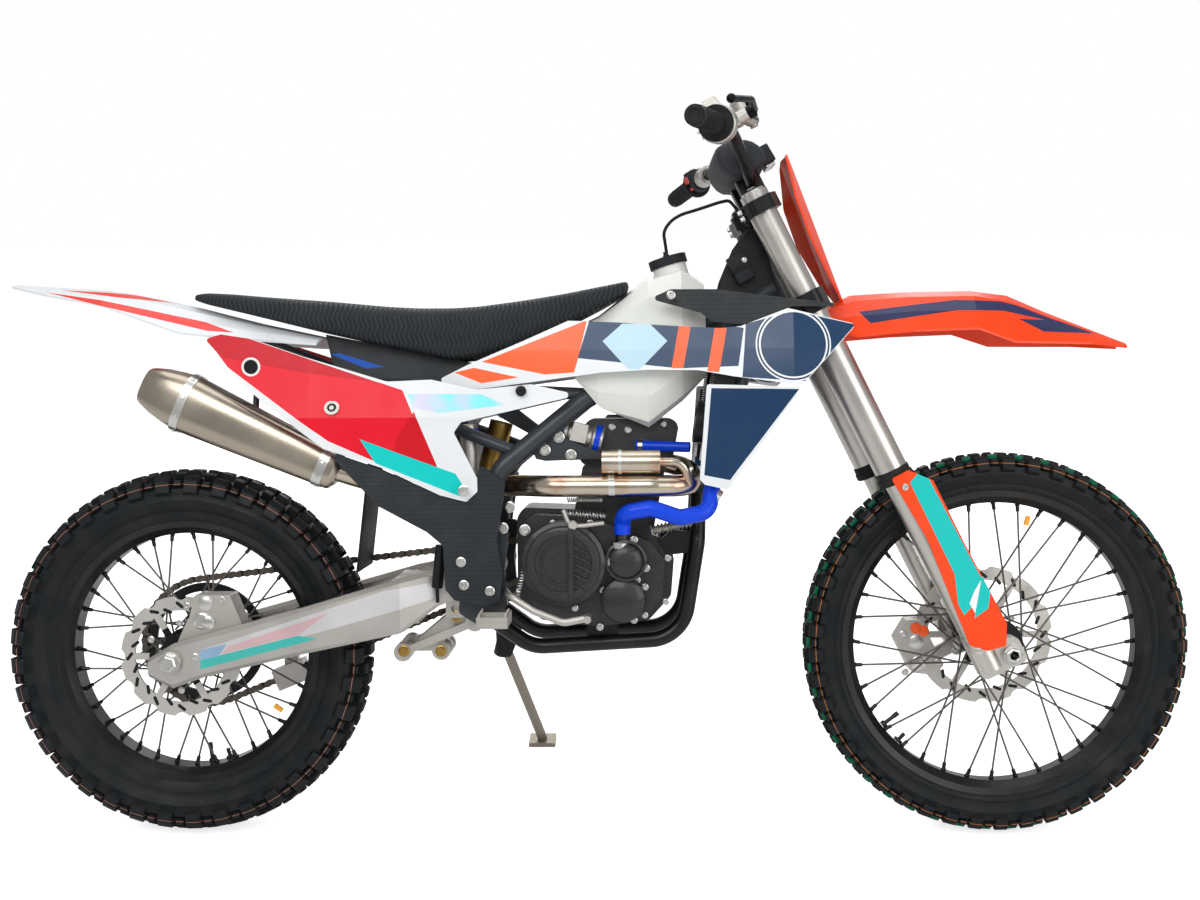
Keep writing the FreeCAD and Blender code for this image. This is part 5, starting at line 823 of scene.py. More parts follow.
def crown(share):
    """How far the tyre's outer surface drops at a share of its half width."""
    share = abs(share)
    for (a, low), (b, high) in zip(CROWN, CROWN[1:]):
        if share <= b:
            return low + (high - low) * (share - a) / (b - a)
    return CROWN[-1][1]


def knob(length, width, height, flare=0.82):
    """One tread block about its foot, with cut corners on its face."""
    bm = bmesh.new()
    brick(bm, (0, 0, height / 2 - 2), SQUARE, (length, width, height + 4), flare)
    top = [edge for edge in bm.edges if all(v.co.z > 0 for v in edge.verts) or abs(edge.verts[0].co.z - edge.verts[1].co.z) > 1]
    bmesh.ops.bevel(bm, geom=top, offset=1.4, segments=1, affect="EDGES")
    return bm


def tread_places(wheel, rows, pitches, height):
    """Places of one pattern of knobs: (share of half width, share of a pitch)."""
    radius = wheel.radius - KNOB_SINK
    depth = radius - wheel.rim_radius
    places = []
    for step in range(pitches):
        for share, lead in rows:
            angle = FULL * (step + lead) / pitches
            drop = crown(abs(share) + CROWN_STEP) - crown(abs(share) - CROWN_STEP)
            slope = depth * drop / (2 * CROWN_STEP * wheel.half_width) if share else 0.0
            normal = (spoke_way(angle) + Vector((0, math.copysign(slope, share), 0))).normalized()
            spot = wheel_spot(wheel.x, wheel.z, radius - depth * crown(share), share * wheel.half_width,
                              angle) - normal * height
            places.append((spot, normal, rim_way(angle)))
    return places


def carcass(wheel, height):
    """The tyre's body under its knobs, with beads, wall lines and an inner side."""
    radius, half_width, rim_radius, bead = wheel.radius, wheel.half_width, wheel.rim_radius, wheel.bead
    depth = radius - rim_radius
    outer = [(radius - depth * crown(share) - height, half_width * share) for share in (0.0, 0.2, 0.4, 0.58, 0.74,
                                                                                        0.86)]
    wall = [(radius - depth * down, half_width * out) for down,
            out in ((0.36, 0.945), (0.46, 0.965), (0.56, 0.96), (0.58, 0.98), (0.62, 0.95), (0.74, 0.87))]
    foot = [(rim_radius + depth * 0.17, bead + 4.5), (rim_radius + depth * 0.14, bead + 5.5),
            (rim_radius + depth * 0.06, bead + 4.0),
            (rim_radius + 0.5, bead + 1.0)]
    inner = [(rim_radius - 8, bead - 7.5), (rim_radius - 11, bead - 12), (rim_radius + 10, half_width - 14),
             (radius - 40, half_width - 17), (radius - 24, 0)]
    side = outer + wall + foot + inner
    bm = bmesh.new()
    lathe(bm, side + [(r, -y) for r, y in reversed(side[1:-1])], (wheel.x, 0, wheel.z), (0, 1, 0), 144, closed=True)
    return bm


def make_tyre(end, wheel, pitches, height):
    """One tyre: its carcass, the knobs of its tread and the small blocks on its walls."""
    name, rubber = end + "_tread", end + "_rubber"
    piece(name + "_carcass", carcass(wheel, height), wheel.body, rubber, smooth=50, replaces=(end + "_tyre",),
          slot="tyre")
    pitch = FULL * wheel.radius / pitches
    wide = wheel.half_width
    rows = {
        "centre": (knob(pitch * 0.42, wide * 0.34, height), [(0.19, 0.0), (-0.19, 0.0)]),
        "bridge": (knob(pitch * 0.34, wide * 0.30, height), [(0.0, 0.5)]),
        "middle": (knob(pitch * 0.40, wide * 0.26, height), [(0.52, 0.42), (-0.52, 0.42)]),
        "shoulder": (knob(pitch * 0.6, wide * 0.3, height + 3.5), [(0.84, 0.92), (-0.84, 0.92)]),
    }
    for label, (pattern, spots) in rows.items():
        copies(name + "_" + label + "_knobs", pattern, tread_places(wheel, spots, pitches, height), wheel.body,
               rubber, smooth=30)
    blocks = (("wall", knob(pitch * 0.56, height * 2.1, 9.0, 0.78), 0.92, 0.35, 0.335, 0.9),
              ("edge", knob(pitch * 0.3, height * 0.9, 5.0, 0.8), 0.42, 0.4, 0.26, 0.88))
    for label, pattern, lead, lean, down, across in blocks:
        reach = wheel.radius - (wheel.radius - wheel.rim_radius) * down
        places = []
        for step in range(pitches):
            for side in (RIGHT, LEFT):
                angle = FULL * (step + lead) / pitches
                spot = wheel_spot(wheel.x, wheel.z, reach, side * wide * across, angle)
                places.append((spot, Vector((0, side, 0)) + spoke_way(angle) * lean, rim_way(angle)))
        copies(name + "_" + label + "_knobs", pattern, places, wheel.body, rubber, smooth=30)


def tyre_finishes(colours):
    """The tyre rubber with its thin moulding line, and the green knob sides of the front one."""
    for end, wheel, line, code, half_width in (("Front", FRONT, 331.0, "b5713a", 30.0),
                                               ("Rear", REAR, 312.0, "a9705c", 40.0)):
        rubber = Finish(end + " rubber", colours.tyre, 0.5, grain=0.9, grain_scale=0.35, spread=0.2, dust=0.03,
                        shine=0.22)
        away = rubber.reach(wheel.x, wheel.z)
        side = rubber.math("ABSOLUTE", rubber.y)
        outer = rubber.math("GREATER_THAN", side, half_width)
        rubber.over(code, rubber.math("MULTIPLY", outer, rubber.between(away, line, line + 1.1)))
        if wheel is FRONT:
            flank = rubber.between(side, 24.5, 31.0)
            rubber.over("10704c", rubber.math("MULTIPLY", flank, rubber.between(away, 336.0, 345.0)))
        FINISHES[end.lower() + "_rubber"] = rubber.done()


def make_wheel_trim(wheel, tag_angle, valve_angle):
    """Valve, rim lock, nipple seats and the balance tag on one spoke."""
    centre, bed = Vector((wheel.x, 0, wheel.z)), wheel.rim_radius - 24
    bm = bmesh.new()
    out = spoke_way(valve_angle)
    foot = centre + out * (bed - 1)
    cylinder(bm, foot, foot - out * 34, 3.6, 12, 0.6)
    cylinder(bm, foot, foot - out * 8, 6.5, 12, 0.8)
    cylinder(bm, foot - out * 26, foot - out * 38, 4.4, 12, 0.8)
    way = spoke_way(valve_angle + 0.16)
    foot = centre + way * (bed - 1)
    cylinder(bm, foot, foot - way * 20, 3.6, 12, 0.5)
    cylinder(bm, foot, foot - way * 6, 8.5, 6, 0.6)
    piece(wheel.body + "_valve", bm, wheel.body, "black_metal")
    bm = bmesh.new()
    out = spoke_way(tag_angle)
    brick(bm, centre + Vector((0, -9, 0)) + out * (bed - 26), (rim_way(tag_angle), (0, 1, 0), out), (9, 7, 18), 0.9)
    piece(wheel.body + "_tag", bm, wheel.body, "tag", bevel=1.2)
    hexagon = bmesh.new()
    lathe(hexagon, [(3.6, -1.0), (4.6, 0.5), (4.6, 3.0), (3.2, 5.0)], (0, 0, 0), (0, 0, 1), 8)
    ways = [spoke_way(FULL * index / SPOKES) for index in range(SPOKES)]
    copies(wheel.body + "_nipple_seats", hexagon, [(centre + way * (bed + 0.5), -way, (0, 1, 0)) for way in ways],
           wheel.body, "dark_bolt")


def make_disc_trim():
    """Thin dark plates that paint the shade in both brake discs' slots, and the discs' carrier bolts."""
    for wheel in WHEELS:
        # Each slot is a thin dark plate on the disc's face: painted shade in place of a see-through slot
        slot = bmesh.new()
        outline = [(math.cos(math.pi * k / 5 - math.pi / 2) * 3.0 + 6.0,
                    math.sin(math.pi * k / 5 - math.pi / 2) * 3.0) for k in range(6)]
        outline += [(-a, -b) for a, b in outline]
        capped(slot, [[slot.verts.new((a, b, z)) for a, b in outline] for z in (0.0, 0.35)])
        places = []
        for index in range(24):
            angle = FULL * index / 24
            reach = wheel.disc_radius - (22 if index % 2 else 14)
            places.append((wheel_spot(wheel.x, wheel.z, reach, wheel.disc_y - 1.95, angle), TO_RIGHT,
                           spoke_way(angle + 0.9)))
        copies(wheel.body + "_disc_slots", slot, places, wheel.body, "dark_bolt")
        spots = [wheel_spot(wheel.x, wheel.z, 62.0, wheel.disc_y - 2.2,
                            FULL * (index + 0.5) / 6) for index in range(6)]
        bolts(wheel.body + "_disc_bolts", spots, 5.0, 4, body=wheel.body)


# Chain


def chain_places(teeth_rear=48, teeth_front=13, pitch=15.875, sprocket_x=633.0, sprocket_z=504.0, y=72.0):
    """Pin places round both sprockets, evenly spaced, as (spot, outward, ahead)."""
    big = pitch / 2 / math.sin(math.pi / teeth_rear)
    small = pitch / 2 / math.sin(math.pi / teeth_front)
    run = math.hypot(sprocket_x, sprocket_z - REAR_Z)
    tilt = math.atan2(sprocket_z - REAR_Z, sprocket_x)
    spread = math.acos((big - small) / run)
    straight = run * math.sin(spread)
    nose_arc = small * 2 * spread
    length = 2 * straight + big * (FULL - 2 * spread) + nose_arc
    count = 2 * round(length / pitch / 2)
    top, low = tilt + spread, tilt - spread
    places = []
    for index in range(count):
        here = length * index / count
        if here < straight:
            start = wheel_spot(0, REAR_Z, big, y, top)
            ahead = (wheel_spot(sprocket_x, sprocket_z, small, y, top) - start).normalized()
            spot, outward = start + ahead * here, spoke_way(top)
        elif here < straight + nose_arc:
            angle = top - (here - straight) / small
            spot, outward, ahead = wheel_spot(sprocket_x, sprocket_z, small, y,
                                              angle), spoke_way(angle), -rim_way(angle)
        elif here < 2 * straight + nose_arc:
            start = wheel_spot(sprocket_x, sprocket_z, small, y, low)
            ahead = (wheel_spot(0, REAR_Z, big, y, low) - start).normalized()
            spot, outward = start + ahead * (here - straight - nose_arc), spoke_way(low)
        else:
            angle = low - (here - 2 * straight - nose_arc) / big
            spot, outward, ahead = wheel_spot(0, REAR_Z, big, y, angle), spoke_way(angle), -rim_way(angle)
        places.append((spot, outward, ahead))
    return places


def link_plate(bm, y, thick, pitch, height):
    """A waisted side plate between two pins, at y across the chain."""
    outline = []
    for end, base in ((1, 0.0), (-1, math.pi)):
        for step in range(-3, 4):
            angle = base + step * math.pi / 7
            outline.append((end * pitch / 2 + math.cos(angle) * height / 2, math.sin(angle) * height / 2))
        outline.append((0.0, end * height * 0.34))
    slab(bm, outline, y, y + thick)


def make_chain_links():
    """The outer plates, inner plates and rollers of the drive chain."""
    places = chain_places()
    pitch = (places[1][0] - places[0][0]).length
    links = []
    for index, (spot, outward, _) in enumerate(places):
        after = places[(index + 1) % len(places)]
        middle = (spot + after[0]) / 2
        links.append((middle, (outward + after[1]).normalized(), (after[0] - spot).normalized()))
    outer, inner, pins = bmesh.new(), bmesh.new(), bmesh.new()
    for side in (RIGHT, LEFT):
        link_plate(outer, side * 6.2 - 0.8, 1.6, pitch, 13.0)
        link_plate(inner, side * 4.3 - 0.8, 1.6, pitch, 13.6)
    cylinder(pins, (0, -8.0, 0), (0, 8.0, 0), 2.6, 8)
    cylinder(pins, (0, -3.4, 0), (0, 3.4, 0), 5.0, 12)
    copies("chain_outer_plates", outer, links[0::2], "chassis", "chain_steel", smooth=20,
           replaces=("chain",))
    copies("chain_inner_plates", inner, links[1::2], "chassis", "dark_bolt", smooth=20)
    copies("chain_rollers", pins, places, "chassis", "chain_steel", smooth=40)


# Bolts


def bolt_pattern(radius, height, socket=True):
    """A flanged bolt head about its seat, with a hexagon recess."""
    bm = bmesh.new()
    profile = [(0.0, 0.0), (radius * 1.25, 0.0), (radius * 1.25, height * 0.25), (radius, height * 0.35),
               (radius, height * 0.85), (radius * 0.88, height)]
    if socket:
        profile += [(radius * 0.5, height), (radius * 0.45, height * 0.45), (0.0, height * 0.45)]
    else:
        profile += [(0.0, height)]
    lathe(bm, profile, (0, 0, 0), (0, 0, 1), 18)
    return bm


def bolts(name, spots, radius, height, body="chassis", finish="bolt", way=(0, RIGHT, 0), socket=True):
    """Bolts at (x, y, z) spots, all pointing the same way."""
    places = [(Vector(spot), Vector(way), (1, 0, 0) if abs(way[0]) < 0.7 else (0, 0, 1)) for spot in spots]
    return copies(name, bolt_pattern(radius, height, socket), places, body, finish)


def seen_bolts(name, pixels, y, radius, height, **more):
    """Bolts whose middles are read from the photograph, on the plane at y."""
    return bolts(name, [seen_spot(u, v, y) for u, v in pixels], radius, height, **more)


# Seat


def make_seat_cover():
    """The foam seat under its ribbed cover."""
    low, high = Vector((23.0, 0, 870.0)), Vector((819.0, 98.0, 1020.0))
    stations = ((0.0, 0.44, 0.80, 0.86), (0.03, 0.62, 0.74, 0.885), (0.1, 0.86, 0.65, 0.86),
                (0.18, 0.97, 0.545, 0.82), (0.31, 1.0, 0.37, 0.77),
                (0.45, 0.98, 0.2, 0.70), (0.52, 0.97, 0.12, 0.68), (0.6, 0.94, 0.03, 0.68), (0.66, 0.9, 0.05, 0.7),
                (0.75, 0.85, 0.2, 0.76), (0.85, 0.78, 0.44, 0.84), (0.94, 0.66, 0.68, 0.93), (1.0, 0.54, 0.86, 0.99))
    section = ((0.0, 1.0), (0.25, 0.995), (0.5, 0.975), (0.7, 0.93), (0.86, 0.84), (0.95, 0.7), (0.99, 0.5),
               (1.0, 0.3), (0.995, 0.1), (0.97, 0.0), (0.5, 0.0), (0.0, 0.0))
    bm = bmesh.new()
    rows = []
    count = 56
    for step in range(count + 1):
        along = step / count
        for first, second in zip(stations, stations[1:]):
            if first[0] <= along <= second[0]:
                t = (along - first[0]) / (second[0] - first[0])
                wide, floor, top = (a + (b - a) * t for a, b in zip(first[1:], second[1:]))
                break
        half = [(high.y * wide * out, low.z + (high.z - low.z) * (floor + (top - floor) * up)) for out, up in section]
        ring = half + [(-y, z) for y, z in reversed(half[1:-1])]
        rows.append([bm.verts.new((low.x + (high.x - low.x) * along, y, z)) for y, z in ring])
    capped(bm, rows)
    thing = piece("seat_cover", bm, "chassis", "seat", smooth=60, replaces=("seat",), slot="seat", subdivide=1)


# Suspension


def make_shock_spring():
    """The shock with its coil spring, collars and eyes."""
    low, high = Vector((470.0, 0, 343.0)), Vector((588.0, 0, 785.0))
    way = high - low
    axis = way.normalized()
    side, over = Vector((0, 1, 0)), axis.cross(Vector((0, 1, 0)))
    bm = bmesh.new()
    turns, wire_radius, coil = 7, 5.6, 27.0
    line = []
    for step in range(turns * 24 + 1):
        share = step / (turns * 24)
        angle = FULL * turns * share
        line.append(low + way * (0.31 + 0.42 * share) + side * math.cos(angle) * coil + over * math.sin(angle) * coil)
    hose(bm, line, wire_radius, 10)
    piece("shock_spring", bm, "chassis", "white_plastic", replaces=("shock",), slot="alloy")
    bm = bmesh.new()
    cylinder(bm, low, low + way * 0.34, 8.0, 20)
    lathe(bm, [(0, 0), (30, 0), (33, 3), (33, 9), (20, 12), (0, 12)], low + way * 0.29, axis, 32)
    lathe(bm, [(0, 0), (20, 0), (33, 4), (33, 10), (30, 14), (0, 14)], low + way * 0.725, axis, 32)
    for end in (low, high):
        cylinder(bm, end - side * 13, end + side * 13, 17, 28, 1.5)
    piece("shock_ends", bm, "chassis", "alloy")
    bm = bmesh.new()
    cylinder(bm, low + way * 0.4, low + way * 0.95, 21.5, 32, 1.5)
    piece("shock_body", bm, "chassis", "gold_bolt")


def make_fork_trim():
    """Collars, wiper seals and caps on both fork legs."""
    for side in (RIGHT, LEFT):
        name = "right" if side == RIGHT else "left"
        y = side * 105.0
        bm = bmesh.new()
        axis = UP_LEG
        lathe(bm, [(23, 0), (31.5, 0), (33, 2), (33, 12), (31, 14), (31, 24), (28, 26), (23, 26)],
              fork_place(360, 0, y), axis, 36)
        piece("fork_seal_" + name, bm, "steering", "rubber")
        bm = bmesh.new()
        lathe(bm, [(0, 0), (21, 0), (21, 6), (17, 9), (0, 9)], fork_place(923, 0, y), axis, 30)
        lathe(bm, [(0, 0), (7, 0), (7, 5), (0, 5)], fork_place(930, 0, y), axis, 6)
        piece("fork_cap_" + name, bm, "steering", "machined")


# Engine


def make_engine_trim():
    """Ribs, rims, covers, plates, bolts and springs on the engine's right side, with a ribbed boot and the clutch
    arm.
    """
    cx, cz = 701.0, 516.0
    bm = bmesh.new()
    lathe(bm, [(50, 0), (74, 0), (74, 3), (66, 6), (64, 10), (56, 12), (50, 12)], (cx, -130, cz), TO_RIGHT, 64,
          closed=True)
    lathe(bm, [(36, 0), (40, 0), (40, 5.5), (36, 5.5)], (cx, -136, cz), TO_RIGHT, 56, closed=True)
    for index in range(5):
        z = cz + 30 - 17 * index
        brick(bm, (cx + 38 - abs(index - 2) * 5, -141, z - 4), ((0.87, 0, -0.42), (0, 1, 0), (0.42, 0, 0.87)),
              (46 - abs(index - 2) * 9, 10, 3.4), 0.7)
    brick(bm, (cx + 14, -141, cz), SQUARE, (9, 11, 124))
    piece("clutch_cover_ribs", bm, "chassis", "engine_black", bevel=0.8, slot="engine_black")
    bm = bmesh.new()
    lathe(bm, [(20, 0), (30, 0), (28, 9), (22, 13), (12, 15), (0, 15)], (811, -126, 520), TO_RIGHT, 40)
    lathe(bm, [(32, 0), (37, 0), (37, 3), (32, 5)], (811, -130, 520), TO_RIGHT, 48, closed=True)
    piece("pump_cover", bm, "chassis", "engine_black", bevel=0.6)
    bm = bmesh.new()
    lathe(bm, [(26, 0), (40, 0), (38, 4), (30, 8), (0, 11)], (806, -122, 450), TO_RIGHT, 40)
    piece("oil_cover", bm, "chassis", "engine_black", bevel=0.6)
    seen_bolts("pump_bolts", [(609, 562), (634, 540), (646, 568)], -126, 5.4, 7)
    seen_bolts("oil_cover_bolts", [(603, 590), (637, 580), (645, 587), (625, 612), (634, 620), (600, 627)], -112, 5.0,
               7)
    seen_bolts("clutch_bolts", [(553, 523), (528, 554), (590, 523), (575, 608)], -112, 4.6, 6)
    seen_bolts("case_bolts", [(640, 562), (668, 558), (666, 602), (645, 615)], -106, 4.6, 6)
    bm = bmesh.new()
    outline = ((533, 452), (541, 442), (556, 428), (562, 428), (567, 439), (583, 446), (600, 452), (603, 459),
               (545, 461), (536, 459))
    slab(bm, [side_place(u, v, -92) for u, v in outline], -94, -88)
    piece("engine_hanger_plate", bm, "chassis", "frame", bevel=1.2)
    seen_bolts("hanger_bolts", [(545, 450), (559, 437), (571, 455)], -95, 8.0, 8)
    bm = bmesh.new()
    for u0, v0, u1, v1, radius, turns in ((567, 500, 602, 500, 4.0, 16), (566, 513, 606, 516, 6.0, 12)):
        coil_spring(bm, seen_spot(u0, v0, -112), seen_spot(u1, v1, -112), radius, 1.1, turns)
    piece("return_springs", bm, "chassis", "bolt")
    back, ahead = seen_spot(650, 531, -100), seen_spot(692, 522, -100) + Vector((0, 8, 0))
    line = [back.lerp(ahead, step / 60) for step in range(61)]
    bm = bmesh.new()
    hose(bm, line, 8.0, 20, ripple=lambda along: 2.2 * math.sin(along * FULL / 7.0))
    piece("ribbed_boot", bm, "chassis", "alloy", smooth=60)
    bm = bmesh.new()
    for u0, v0, u1, v1 in ((590, 380, 640, 380), (592, 392, 640, 392), (598, 404, 644, 404), (605, 416, 650, 416)):
        x0, z0 = side_place(u0, v0, -62)
        x1, z1 = side_place(u1, v1, -62)
        brick(bm, ((x0 + x1) / 2, -63, (z0 + z1) / 2), SQUARE, (abs(x1 - x0), 7, 6), 0.9)
    piece("cylinder_ribs", bm, "chassis", "engine_black", bevel=0.8)
    seen_bolts("cylinder_bolts", [(628, 430), (664, 424), (612, 427)], -62, 5.2, 7)
    bm = bmesh.new()
    tail, pivot, nose = (seen_spot(u, v, -134) for u, v in ((563, 510), (573, 525), (604, 523)))
    hose(bm, smooth_line([tail, pivot - Vector((0, 3, 0)), nose], 8), 4.2, 12)
    cylinder(bm, pivot + Vector((0, 6, 0)), pivot - Vector((0, 10, 0)), 8.0, 24, 1.0)
    piece("clutch_arm", bm, "chassis", "alloy")


def coil_spring(bm, start, end, radius, thick, turns):
    """A closely wound spring between two places."""
    axis = (end - start).normalized()
    side = axis.orthogonal().normalized()
    over = axis.cross(side)
    steps = turns * 12
    line = []
    for i in range(steps + 1):
        angle = FULL * i / 12
        line.append(start + (end - start) * (i / steps) + (side * math.cos(angle) + over * math.sin(angle)) * radius)
    hose(bm, line, thick, 6)


def make_cooling():
    """Radiator fins, hose clips and the upper coolant hose."""
    fins = bmesh.new()
    brick(fins, (0, 0, 0), SQUARE, (36, 84, 1.2))
    places = []
    for side in (RIGHT, LEFT):
        for step in range(44):
            share = (step + 1) / 45
            places.append((Vector((961 + 26 * share, side * 101.0, 690 + 184 * share)), (0, 0, 1), (1, 0, 0)))
    copies("radiator_fins", fins, places, "chassis", "machined", smooth=20)
    bm = bmesh.new()
    for (u, v), (du, dv) in (((716, 498), (0.75, 0.5)), ((620, 545), (-0.08, 1.0))):
        axis = Vector((du, 0, -dv)).normalized()
        collar(bm, 15.0, 17.5, 5, seen_spot(u, v, -120), axis, 28)
    piece("hose_clips", bm, "chassis", "machined")
    back = seen_spot(636, 446, -80) + Vector((0, 14, 0))
    ahead = seen_spot(690, 447, -80) - Vector((0, 4, 0))
    bm = bmesh.new()
    cylinder(bm, back, ahead, 9.5, 28, 1.0)
    piece("upper_coolant_hose", bm, "chassis", "blue_rubber")
    bm = bmesh.new()
    way = (ahead - back).normalized()
    collar(bm, 9.2, 11.2, 4, back + way * 9, way, 28)
    piece("upper_hose_clip", bm, "chassis", "machined")


# Bodywork


def make_bodywork_trim():
    """Bolts and grommets of the panels, covers and guards."""
    seen_bolts("panel_bolts", [(464, 491)], -166, 8.5, 6)
    seen_bolts("panel_upper_bolts", [(521, 391)], -150, 7.5, 6, finish="dark_bolt")
    seen_bolts("cover_bolts", [(671, 295)], -150, 6.0, 5)
    seen_bolts("guard_bolts", [(461, 562), (464, 585), (490, 591)], -140, 7.0, 6)
    seen_bolts("spar_bolts", [(510, 507), (503, 528), (525, 530)], -112, 8.0, 6)
    bm = bmesh.new()
    dark = bmesh.new()
    for u, v, y in ((251, 367, -152), (336, 408, -164)):
        x, z = side_place(u, v, y)
        lathe(bm, [(12.5, -2), (16.5, -2), (16.5, 1.5), (14.5, 3.0), (12.5, 1.5)], (x, y, z), TO_RIGHT, 32,
              closed=True)
        lathe(dark, [(0, 0), (12.6, 0), (12.6, 1.0), (0, 1.4)], (x, y, z), TO_RIGHT, 28)
    piece("panel_grommets", bm, "chassis", "white_plastic")
    piece("panel_grommet_holes", dark, "chassis", "rubber")


def sleeve(name, node, point, way, wide, swell, finish, body="chassis"):
    """A band that hugs a CAD piece between two planes, half the width each side of the point."""
    bm = bmesh.new()
    bm.from_mesh(frame["nodes"][node].data)
    bm.transform(LEANING.inverted())
    bmesh.ops.remove_doubles(bm, verts=bm.verts, dist=0.01)
    way = Vector(way).normalized()
    for side in (-1, 1):
        every = bm.verts[:] + bm.edges[:] + bm.faces[:]
        bmesh.ops.bisect_plane(bm, geom=every, plane_co=Vector(point) + way * side * wide / 2, plane_no=way * side,
                               clear_outer=True)
    bm.normal_update()
    hug = {vert: bm.verts.new(vert.co + vert.normal * swell) for vert in bm.verts[:]}
    rims = [edge.verts[:] for edge in bm.edges if edge.is_boundary]
    for face in bm.faces[:]:
        bm.faces.new([hug[vert] for vert in face.verts])
    for first, second in rims:
        bm.faces.new((first, second, hug[second], hug[first]))
    for vert in hug:
        vert.co -= vert.normal * 0.4
    return piece(name, bm, body, finish, smooth=40)


def bar_spot(side, inward):
    """A place on the bar's outer run, counted in from its end."""
    tip = fork_place(BAR_END_UP, BAR_END_AHEAD, side * BAR_END)
    way = (fork_place(1030, 2, side * 185) - tip).normalized()
    return tip + way * inward, way


# Handlebar


def make_bar_pad_cover():
    """The bar pad's moulded foam with its slanted faces and rounded ends."""
    outline = ((-34, 1010), (-24, 1030), (8, 1028), (34, 1016), (50, 998), (54, 966), (34, 956), (-12, 957),
               (-32, 978))
    bm = bmesh.new()
    rows = []
    for y, size in ((-114, 0.62), (-111, 0.88), (-98, 1.0), (-40, 1.02), (0, 1.03), (40, 1.02), (98, 1.0),
                    (111, 0.88), (114, 0.62)):
        rows.append([bm.verts.new(fork_place(995 + (up - 995) * size, 8 + (ahead - 8) * size, y)) for ahead,
                     up in outline])
    grid_faces(bm, rows)
    bm.faces.new(rows[0])
    bm.faces.new(list(reversed(rows[-1])))
    thing = piece("bar_pad_cover", bm, "steering", "pad", smooth=50, replaces=("bar_pad",), slot="black_plastic",
                  subdivide=1)


def make_grip_trim():
    """Ribs and end plugs of the grips, the throttle's housing, the switch and the brake's fittings."""
    ring = bmesh.new()
    lathe(ring, [(16.2, -1.5), (17.4, -0.9), (17.4, 0.9), (16.2, 1.5)], (0, 0, 0), (0, 0, 1), 28, closed=True)
    places = []
    plugs, housings, dark = bmesh.new(), bmesh.new(), bmesh.new()
    for side in (RIGHT, LEFT):
        for step in range(15):
            spot, way = bar_spot(side, 10 + 7.4 * step)
            places.append((spot, way, AHEAD))
        spot, way = bar_spot(side, -6)
        lathe(plugs, [(0, -1.0), (8.5, -1.0), (9.5, -2.5), (13.0, -2.5), (15.2, 0.4), (15.2, 3)], spot, way, 32)
        spot, way = bar_spot(side, 121)
        lathe(plugs, [(14, 0), (28, 0), (29.5, 1.5), (29.5, 4.5), (28, 6), (14, 6)], spot, way, 44, closed=True)
    copies("grip_ribs", ring, places, "steering", "rubber")
    piece("grip_plugs", plugs, "steering", "rubber")
    spot, way = bar_spot(RIGHT, 130)
    lathe(housings, [(12, 0), (29, 0), (31.5, 2), (31.5, 9), (30.4, 10.4), (31.5, 12), (31.5, 20), (29, 22.5),
                     (12, 22.5)], spot, way, 44)
    brick(housings, spot + way * 11 + UP_LEG * 30 + AHEAD * 4, (AHEAD, way, UP_LEG), (32, 19, 26), 0.7)
    piece("throttle_housing", housings, "steering", "alloy", bevel=0.8)
    bolts("throttle_bolts", [tuple(spot + way * 6 - AHEAD * 31.4 + UP_LEG * 2),
                             tuple(spot + way * 17 - AHEAD * 30.2 - UP_LEG * 8)], 2.6, 4,
          body="steering", way=tuple(-AHEAD))
    spot, way = bar_spot(LEFT, 131)
    lathe(dark, [(12, 0), (20, 0), (22, 2), (22, 20), (20, 22), (12, 22)], spot, way, 32)
    brick(dark, spot + way * 11 + UP_LEG * 16 - AHEAD * 12, (AHEAD, way, UP_LEG), (22, 20, 22), 0.85)
    piece("switch_housing", dark, "steering", "black_plastic", bevel=0.8)
    red = bmesh.new()
    brick(red, spot + way * 11 + UP_LEG * 12 - AHEAD * 24, (AHEAD, way, UP_LEG), (7, 13, 14), 0.9)
    brick(red, spot + way * 11 - UP_LEG * 8 - AHEAD * 22, (AHEAD, way, UP_LEG), (5, 9, 6), 0.9)
    piece("switch_buttons", red, "steering", "red_plastic", bevel=0.8)
    spot, way = bar_spot(RIGHT, 173)
    start = spot + AHEAD * 36
    tip = start + way * 62
    fittings = bmesh.new()
    collar(fittings, 6, 11.5, 5, tip + way * 6, way, 30)
    piece("brake_banjo", fittings, "steering", "black_metal", bevel=0.5)
    bolts("banjo_bolt", [tuple(tip + way * 11)], 6.5, 8, body="steering", way=tuple(way))
    lid = bmesh.new()
    top = (start + tip) / 2 + UP_LEG * 28
    lathe(lid, [(0, 0), (16.5, 0), (16.5, 4), (14.5, 6), (0, 6)], top, UP_LEG, 36)
    lathe(lid, [(9.5, 5), (11.5, 5), (11.5, 7.2), (9.5, 7.2)], top, UP_LEG, 30, closed=True)
    piece("brake_pot_lid", lid, "steering", "machined", bevel=0.4)
    collars = bmesh.new()
    for side in (RIGHT, LEFT):
        spot, way = bar_spot(side, 173)
        collar(collars, 11, 19, 16, spot, way, 32)
        brick(collars, spot + AHEAD * 22, (AHEAD, way, UP_LEG), (14, 26, 26), 0.9)
    piece("perch_clamps", collars, "steering", "alloy", bevel=1.0)
    spots = []
    for side in (RIGHT, LEFT):
        spot, way = bar_spot(side, 173)
        spots += [tuple(spot - AHEAD * 4 + UP_LEG * 19), tuple(spot + AHEAD * 10 + UP_LEG * 15)]
    bolts("perch_bolts", spots, 3.2, 4, body="steering", way=tuple(UP_LEG))


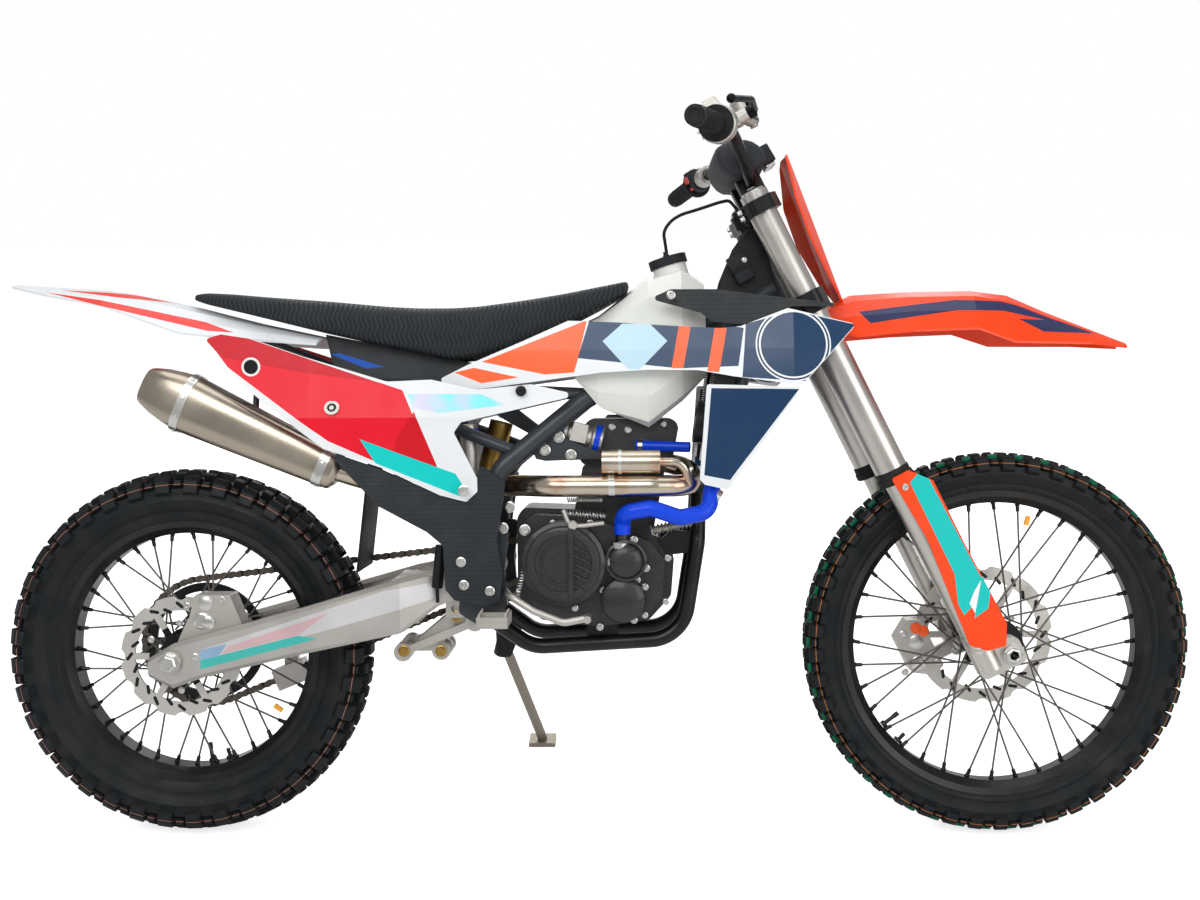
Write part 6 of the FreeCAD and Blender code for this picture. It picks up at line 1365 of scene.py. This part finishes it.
def make_cockpit():
    """The small display on the bar's front, the clamp bolts and the fittings of the front legs."""
    bm = bmesh.new()
    brick(bm, fork_place(986, 66, 0), (AHEAD, (0, 1, 0), UP_LEG), (22, 58, 34), 0.86)
    piece("display_case", bm, "steering", "black_plastic", bevel=2.0)
    bm = bmesh.new()
    brick(bm, fork_place(966, 64, 0), (AHEAD, (0, 1, 0), UP_LEG), (18, 50, 8), 0.9)
    piece("display_bracket", bm, "steering", "machined", bevel=1.0)
    spots = []
    for side in (RIGHT, LEFT):
        for up in (892, 904):
            spots.append(tuple(fork_place(up, -34, side * 112)))
        for up in (698, 712, 726):
            spots.append(tuple(fork_place(up, -36, side * 112)))
    bolts("clamp_bolts", spots, 4.2, 7, body="steering", way=tuple(-AHEAD))
    seen_bolts("fork_guard_bolts", [(979, 651), (905, 487)], -141, 6.0, 5, body="steering")
    rings = bmesh.new()
    for up in (0.0, 0.55):
        spot = fork_place(62 + 20 * up, -58 - 18 * up, 39.6)
        lathe(rings, [(0, 0), (10.5, 0), (10.5, 2.2), (8.5, 3.0), (0, 3.0)], spot, TO_RIGHT, 30)
    piece("caliper_rings", rings, "steering", "orange_plain")
    bm = bmesh.new()
    axle = Vector((WHEELBASE, 0, FRONT_Z))
    lathe(bm, [(8.6, 0), (15, 0), (15, 5), (12, 7), (8.6, 7)], axle + Vector((0, -131, 0)), TO_RIGHT, 6, closed=True)
    piece("front_axle_nut", bm, "steering", "machined", bevel=0.8)


def make_head_box():
    """The frame's gusset plates at the steering head, with the black electrics box on the right one."""
    bm = bmesh.new()
    outline = ((716, 301), (722, 278), (736, 244), (750, 226), (764, 238), (778, 292), (772, 301))
    for low, high in ((-44, -40), (40, 44)):
        slab(bm, [side_place(u, v, -44) for u, v in outline], low, high)
    piece("head_gussets", bm, "chassis", "black_metal", bevel=1.2)
    x, z = side_place(741, 268, -60)
    bm = bmesh.new()
    brick(bm, (x, -52, z), (UP_LEG, (0, 1, 0), AHEAD), (52, 24, 34), 0.94)
    piece("head_box", bm, "chassis", "black_plastic", bevel=2.0)
    bm = bmesh.new()
    brick(bm, (x, -52, z), (UP_LEG, (0, 1, 0), AHEAD), (9, 26.5, 36.5), 0.94)
    piece("head_box_strap", bm, "chassis", "rubber", bevel=0.8)
    bolts("head_box_bolt", [(x + 6, -64, z + 14)], 4.0, 4)


# Hose


def make_vent_hose():
    """The thin vent hose from the tank cap over into the steering stem."""
    tilt = math.radians(16.0)
    cap = Vector((893.0 - math.sin(tilt) * 8, 0, 1046.0 + math.cos(tilt) * 8))
    route = [cap] + [Vector(spot) for spot in ((886, 0, 1088), (882, 0, 1112), (905, 0, 1138), (948, 0, 1150),
                                               (990, 0, 1164))]
    route += [fork_place(941, -22), fork_place(893, -22)]
    curve = bpy.data.curves.new("vent_hose_line", "CURVE")
    curve.dimensions = "3D"
    curve.bevel_depth = 0.003
    curve.bevel_resolution = 4
    curve.use_fill_caps = True
    line = curve.splines.new("NURBS")
    line.points.add(len(route) - 1)
    for point, spot in zip(line.points, route):
        point.co = (*(LEANING @ spot), 1.0)
    line.order_u = 3
    line.use_endpoint_u = True
    line.resolution_u = 12
    curve.materials.append(FINISHES["rubber"])
    thing = bpy.data.objects.new("vent_hose_tube", curve)
    bpy.context.scene.collection.objects.link(thing)
    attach(thing, "chassis")
    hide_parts("vent_hose")
    bm = bmesh.new()
    lathe(bm, [(0, 0), (6, 0), (6, 5), (4.2, 7), (4.2, 12), (0, 12)],
          cap + Vector((-math.sin(tilt), 0, math.cos(tilt))) * 8, (-math.sin(tilt), 0, math.cos(tilt)), 20)
    piece("vent_spigot", bm, "chassis", "black_plastic", bevel=0.4)


# Exhaust


SILENCER_FRONT, SILENCER_REAR = Vector((306, -118, 676)), Vector((-34, -118, 834))
SILENCER_RUN = SILENCER_REAR - SILENCER_FRONT


def muffler_ring(along, size, count=56):
    """The silencer's section at a share of its length: an oval with flattened sides."""
    way = SILENCER_RUN.normalized()
    over = Vector((way.z, 0, -way.x))
    ring = []
    for index in range(count):
        angle = FULL * index / count
        c, s = math.cos(angle), math.sin(angle)
        flat = (abs(c) ** 2.8 + abs(s) ** 2.8) ** (-1 / 2.8)
        high, wide = 54 * size * s * flat * 0.96, 44 * size * c * flat * 0.96
        ring.append(SILENCER_FRONT + SILENCER_RUN * along + over * high + Vector((0, wide, 0)))
    return ring


def make_silencer():
    """The smooth tapered silencer, its end cap with the open mouth, bands and rivets."""
    def body(name, stations, finish, **more):
        """A closed shell through sections at (share of the length, size)."""
        bm = bmesh.new()
        capped(bm, [[bm.verts.new(spot) for spot in muffler_ring(along, size)] for along, size in stations])
        return piece(name, bm, "chassis", finish, smooth=35, **more)

    shell = ((0.0, 0.44), (0.004, 0.47), (0.02, 0.64), (0.03, 0.67), (0.1, 0.7), (0.4, 0.835), (0.75, 0.99),
             (0.79, 1.0))
    body("silencer_body", shell, "muffler", replaces=("muffler",), slot="steel")
    outer = ((0.79, 0.99), (0.8, 0.99), (0.86, 0.93), (0.93, 0.82), (0.985, 0.68), (1.0, 0.62), (1.004, 0.58))
    inner = ((1.0, 0.52), (0.96, 0.45), (0.9, 0.42))
    body("silencer_cap", outer + inner, "muffler", slot="steel")
    for name, low, high, size in (("rear", 0.765, 0.805, 1.0), ("front", 0.055, 0.1, 0.695)):
        band = ((low, size), (low, size + 0.03), (high, size + 0.04), (high, size))
        body("silencer_" + name + "_band", band, "machined")
        middle = SILENCER_FRONT + SILENCER_RUN * (low + high) / 2
        ring = muffler_ring((low + high) / 2, size + 0.04)
        places = [(spot, spot - middle, SILENCER_RUN.normalized()) for spot in ring[2:56:6]]
        rivet = bmesh.new()
        lathe(rivet, [(0, -0.5), (3.2, -0.5), (2.8, 1.0), (0, 1.8)], (0, 0, 0), (0, 0, 1), 12)
        copies("silencer_" + name + "_rivets", rivet, places, "chassis", "bolt")


def make_exhaust_trim():
    """The resonator's strap and the pipe clamps."""
    sleeve("resonator_strap", "resonator", seen_spot(620, 482, -140), (1, 0, 0), 6.0, 1.4, "machined")
    for index, ((u, v), (du, dv)) in enumerate((((372, 487), (1.0, 0.12)), ((612, 494), (1.0, -0.06)))):
        sleeve("pipe_clamp_" + str(index), "exhaust_header", seen_spot(u, v, -140), (du, 0, -dv), 11.0, 1.8,
               "machined")


# Small running gear


def outer_spot(node, u, v, y):
    """Where a CAD piece's right side lies behind a pixel of the photograph, and which way it faces."""
    bm = bmesh.new()
    bm.from_mesh(frame["nodes"][node].data)
    bm.transform(LEANING.inverted())
    x, z = side_place(u, v, y)
    spot, facing, _, _ = BVHTree.FromBMesh(bm).ray_cast(Vector((x, -400.0, z)), Vector((0, 1, 0)))
    bm.free()
    return spot, facing if facing.y < 0 else -facing


def make_panel_screw():
    """The lower screw of the right side panel, in its pale ring."""
    spot, facing = outer_spot("side_panel_right", 335, 408, -150)
    bm = bmesh.new()
    lathe(bm, [(8.5, -2.0), (13, -2.0), (13, 2.4), (8.5, 2.4)], tuple(spot), tuple(facing), 36)
    piece("panel_screw_ring", bm, "chassis", "alloy")
    bolts("panel_screw", [tuple(spot - facing * 1.5)], 8.2, 4.4, way=tuple(facing), finish="black_metal")


def make_running_trim():
    """Linkage bolts, chain adjusters, peg teeth, the pedal's spring and the rear brake's cylinder."""
    seen_bolts("linkage_bolts", [(457, 616), (401, 626), (404, 651), (441, 651)], -55, 8.5, 7, finish="gold_bolt",
               socket=False)
    seen_bolts("adjuster_bolts", [(195, 657)], -124, 5.5, 6)
    bm = bmesh.new()
    lathe(bm, [(5, 0), (17, 0), (17, 9), (13, 12), (5, 12)], (0, -133, REAR_Z), TO_RIGHT, 6)
    lathe(bm, [(5, 0), (20, 0), (20, 2), (5, 2)], (0, -131.5, REAR_Z), TO_RIGHT, 30)
    piece("rear_axle_nut", bm, "chassis", "machined", bevel=0.8)
    tooth = bmesh.new()
    brick(tooth, (0, 0, 2.0), SQUARE, (3.0, 5.0, 6.0), 0.6)
    places = []
    for side in (RIGHT, LEFT):
        for x in (557, 603):
            for step in range(8):
                places.append((Vector((x, side * (120 + step * 8.4), 430)), (0, 0, 1), (1, 0, 0)))
    copies("peg_teeth", tooth, places, "chassis", "alloy")
    bm = bmesh.new()
    coil_spring(bm, seen_spot(528, 553, -128), seen_spot(517, 597, -128), 4.6, 1.1, 16)
    piece("pedal_spring", bm, "chassis", "bolt")
    bm = bmesh.new()
    top, foot = seen_spot(441, 545, -108), seen_spot(437, 588, -108)
    cylinder(bm, top, foot, 10.0, 28, 1.5)
    cylinder(bm, foot, foot + Vector((1, 0, -26)), 3.2, 14, 0.4)
    cylinder(bm, top + Vector((9, 0, -14)), top + Vector((24, 0, -10)), 4.0, 16, 0.4)
    piece("rear_brake_cylinder", bm, "chassis", "black_metal")
    bm = bmesh.new()
    x, z = side_place(202, 621, -95)
    lathe(bm, [(0, 0), (15, 0), (15, 2.5), (12, 4.0), (11, 3.0), (0, 3.0)], (x, -94.6, z), TO_RIGHT, 36)
    piece("rear_piston_cover", bm, "chassis", "machined")
    seen_bolts("rear_caliper_bolts", [(187, 606), (222, 600), (214, 640)], -95, 5.0, 6)
    seen_bolts("front_caliper_bolts", [(903, 634), (905, 672), (938, 662)], 40, 5.5, 6, body="steering")
    seen_bolts("rear_caliper_pistons", [(206, 603), (208, 622)], -95, 11.0, 5, finish="machined", socket=False)
    seen_bolts("front_caliper_pistons", [(916, 641), (918, 662)], 40, 12.0, 5, body="steering", finish="machined",
               socket=False)


def make_reservoir():
    """The shock's silver reservoir with its coloured rings."""
    top, foot = seen_spot(468, 424, -70), seen_spot(470, 474, -70)
    bm = bmesh.new()
    cylinder(bm, top, foot, 17.0, 36, 1.5)
    piece("shock_reservoir", bm, "chassis", "alloy")
    for name, at, finish in (("top", 0.12, "blue_rubber"), ("low", 0.22, "red_plastic")):
        bm = bmesh.new()
        collar(bm, 16.5, 17.6, 2.5, top.lerp(foot, at), foot - top, 36)
        piece("reservoir_ring_" + name, bm, "chassis", finish)


def make_intake():
    """The throttle body between the airbox and the cylinder, with its blue hose clips."""
    start, end = (seen_spot(u, v, -70) + Vector((0, 8, 0)) for u, v in ((556, 430), (606, 442)))
    way = (end - start).normalized()
    bm = bmesh.new()
    lathe(bm, [(0, 0), (25, 0), (25, 20), (21, 24), (21, 64), (25, 68), (25, 86), (0, 86)], start, way, 36)
    brick(bm, start + way * 44 + Vector((0, -18, 6)), (way, (0, 1, 0), way.cross(Vector((0, 1, 0)))), (30, 26, 34),
          0.9)
    piece("throttle_body", bm, "chassis", "alloy", bevel=0.8)
    for index, along in enumerate((10.0, 76.0)):
        bm = bmesh.new()
        collar(bm, 24.5, 26.6, 5, start + way * along, way, 36)
        piece("intake_clip_" + str(index), bm, "chassis", "blue_rubber")


# Stage


def make_camera():
    """The camera at the photograph's place and angle."""
    data = bpy.data.cameras.new("Camera")
    data.sensor_width = 36.0
    data.lens = 36.0 * CAMERA_PIXELS / PHOTO_WIDE
    camera = bpy.data.objects.new("Camera", data)
    bpy.context.scene.collection.objects.link(camera)
    turn = CAMERA_TURN @ Matrix(((1, 0, 0), (0, 0, -1), (0, 1, 0)))
    camera.matrix_world = Matrix.Translation(LEANING @ CAMERA_AT) @ (Matrix.Rotation(-LEAN, 3, "X") @ turn).to_4x4()
    bpy.context.scene.camera = camera


def make_stage(settings):
    """A pale floor that shows white to the camera and keeps the bike's shadow, and soft lamps."""
    scene = bpy.context.scene
    scene.view_settings.view_transform = "Standard"
    world = bpy.data.worlds.new("Studio air")
    scene.world = world
    world.use_nodes = True
    tree = world.node_tree
    tree.nodes.clear()
    out = tree.nodes.new("ShaderNodeOutputWorld")
    seen = tree.nodes.new("ShaderNodeBackground")
    seen.inputs["Strength"].default_value = 1.0
    seen.inputs["Color"].default_value = (1, 1, 1, 1)
    air = tree.nodes.new("ShaderNodeBackground")
    air.inputs["Color"].default_value = (0.96, 0.98, 1.0, 1)
    air.inputs["Strength"].default_value = settings.air
    ray = tree.nodes.new("ShaderNodeLightPath")
    pick = tree.nodes.new("ShaderNodeMixShader")
    wire(tree, ray.outputs["Is Camera Ray"], pick.inputs[0])
    wire(tree, air.outputs[0], pick.inputs[1])
    wire(tree, seen.outputs[0], pick.inputs[2])
    wire(tree, pick.outputs[0], out.inputs["Surface"])
    bm = bmesh.new()
    bmesh.ops.create_grid(bm, x_segments=2, y_segments=2, size=14.0)
    mesh = bpy.data.meshes.new("Floor")
    bm.to_mesh(mesh)
    bm.free()
    mesh.transform(Matrix.Translation((0, 0, -0.0005)))
    floor = bpy.data.objects.new("Floor", mesh)
    scene.collection.objects.link(floor)
    material = bpy.data.materials.new("Pale floor")
    material.use_nodes = True
    nodes = material.node_tree.nodes
    shader = nodes["Principled BSDF"]
    shader.inputs["Base Color"].default_value = (0.8, 0.8, 0.8, 1)
    shader.inputs["Roughness"].default_value = 0.9
    shader.inputs["Emission Color"].default_value = (1, 1, 1, 1)
    path = nodes.new("ShaderNodeLightPath")
    glow = nodes.new("ShaderNodeMath")
    glow.operation = "MULTIPLY"
    glow.inputs[1].default_value = settings.floor_glow
    material.node_tree.links.new(path.outputs["Is Camera Ray"], glow.inputs[0])
    material.node_tree.links.new(glow.outputs[0], shader.inputs["Emission Strength"])
    mesh.materials.append(material)
    lamps = (("Key", (-1.2, -3.6, 3.6), (3.2, 2.2), settings.key),
             ("Fill", (2.8, -3.0, 1.8), (2.4, 2.4), settings.fill),
             ("Top", (0.0, 0.6, 4.2), (4.0, 3.0), settings.top), ("Back", (0.5, 3.8, 2.4), (3.5, 2.0), settings.back))
    for name, spot, (wide, tall), power in lamps:
        data = bpy.data.lights.new(name, "AREA")
        data.shape = "RECTANGLE"
        data.size, data.size_y = wide, tall
        data.energy = power
        lamp = bpy.data.objects.new(name, data)
        scene.collection.objects.link(lamp)
        aim = Vector((0, 0, 0.55)) - Vector(spot)
        lamp.matrix_world = Matrix.Translation(spot) @ aim.to_track_quat("-Z", "Y").to_matrix().to_4x4()


# Settings, operators and panel


def colour_setting(label, words, code):
    """A colour in the settings with a written default."""
    return FloatVectorProperty(name=label, description=words, default=tone(code)[:3], min=0, max=1, subtype="COLOR")


class BIKE_PG_colours(bpy.types.PropertyGroup):
    """The colours of the bodywork, the frame and the rubber"""
    orange: colour_setting("Shroud orange", "Orange stripes of the shrouds", "ff5f1f")
    navy: colour_setting("Shroud navy", "Dark upper field of the shrouds", "10375a")
    red: colour_setting("Panel red", "Red field of the side panels", "e8182c")
    teal: colour_setting("Panel teal", "Teal field of the side panels", "0ccdc6")
    fender: colour_setting("Fender orange", "Front fender and number plate", "fa4206")
    stripe: colour_setting("Fender stripe", "Dark stripe of the front fender", "2c2f57")
    guard_teal: colour_setting("Guard teal", "Teal fields of the fork guards", "06c4be")
    frame: colour_setting("Frame grey", "Frame paint", "31363b")
    hose: colour_setting("Hose blue", "Coolant hoses and clips", "0643dc")
    seat: colour_setting("Seat cover", "Ribbed vinyl of the seat", "1b2023")
    tyre: colour_setting("Tyre rubber", "Rubber of both tyres", "14181b")


class BIKE_PG_tyres(bpy.types.PropertyGroup):
    """The tread of both tyres"""
    front_pitches: IntProperty(name="Front pitches", description="Rows of knobs round the front tyre", default=45,
                               min=20, max=80)
    rear_pitches: IntProperty(name="Rear pitches", description="Rows of knobs round the rear tyre", default=37,
                              min=20, max=80)
    front_height: FloatProperty(name="Front knob height", description="Height of the front knobs in millimetres",
                                default=12.0, min=4, max=20)
    rear_height: FloatProperty(name="Rear knob height", description="Height of the rear knobs in millimetres",
                               default=14.0, min=4, max=22)


class BIKE_PG_stage(bpy.types.PropertyGroup):
    """The lamps, the air and the floor"""
    key: FloatProperty(name="Key lamp", description="Power of the lamp on the bike's right", default=90.0, min=0,
                       unit="POWER")
    fill: FloatProperty(name="Fill lamp", description="Power of the lamp by the front wheel", default=45.0, min=0,
                        unit="POWER")
    top: FloatProperty(name="Top lamp", description="Power of the lamp above", default=60.0, min=0, unit="POWER")
    back: FloatProperty(name="Back lamp", description="Power of the lamp on the bike's left", default=60.0, min=0,
                        unit="POWER")
    air: FloatProperty(name="Air", description="Brightness of the studio's air", default=0.43, min=0)
    floor_glow: FloatProperty(name="Floor glow", description="How much the floor's own white shows to the camera",
                              default=0.7, min=0)


class BIKE_OT_paint(bpy.types.Operator):
    """Give every node of the frame the finish of its own piece"""
    bl_idname = "bike.paint"
    bl_label = "Finishes"

    def execute(self, context):
        paint_nodes(context.scene.bike_colours)
        tyre_finishes(context.scene.bike_colours)
        return {"FINISHED"}


class BIKE_OT_tyres(bpy.types.Operator):
    """Make both knobbly tyres"""
    bl_idname = "bike.tyres"
    bl_label = "Tyres"

    def execute(self, context):
        settings = context.scene.bike_tyres
        make_tyre("front", FRONT, settings.front_pitches, settings.front_height)
        make_tyre("rear", REAR, settings.rear_pitches, settings.rear_height)
        return {"FINISHED"}


class BIKE_OT_wheels(bpy.types.Operator):
    """Add valves, rim locks, nipple seats, tags and the painted shade in the brake discs' slots"""
    bl_idname = "bike.wheels"
    bl_label = "Wheel trim"

    def execute(self, context):
        make_wheel_trim(FRONT, math.radians(75), math.radians(218))
        make_wheel_trim(REAR, math.radians(-35), math.radians(-82))
        make_disc_trim()
        return {"FINISHED"}


class BIKE_OT_chain(bpy.types.Operator):
    """Lay the links of the drive chain round both sprockets"""
    bl_idname = "bike.chain"
    bl_label = "Chain"

    def execute(self, context):
        make_chain_links()
        return {"FINISHED"}


class BIKE_OT_seat(bpy.types.Operator):
    """Make the seat with its ribbed cover"""
    bl_idname = "bike.seat"
    bl_label = "Seat"

    def execute(self, context):
        make_seat_cover()
        return {"FINISHED"}


class BIKE_OT_suspension(bpy.types.Operator):
    """Make the shock's spring and the fork's seals and caps"""
    bl_idname = "bike.suspension"
    bl_label = "Suspension"

    def execute(self, context):
        make_shock_spring()
        make_fork_trim()
        return {"FINISHED"}


class BIKE_OT_handlebar(bpy.types.Operator):
    """Make the bar pad, the grips' ribs, the controls' fittings and the display"""
    bl_idname = "bike.handlebar"
    bl_label = "Handlebar"

    def execute(self, context):
        make_bar_pad_cover()
        make_grip_trim()
        make_cockpit()
        make_head_box()
        return {"FINISHED"}


class BIKE_OT_hose(bpy.types.Operator):
    """Lay the tank cap's vent hose"""
    bl_idname = "bike.hose"
    bl_label = "Vent hose"

    def execute(self, context):
        make_vent_hose()
        return {"FINISHED"}


class BIKE_OT_exhaust(bpy.types.Operator):
    """Make the silencer with its bands and rivets, and the pipe clamps"""
    bl_idname = "bike.exhaust"
    bl_label = "Exhaust trim"

    def execute(self, context):
        make_silencer()
        make_exhaust_trim()
        return {"FINISHED"}


class BIKE_OT_running(bpy.types.Operator):
    """Add the linkage bolts, peg teeth, springs, brake cylinder, reservoir and throttle body"""
    bl_idname = "bike.running"
    bl_label = "Running gear trim"

    def execute(self, context):
        make_running_trim()
        make_panel_screw()
        make_reservoir()
        make_intake()
        return {"FINISHED"}


class BIKE_OT_engine(bpy.types.Operator):
    """Add ribs, covers, bolts and springs to the engine"""
    bl_idname = "bike.engine"
    bl_label = "Engine trim"

    def execute(self, context):
        make_engine_trim()
        return {"FINISHED"}


class BIKE_OT_cooling(bpy.types.Operator):
    """Add radiator fins, hose clips and the upper hose"""
    bl_idname = "bike.cooling"
    bl_label = "Cooling"

    def execute(self, context):
        make_cooling()
        return {"FINISHED"}


class BIKE_OT_bodywork(bpy.types.Operator):
    """Add the fasteners and grommets of the bodywork"""
    bl_idname = "bike.bodywork"
    bl_label = "Bodywork trim"

    def execute(self, context):
        make_bodywork_trim()
        return {"FINISHED"}


class BIKE_OT_stage(bpy.types.Operator):
    """Set up the camera, the floor and the lamps"""
    bl_idname = "bike.stage"
    bl_label = "Stage"

    def execute(self, context):
        make_camera()
        make_stage(context.scene.bike_stage)
        return {"FINISHED"}


OPERATORS = (BIKE_OT_paint, BIKE_OT_stage, BIKE_OT_hose, BIKE_OT_tyres, BIKE_OT_wheels, BIKE_OT_chain, BIKE_OT_seat,
             BIKE_OT_suspension, BIKE_OT_handlebar, BIKE_OT_exhaust, BIKE_OT_running, BIKE_OT_engine, BIKE_OT_cooling,
             BIKE_OT_bodywork)


class BIKE_PT_dressing(bpy.types.Panel):
    """Lists the bike's pieces and their settings"""
    bl_label = "Dirt bike"
    bl_idname = "BIKE_PT_dressing"
    bl_space_type = "VIEW_3D"
    bl_region_type = "UI"
    bl_category = "Dirt bike"

    def draw(self, context):
        """Buttons for the pieces, then one box for each group of settings."""
        layout = self.layout
        for kind in OPERATORS:
            layout.operator(kind.bl_idname)
        for label in ("bike_colours", "bike_tyres", "bike_stage"):
            settings = getattr(context.scene, label)
            box = layout.box()
            for name in settings.__annotations__:
                box.prop(settings, name)


CLASSES = (BIKE_PG_colours, BIKE_PG_tyres, BIKE_PG_stage) + OPERATORS + (BIKE_PT_dressing,)


def register():
    """Adds the operators, the panel and the settings."""
    for kind in CLASSES:
        bpy.utils.register_class(kind)
    bpy.types.Scene.bike_colours = PointerProperty(type=BIKE_PG_colours)
    bpy.types.Scene.bike_tyres = PointerProperty(type=BIKE_PG_tyres)
    bpy.types.Scene.bike_stage = PointerProperty(type=BIKE_PG_stage)


def unregister():
    """Takes the operators, the panel and the settings away."""
    del bpy.types.Scene.bike_colours
    del bpy.types.Scene.bike_tyres
    del bpy.types.Scene.bike_stage
    for kind in reversed(CLASSES):
        bpy.utils.unregister_class(kind)


def main():
    """Builds every piece in order."""
    register()
    for kind in OPERATORS:
        group_name, call = kind.bl_idname.split(".")
        getattr(getattr(bpy.ops, group_name), call)()


if __name__ == "__main__":
    main()
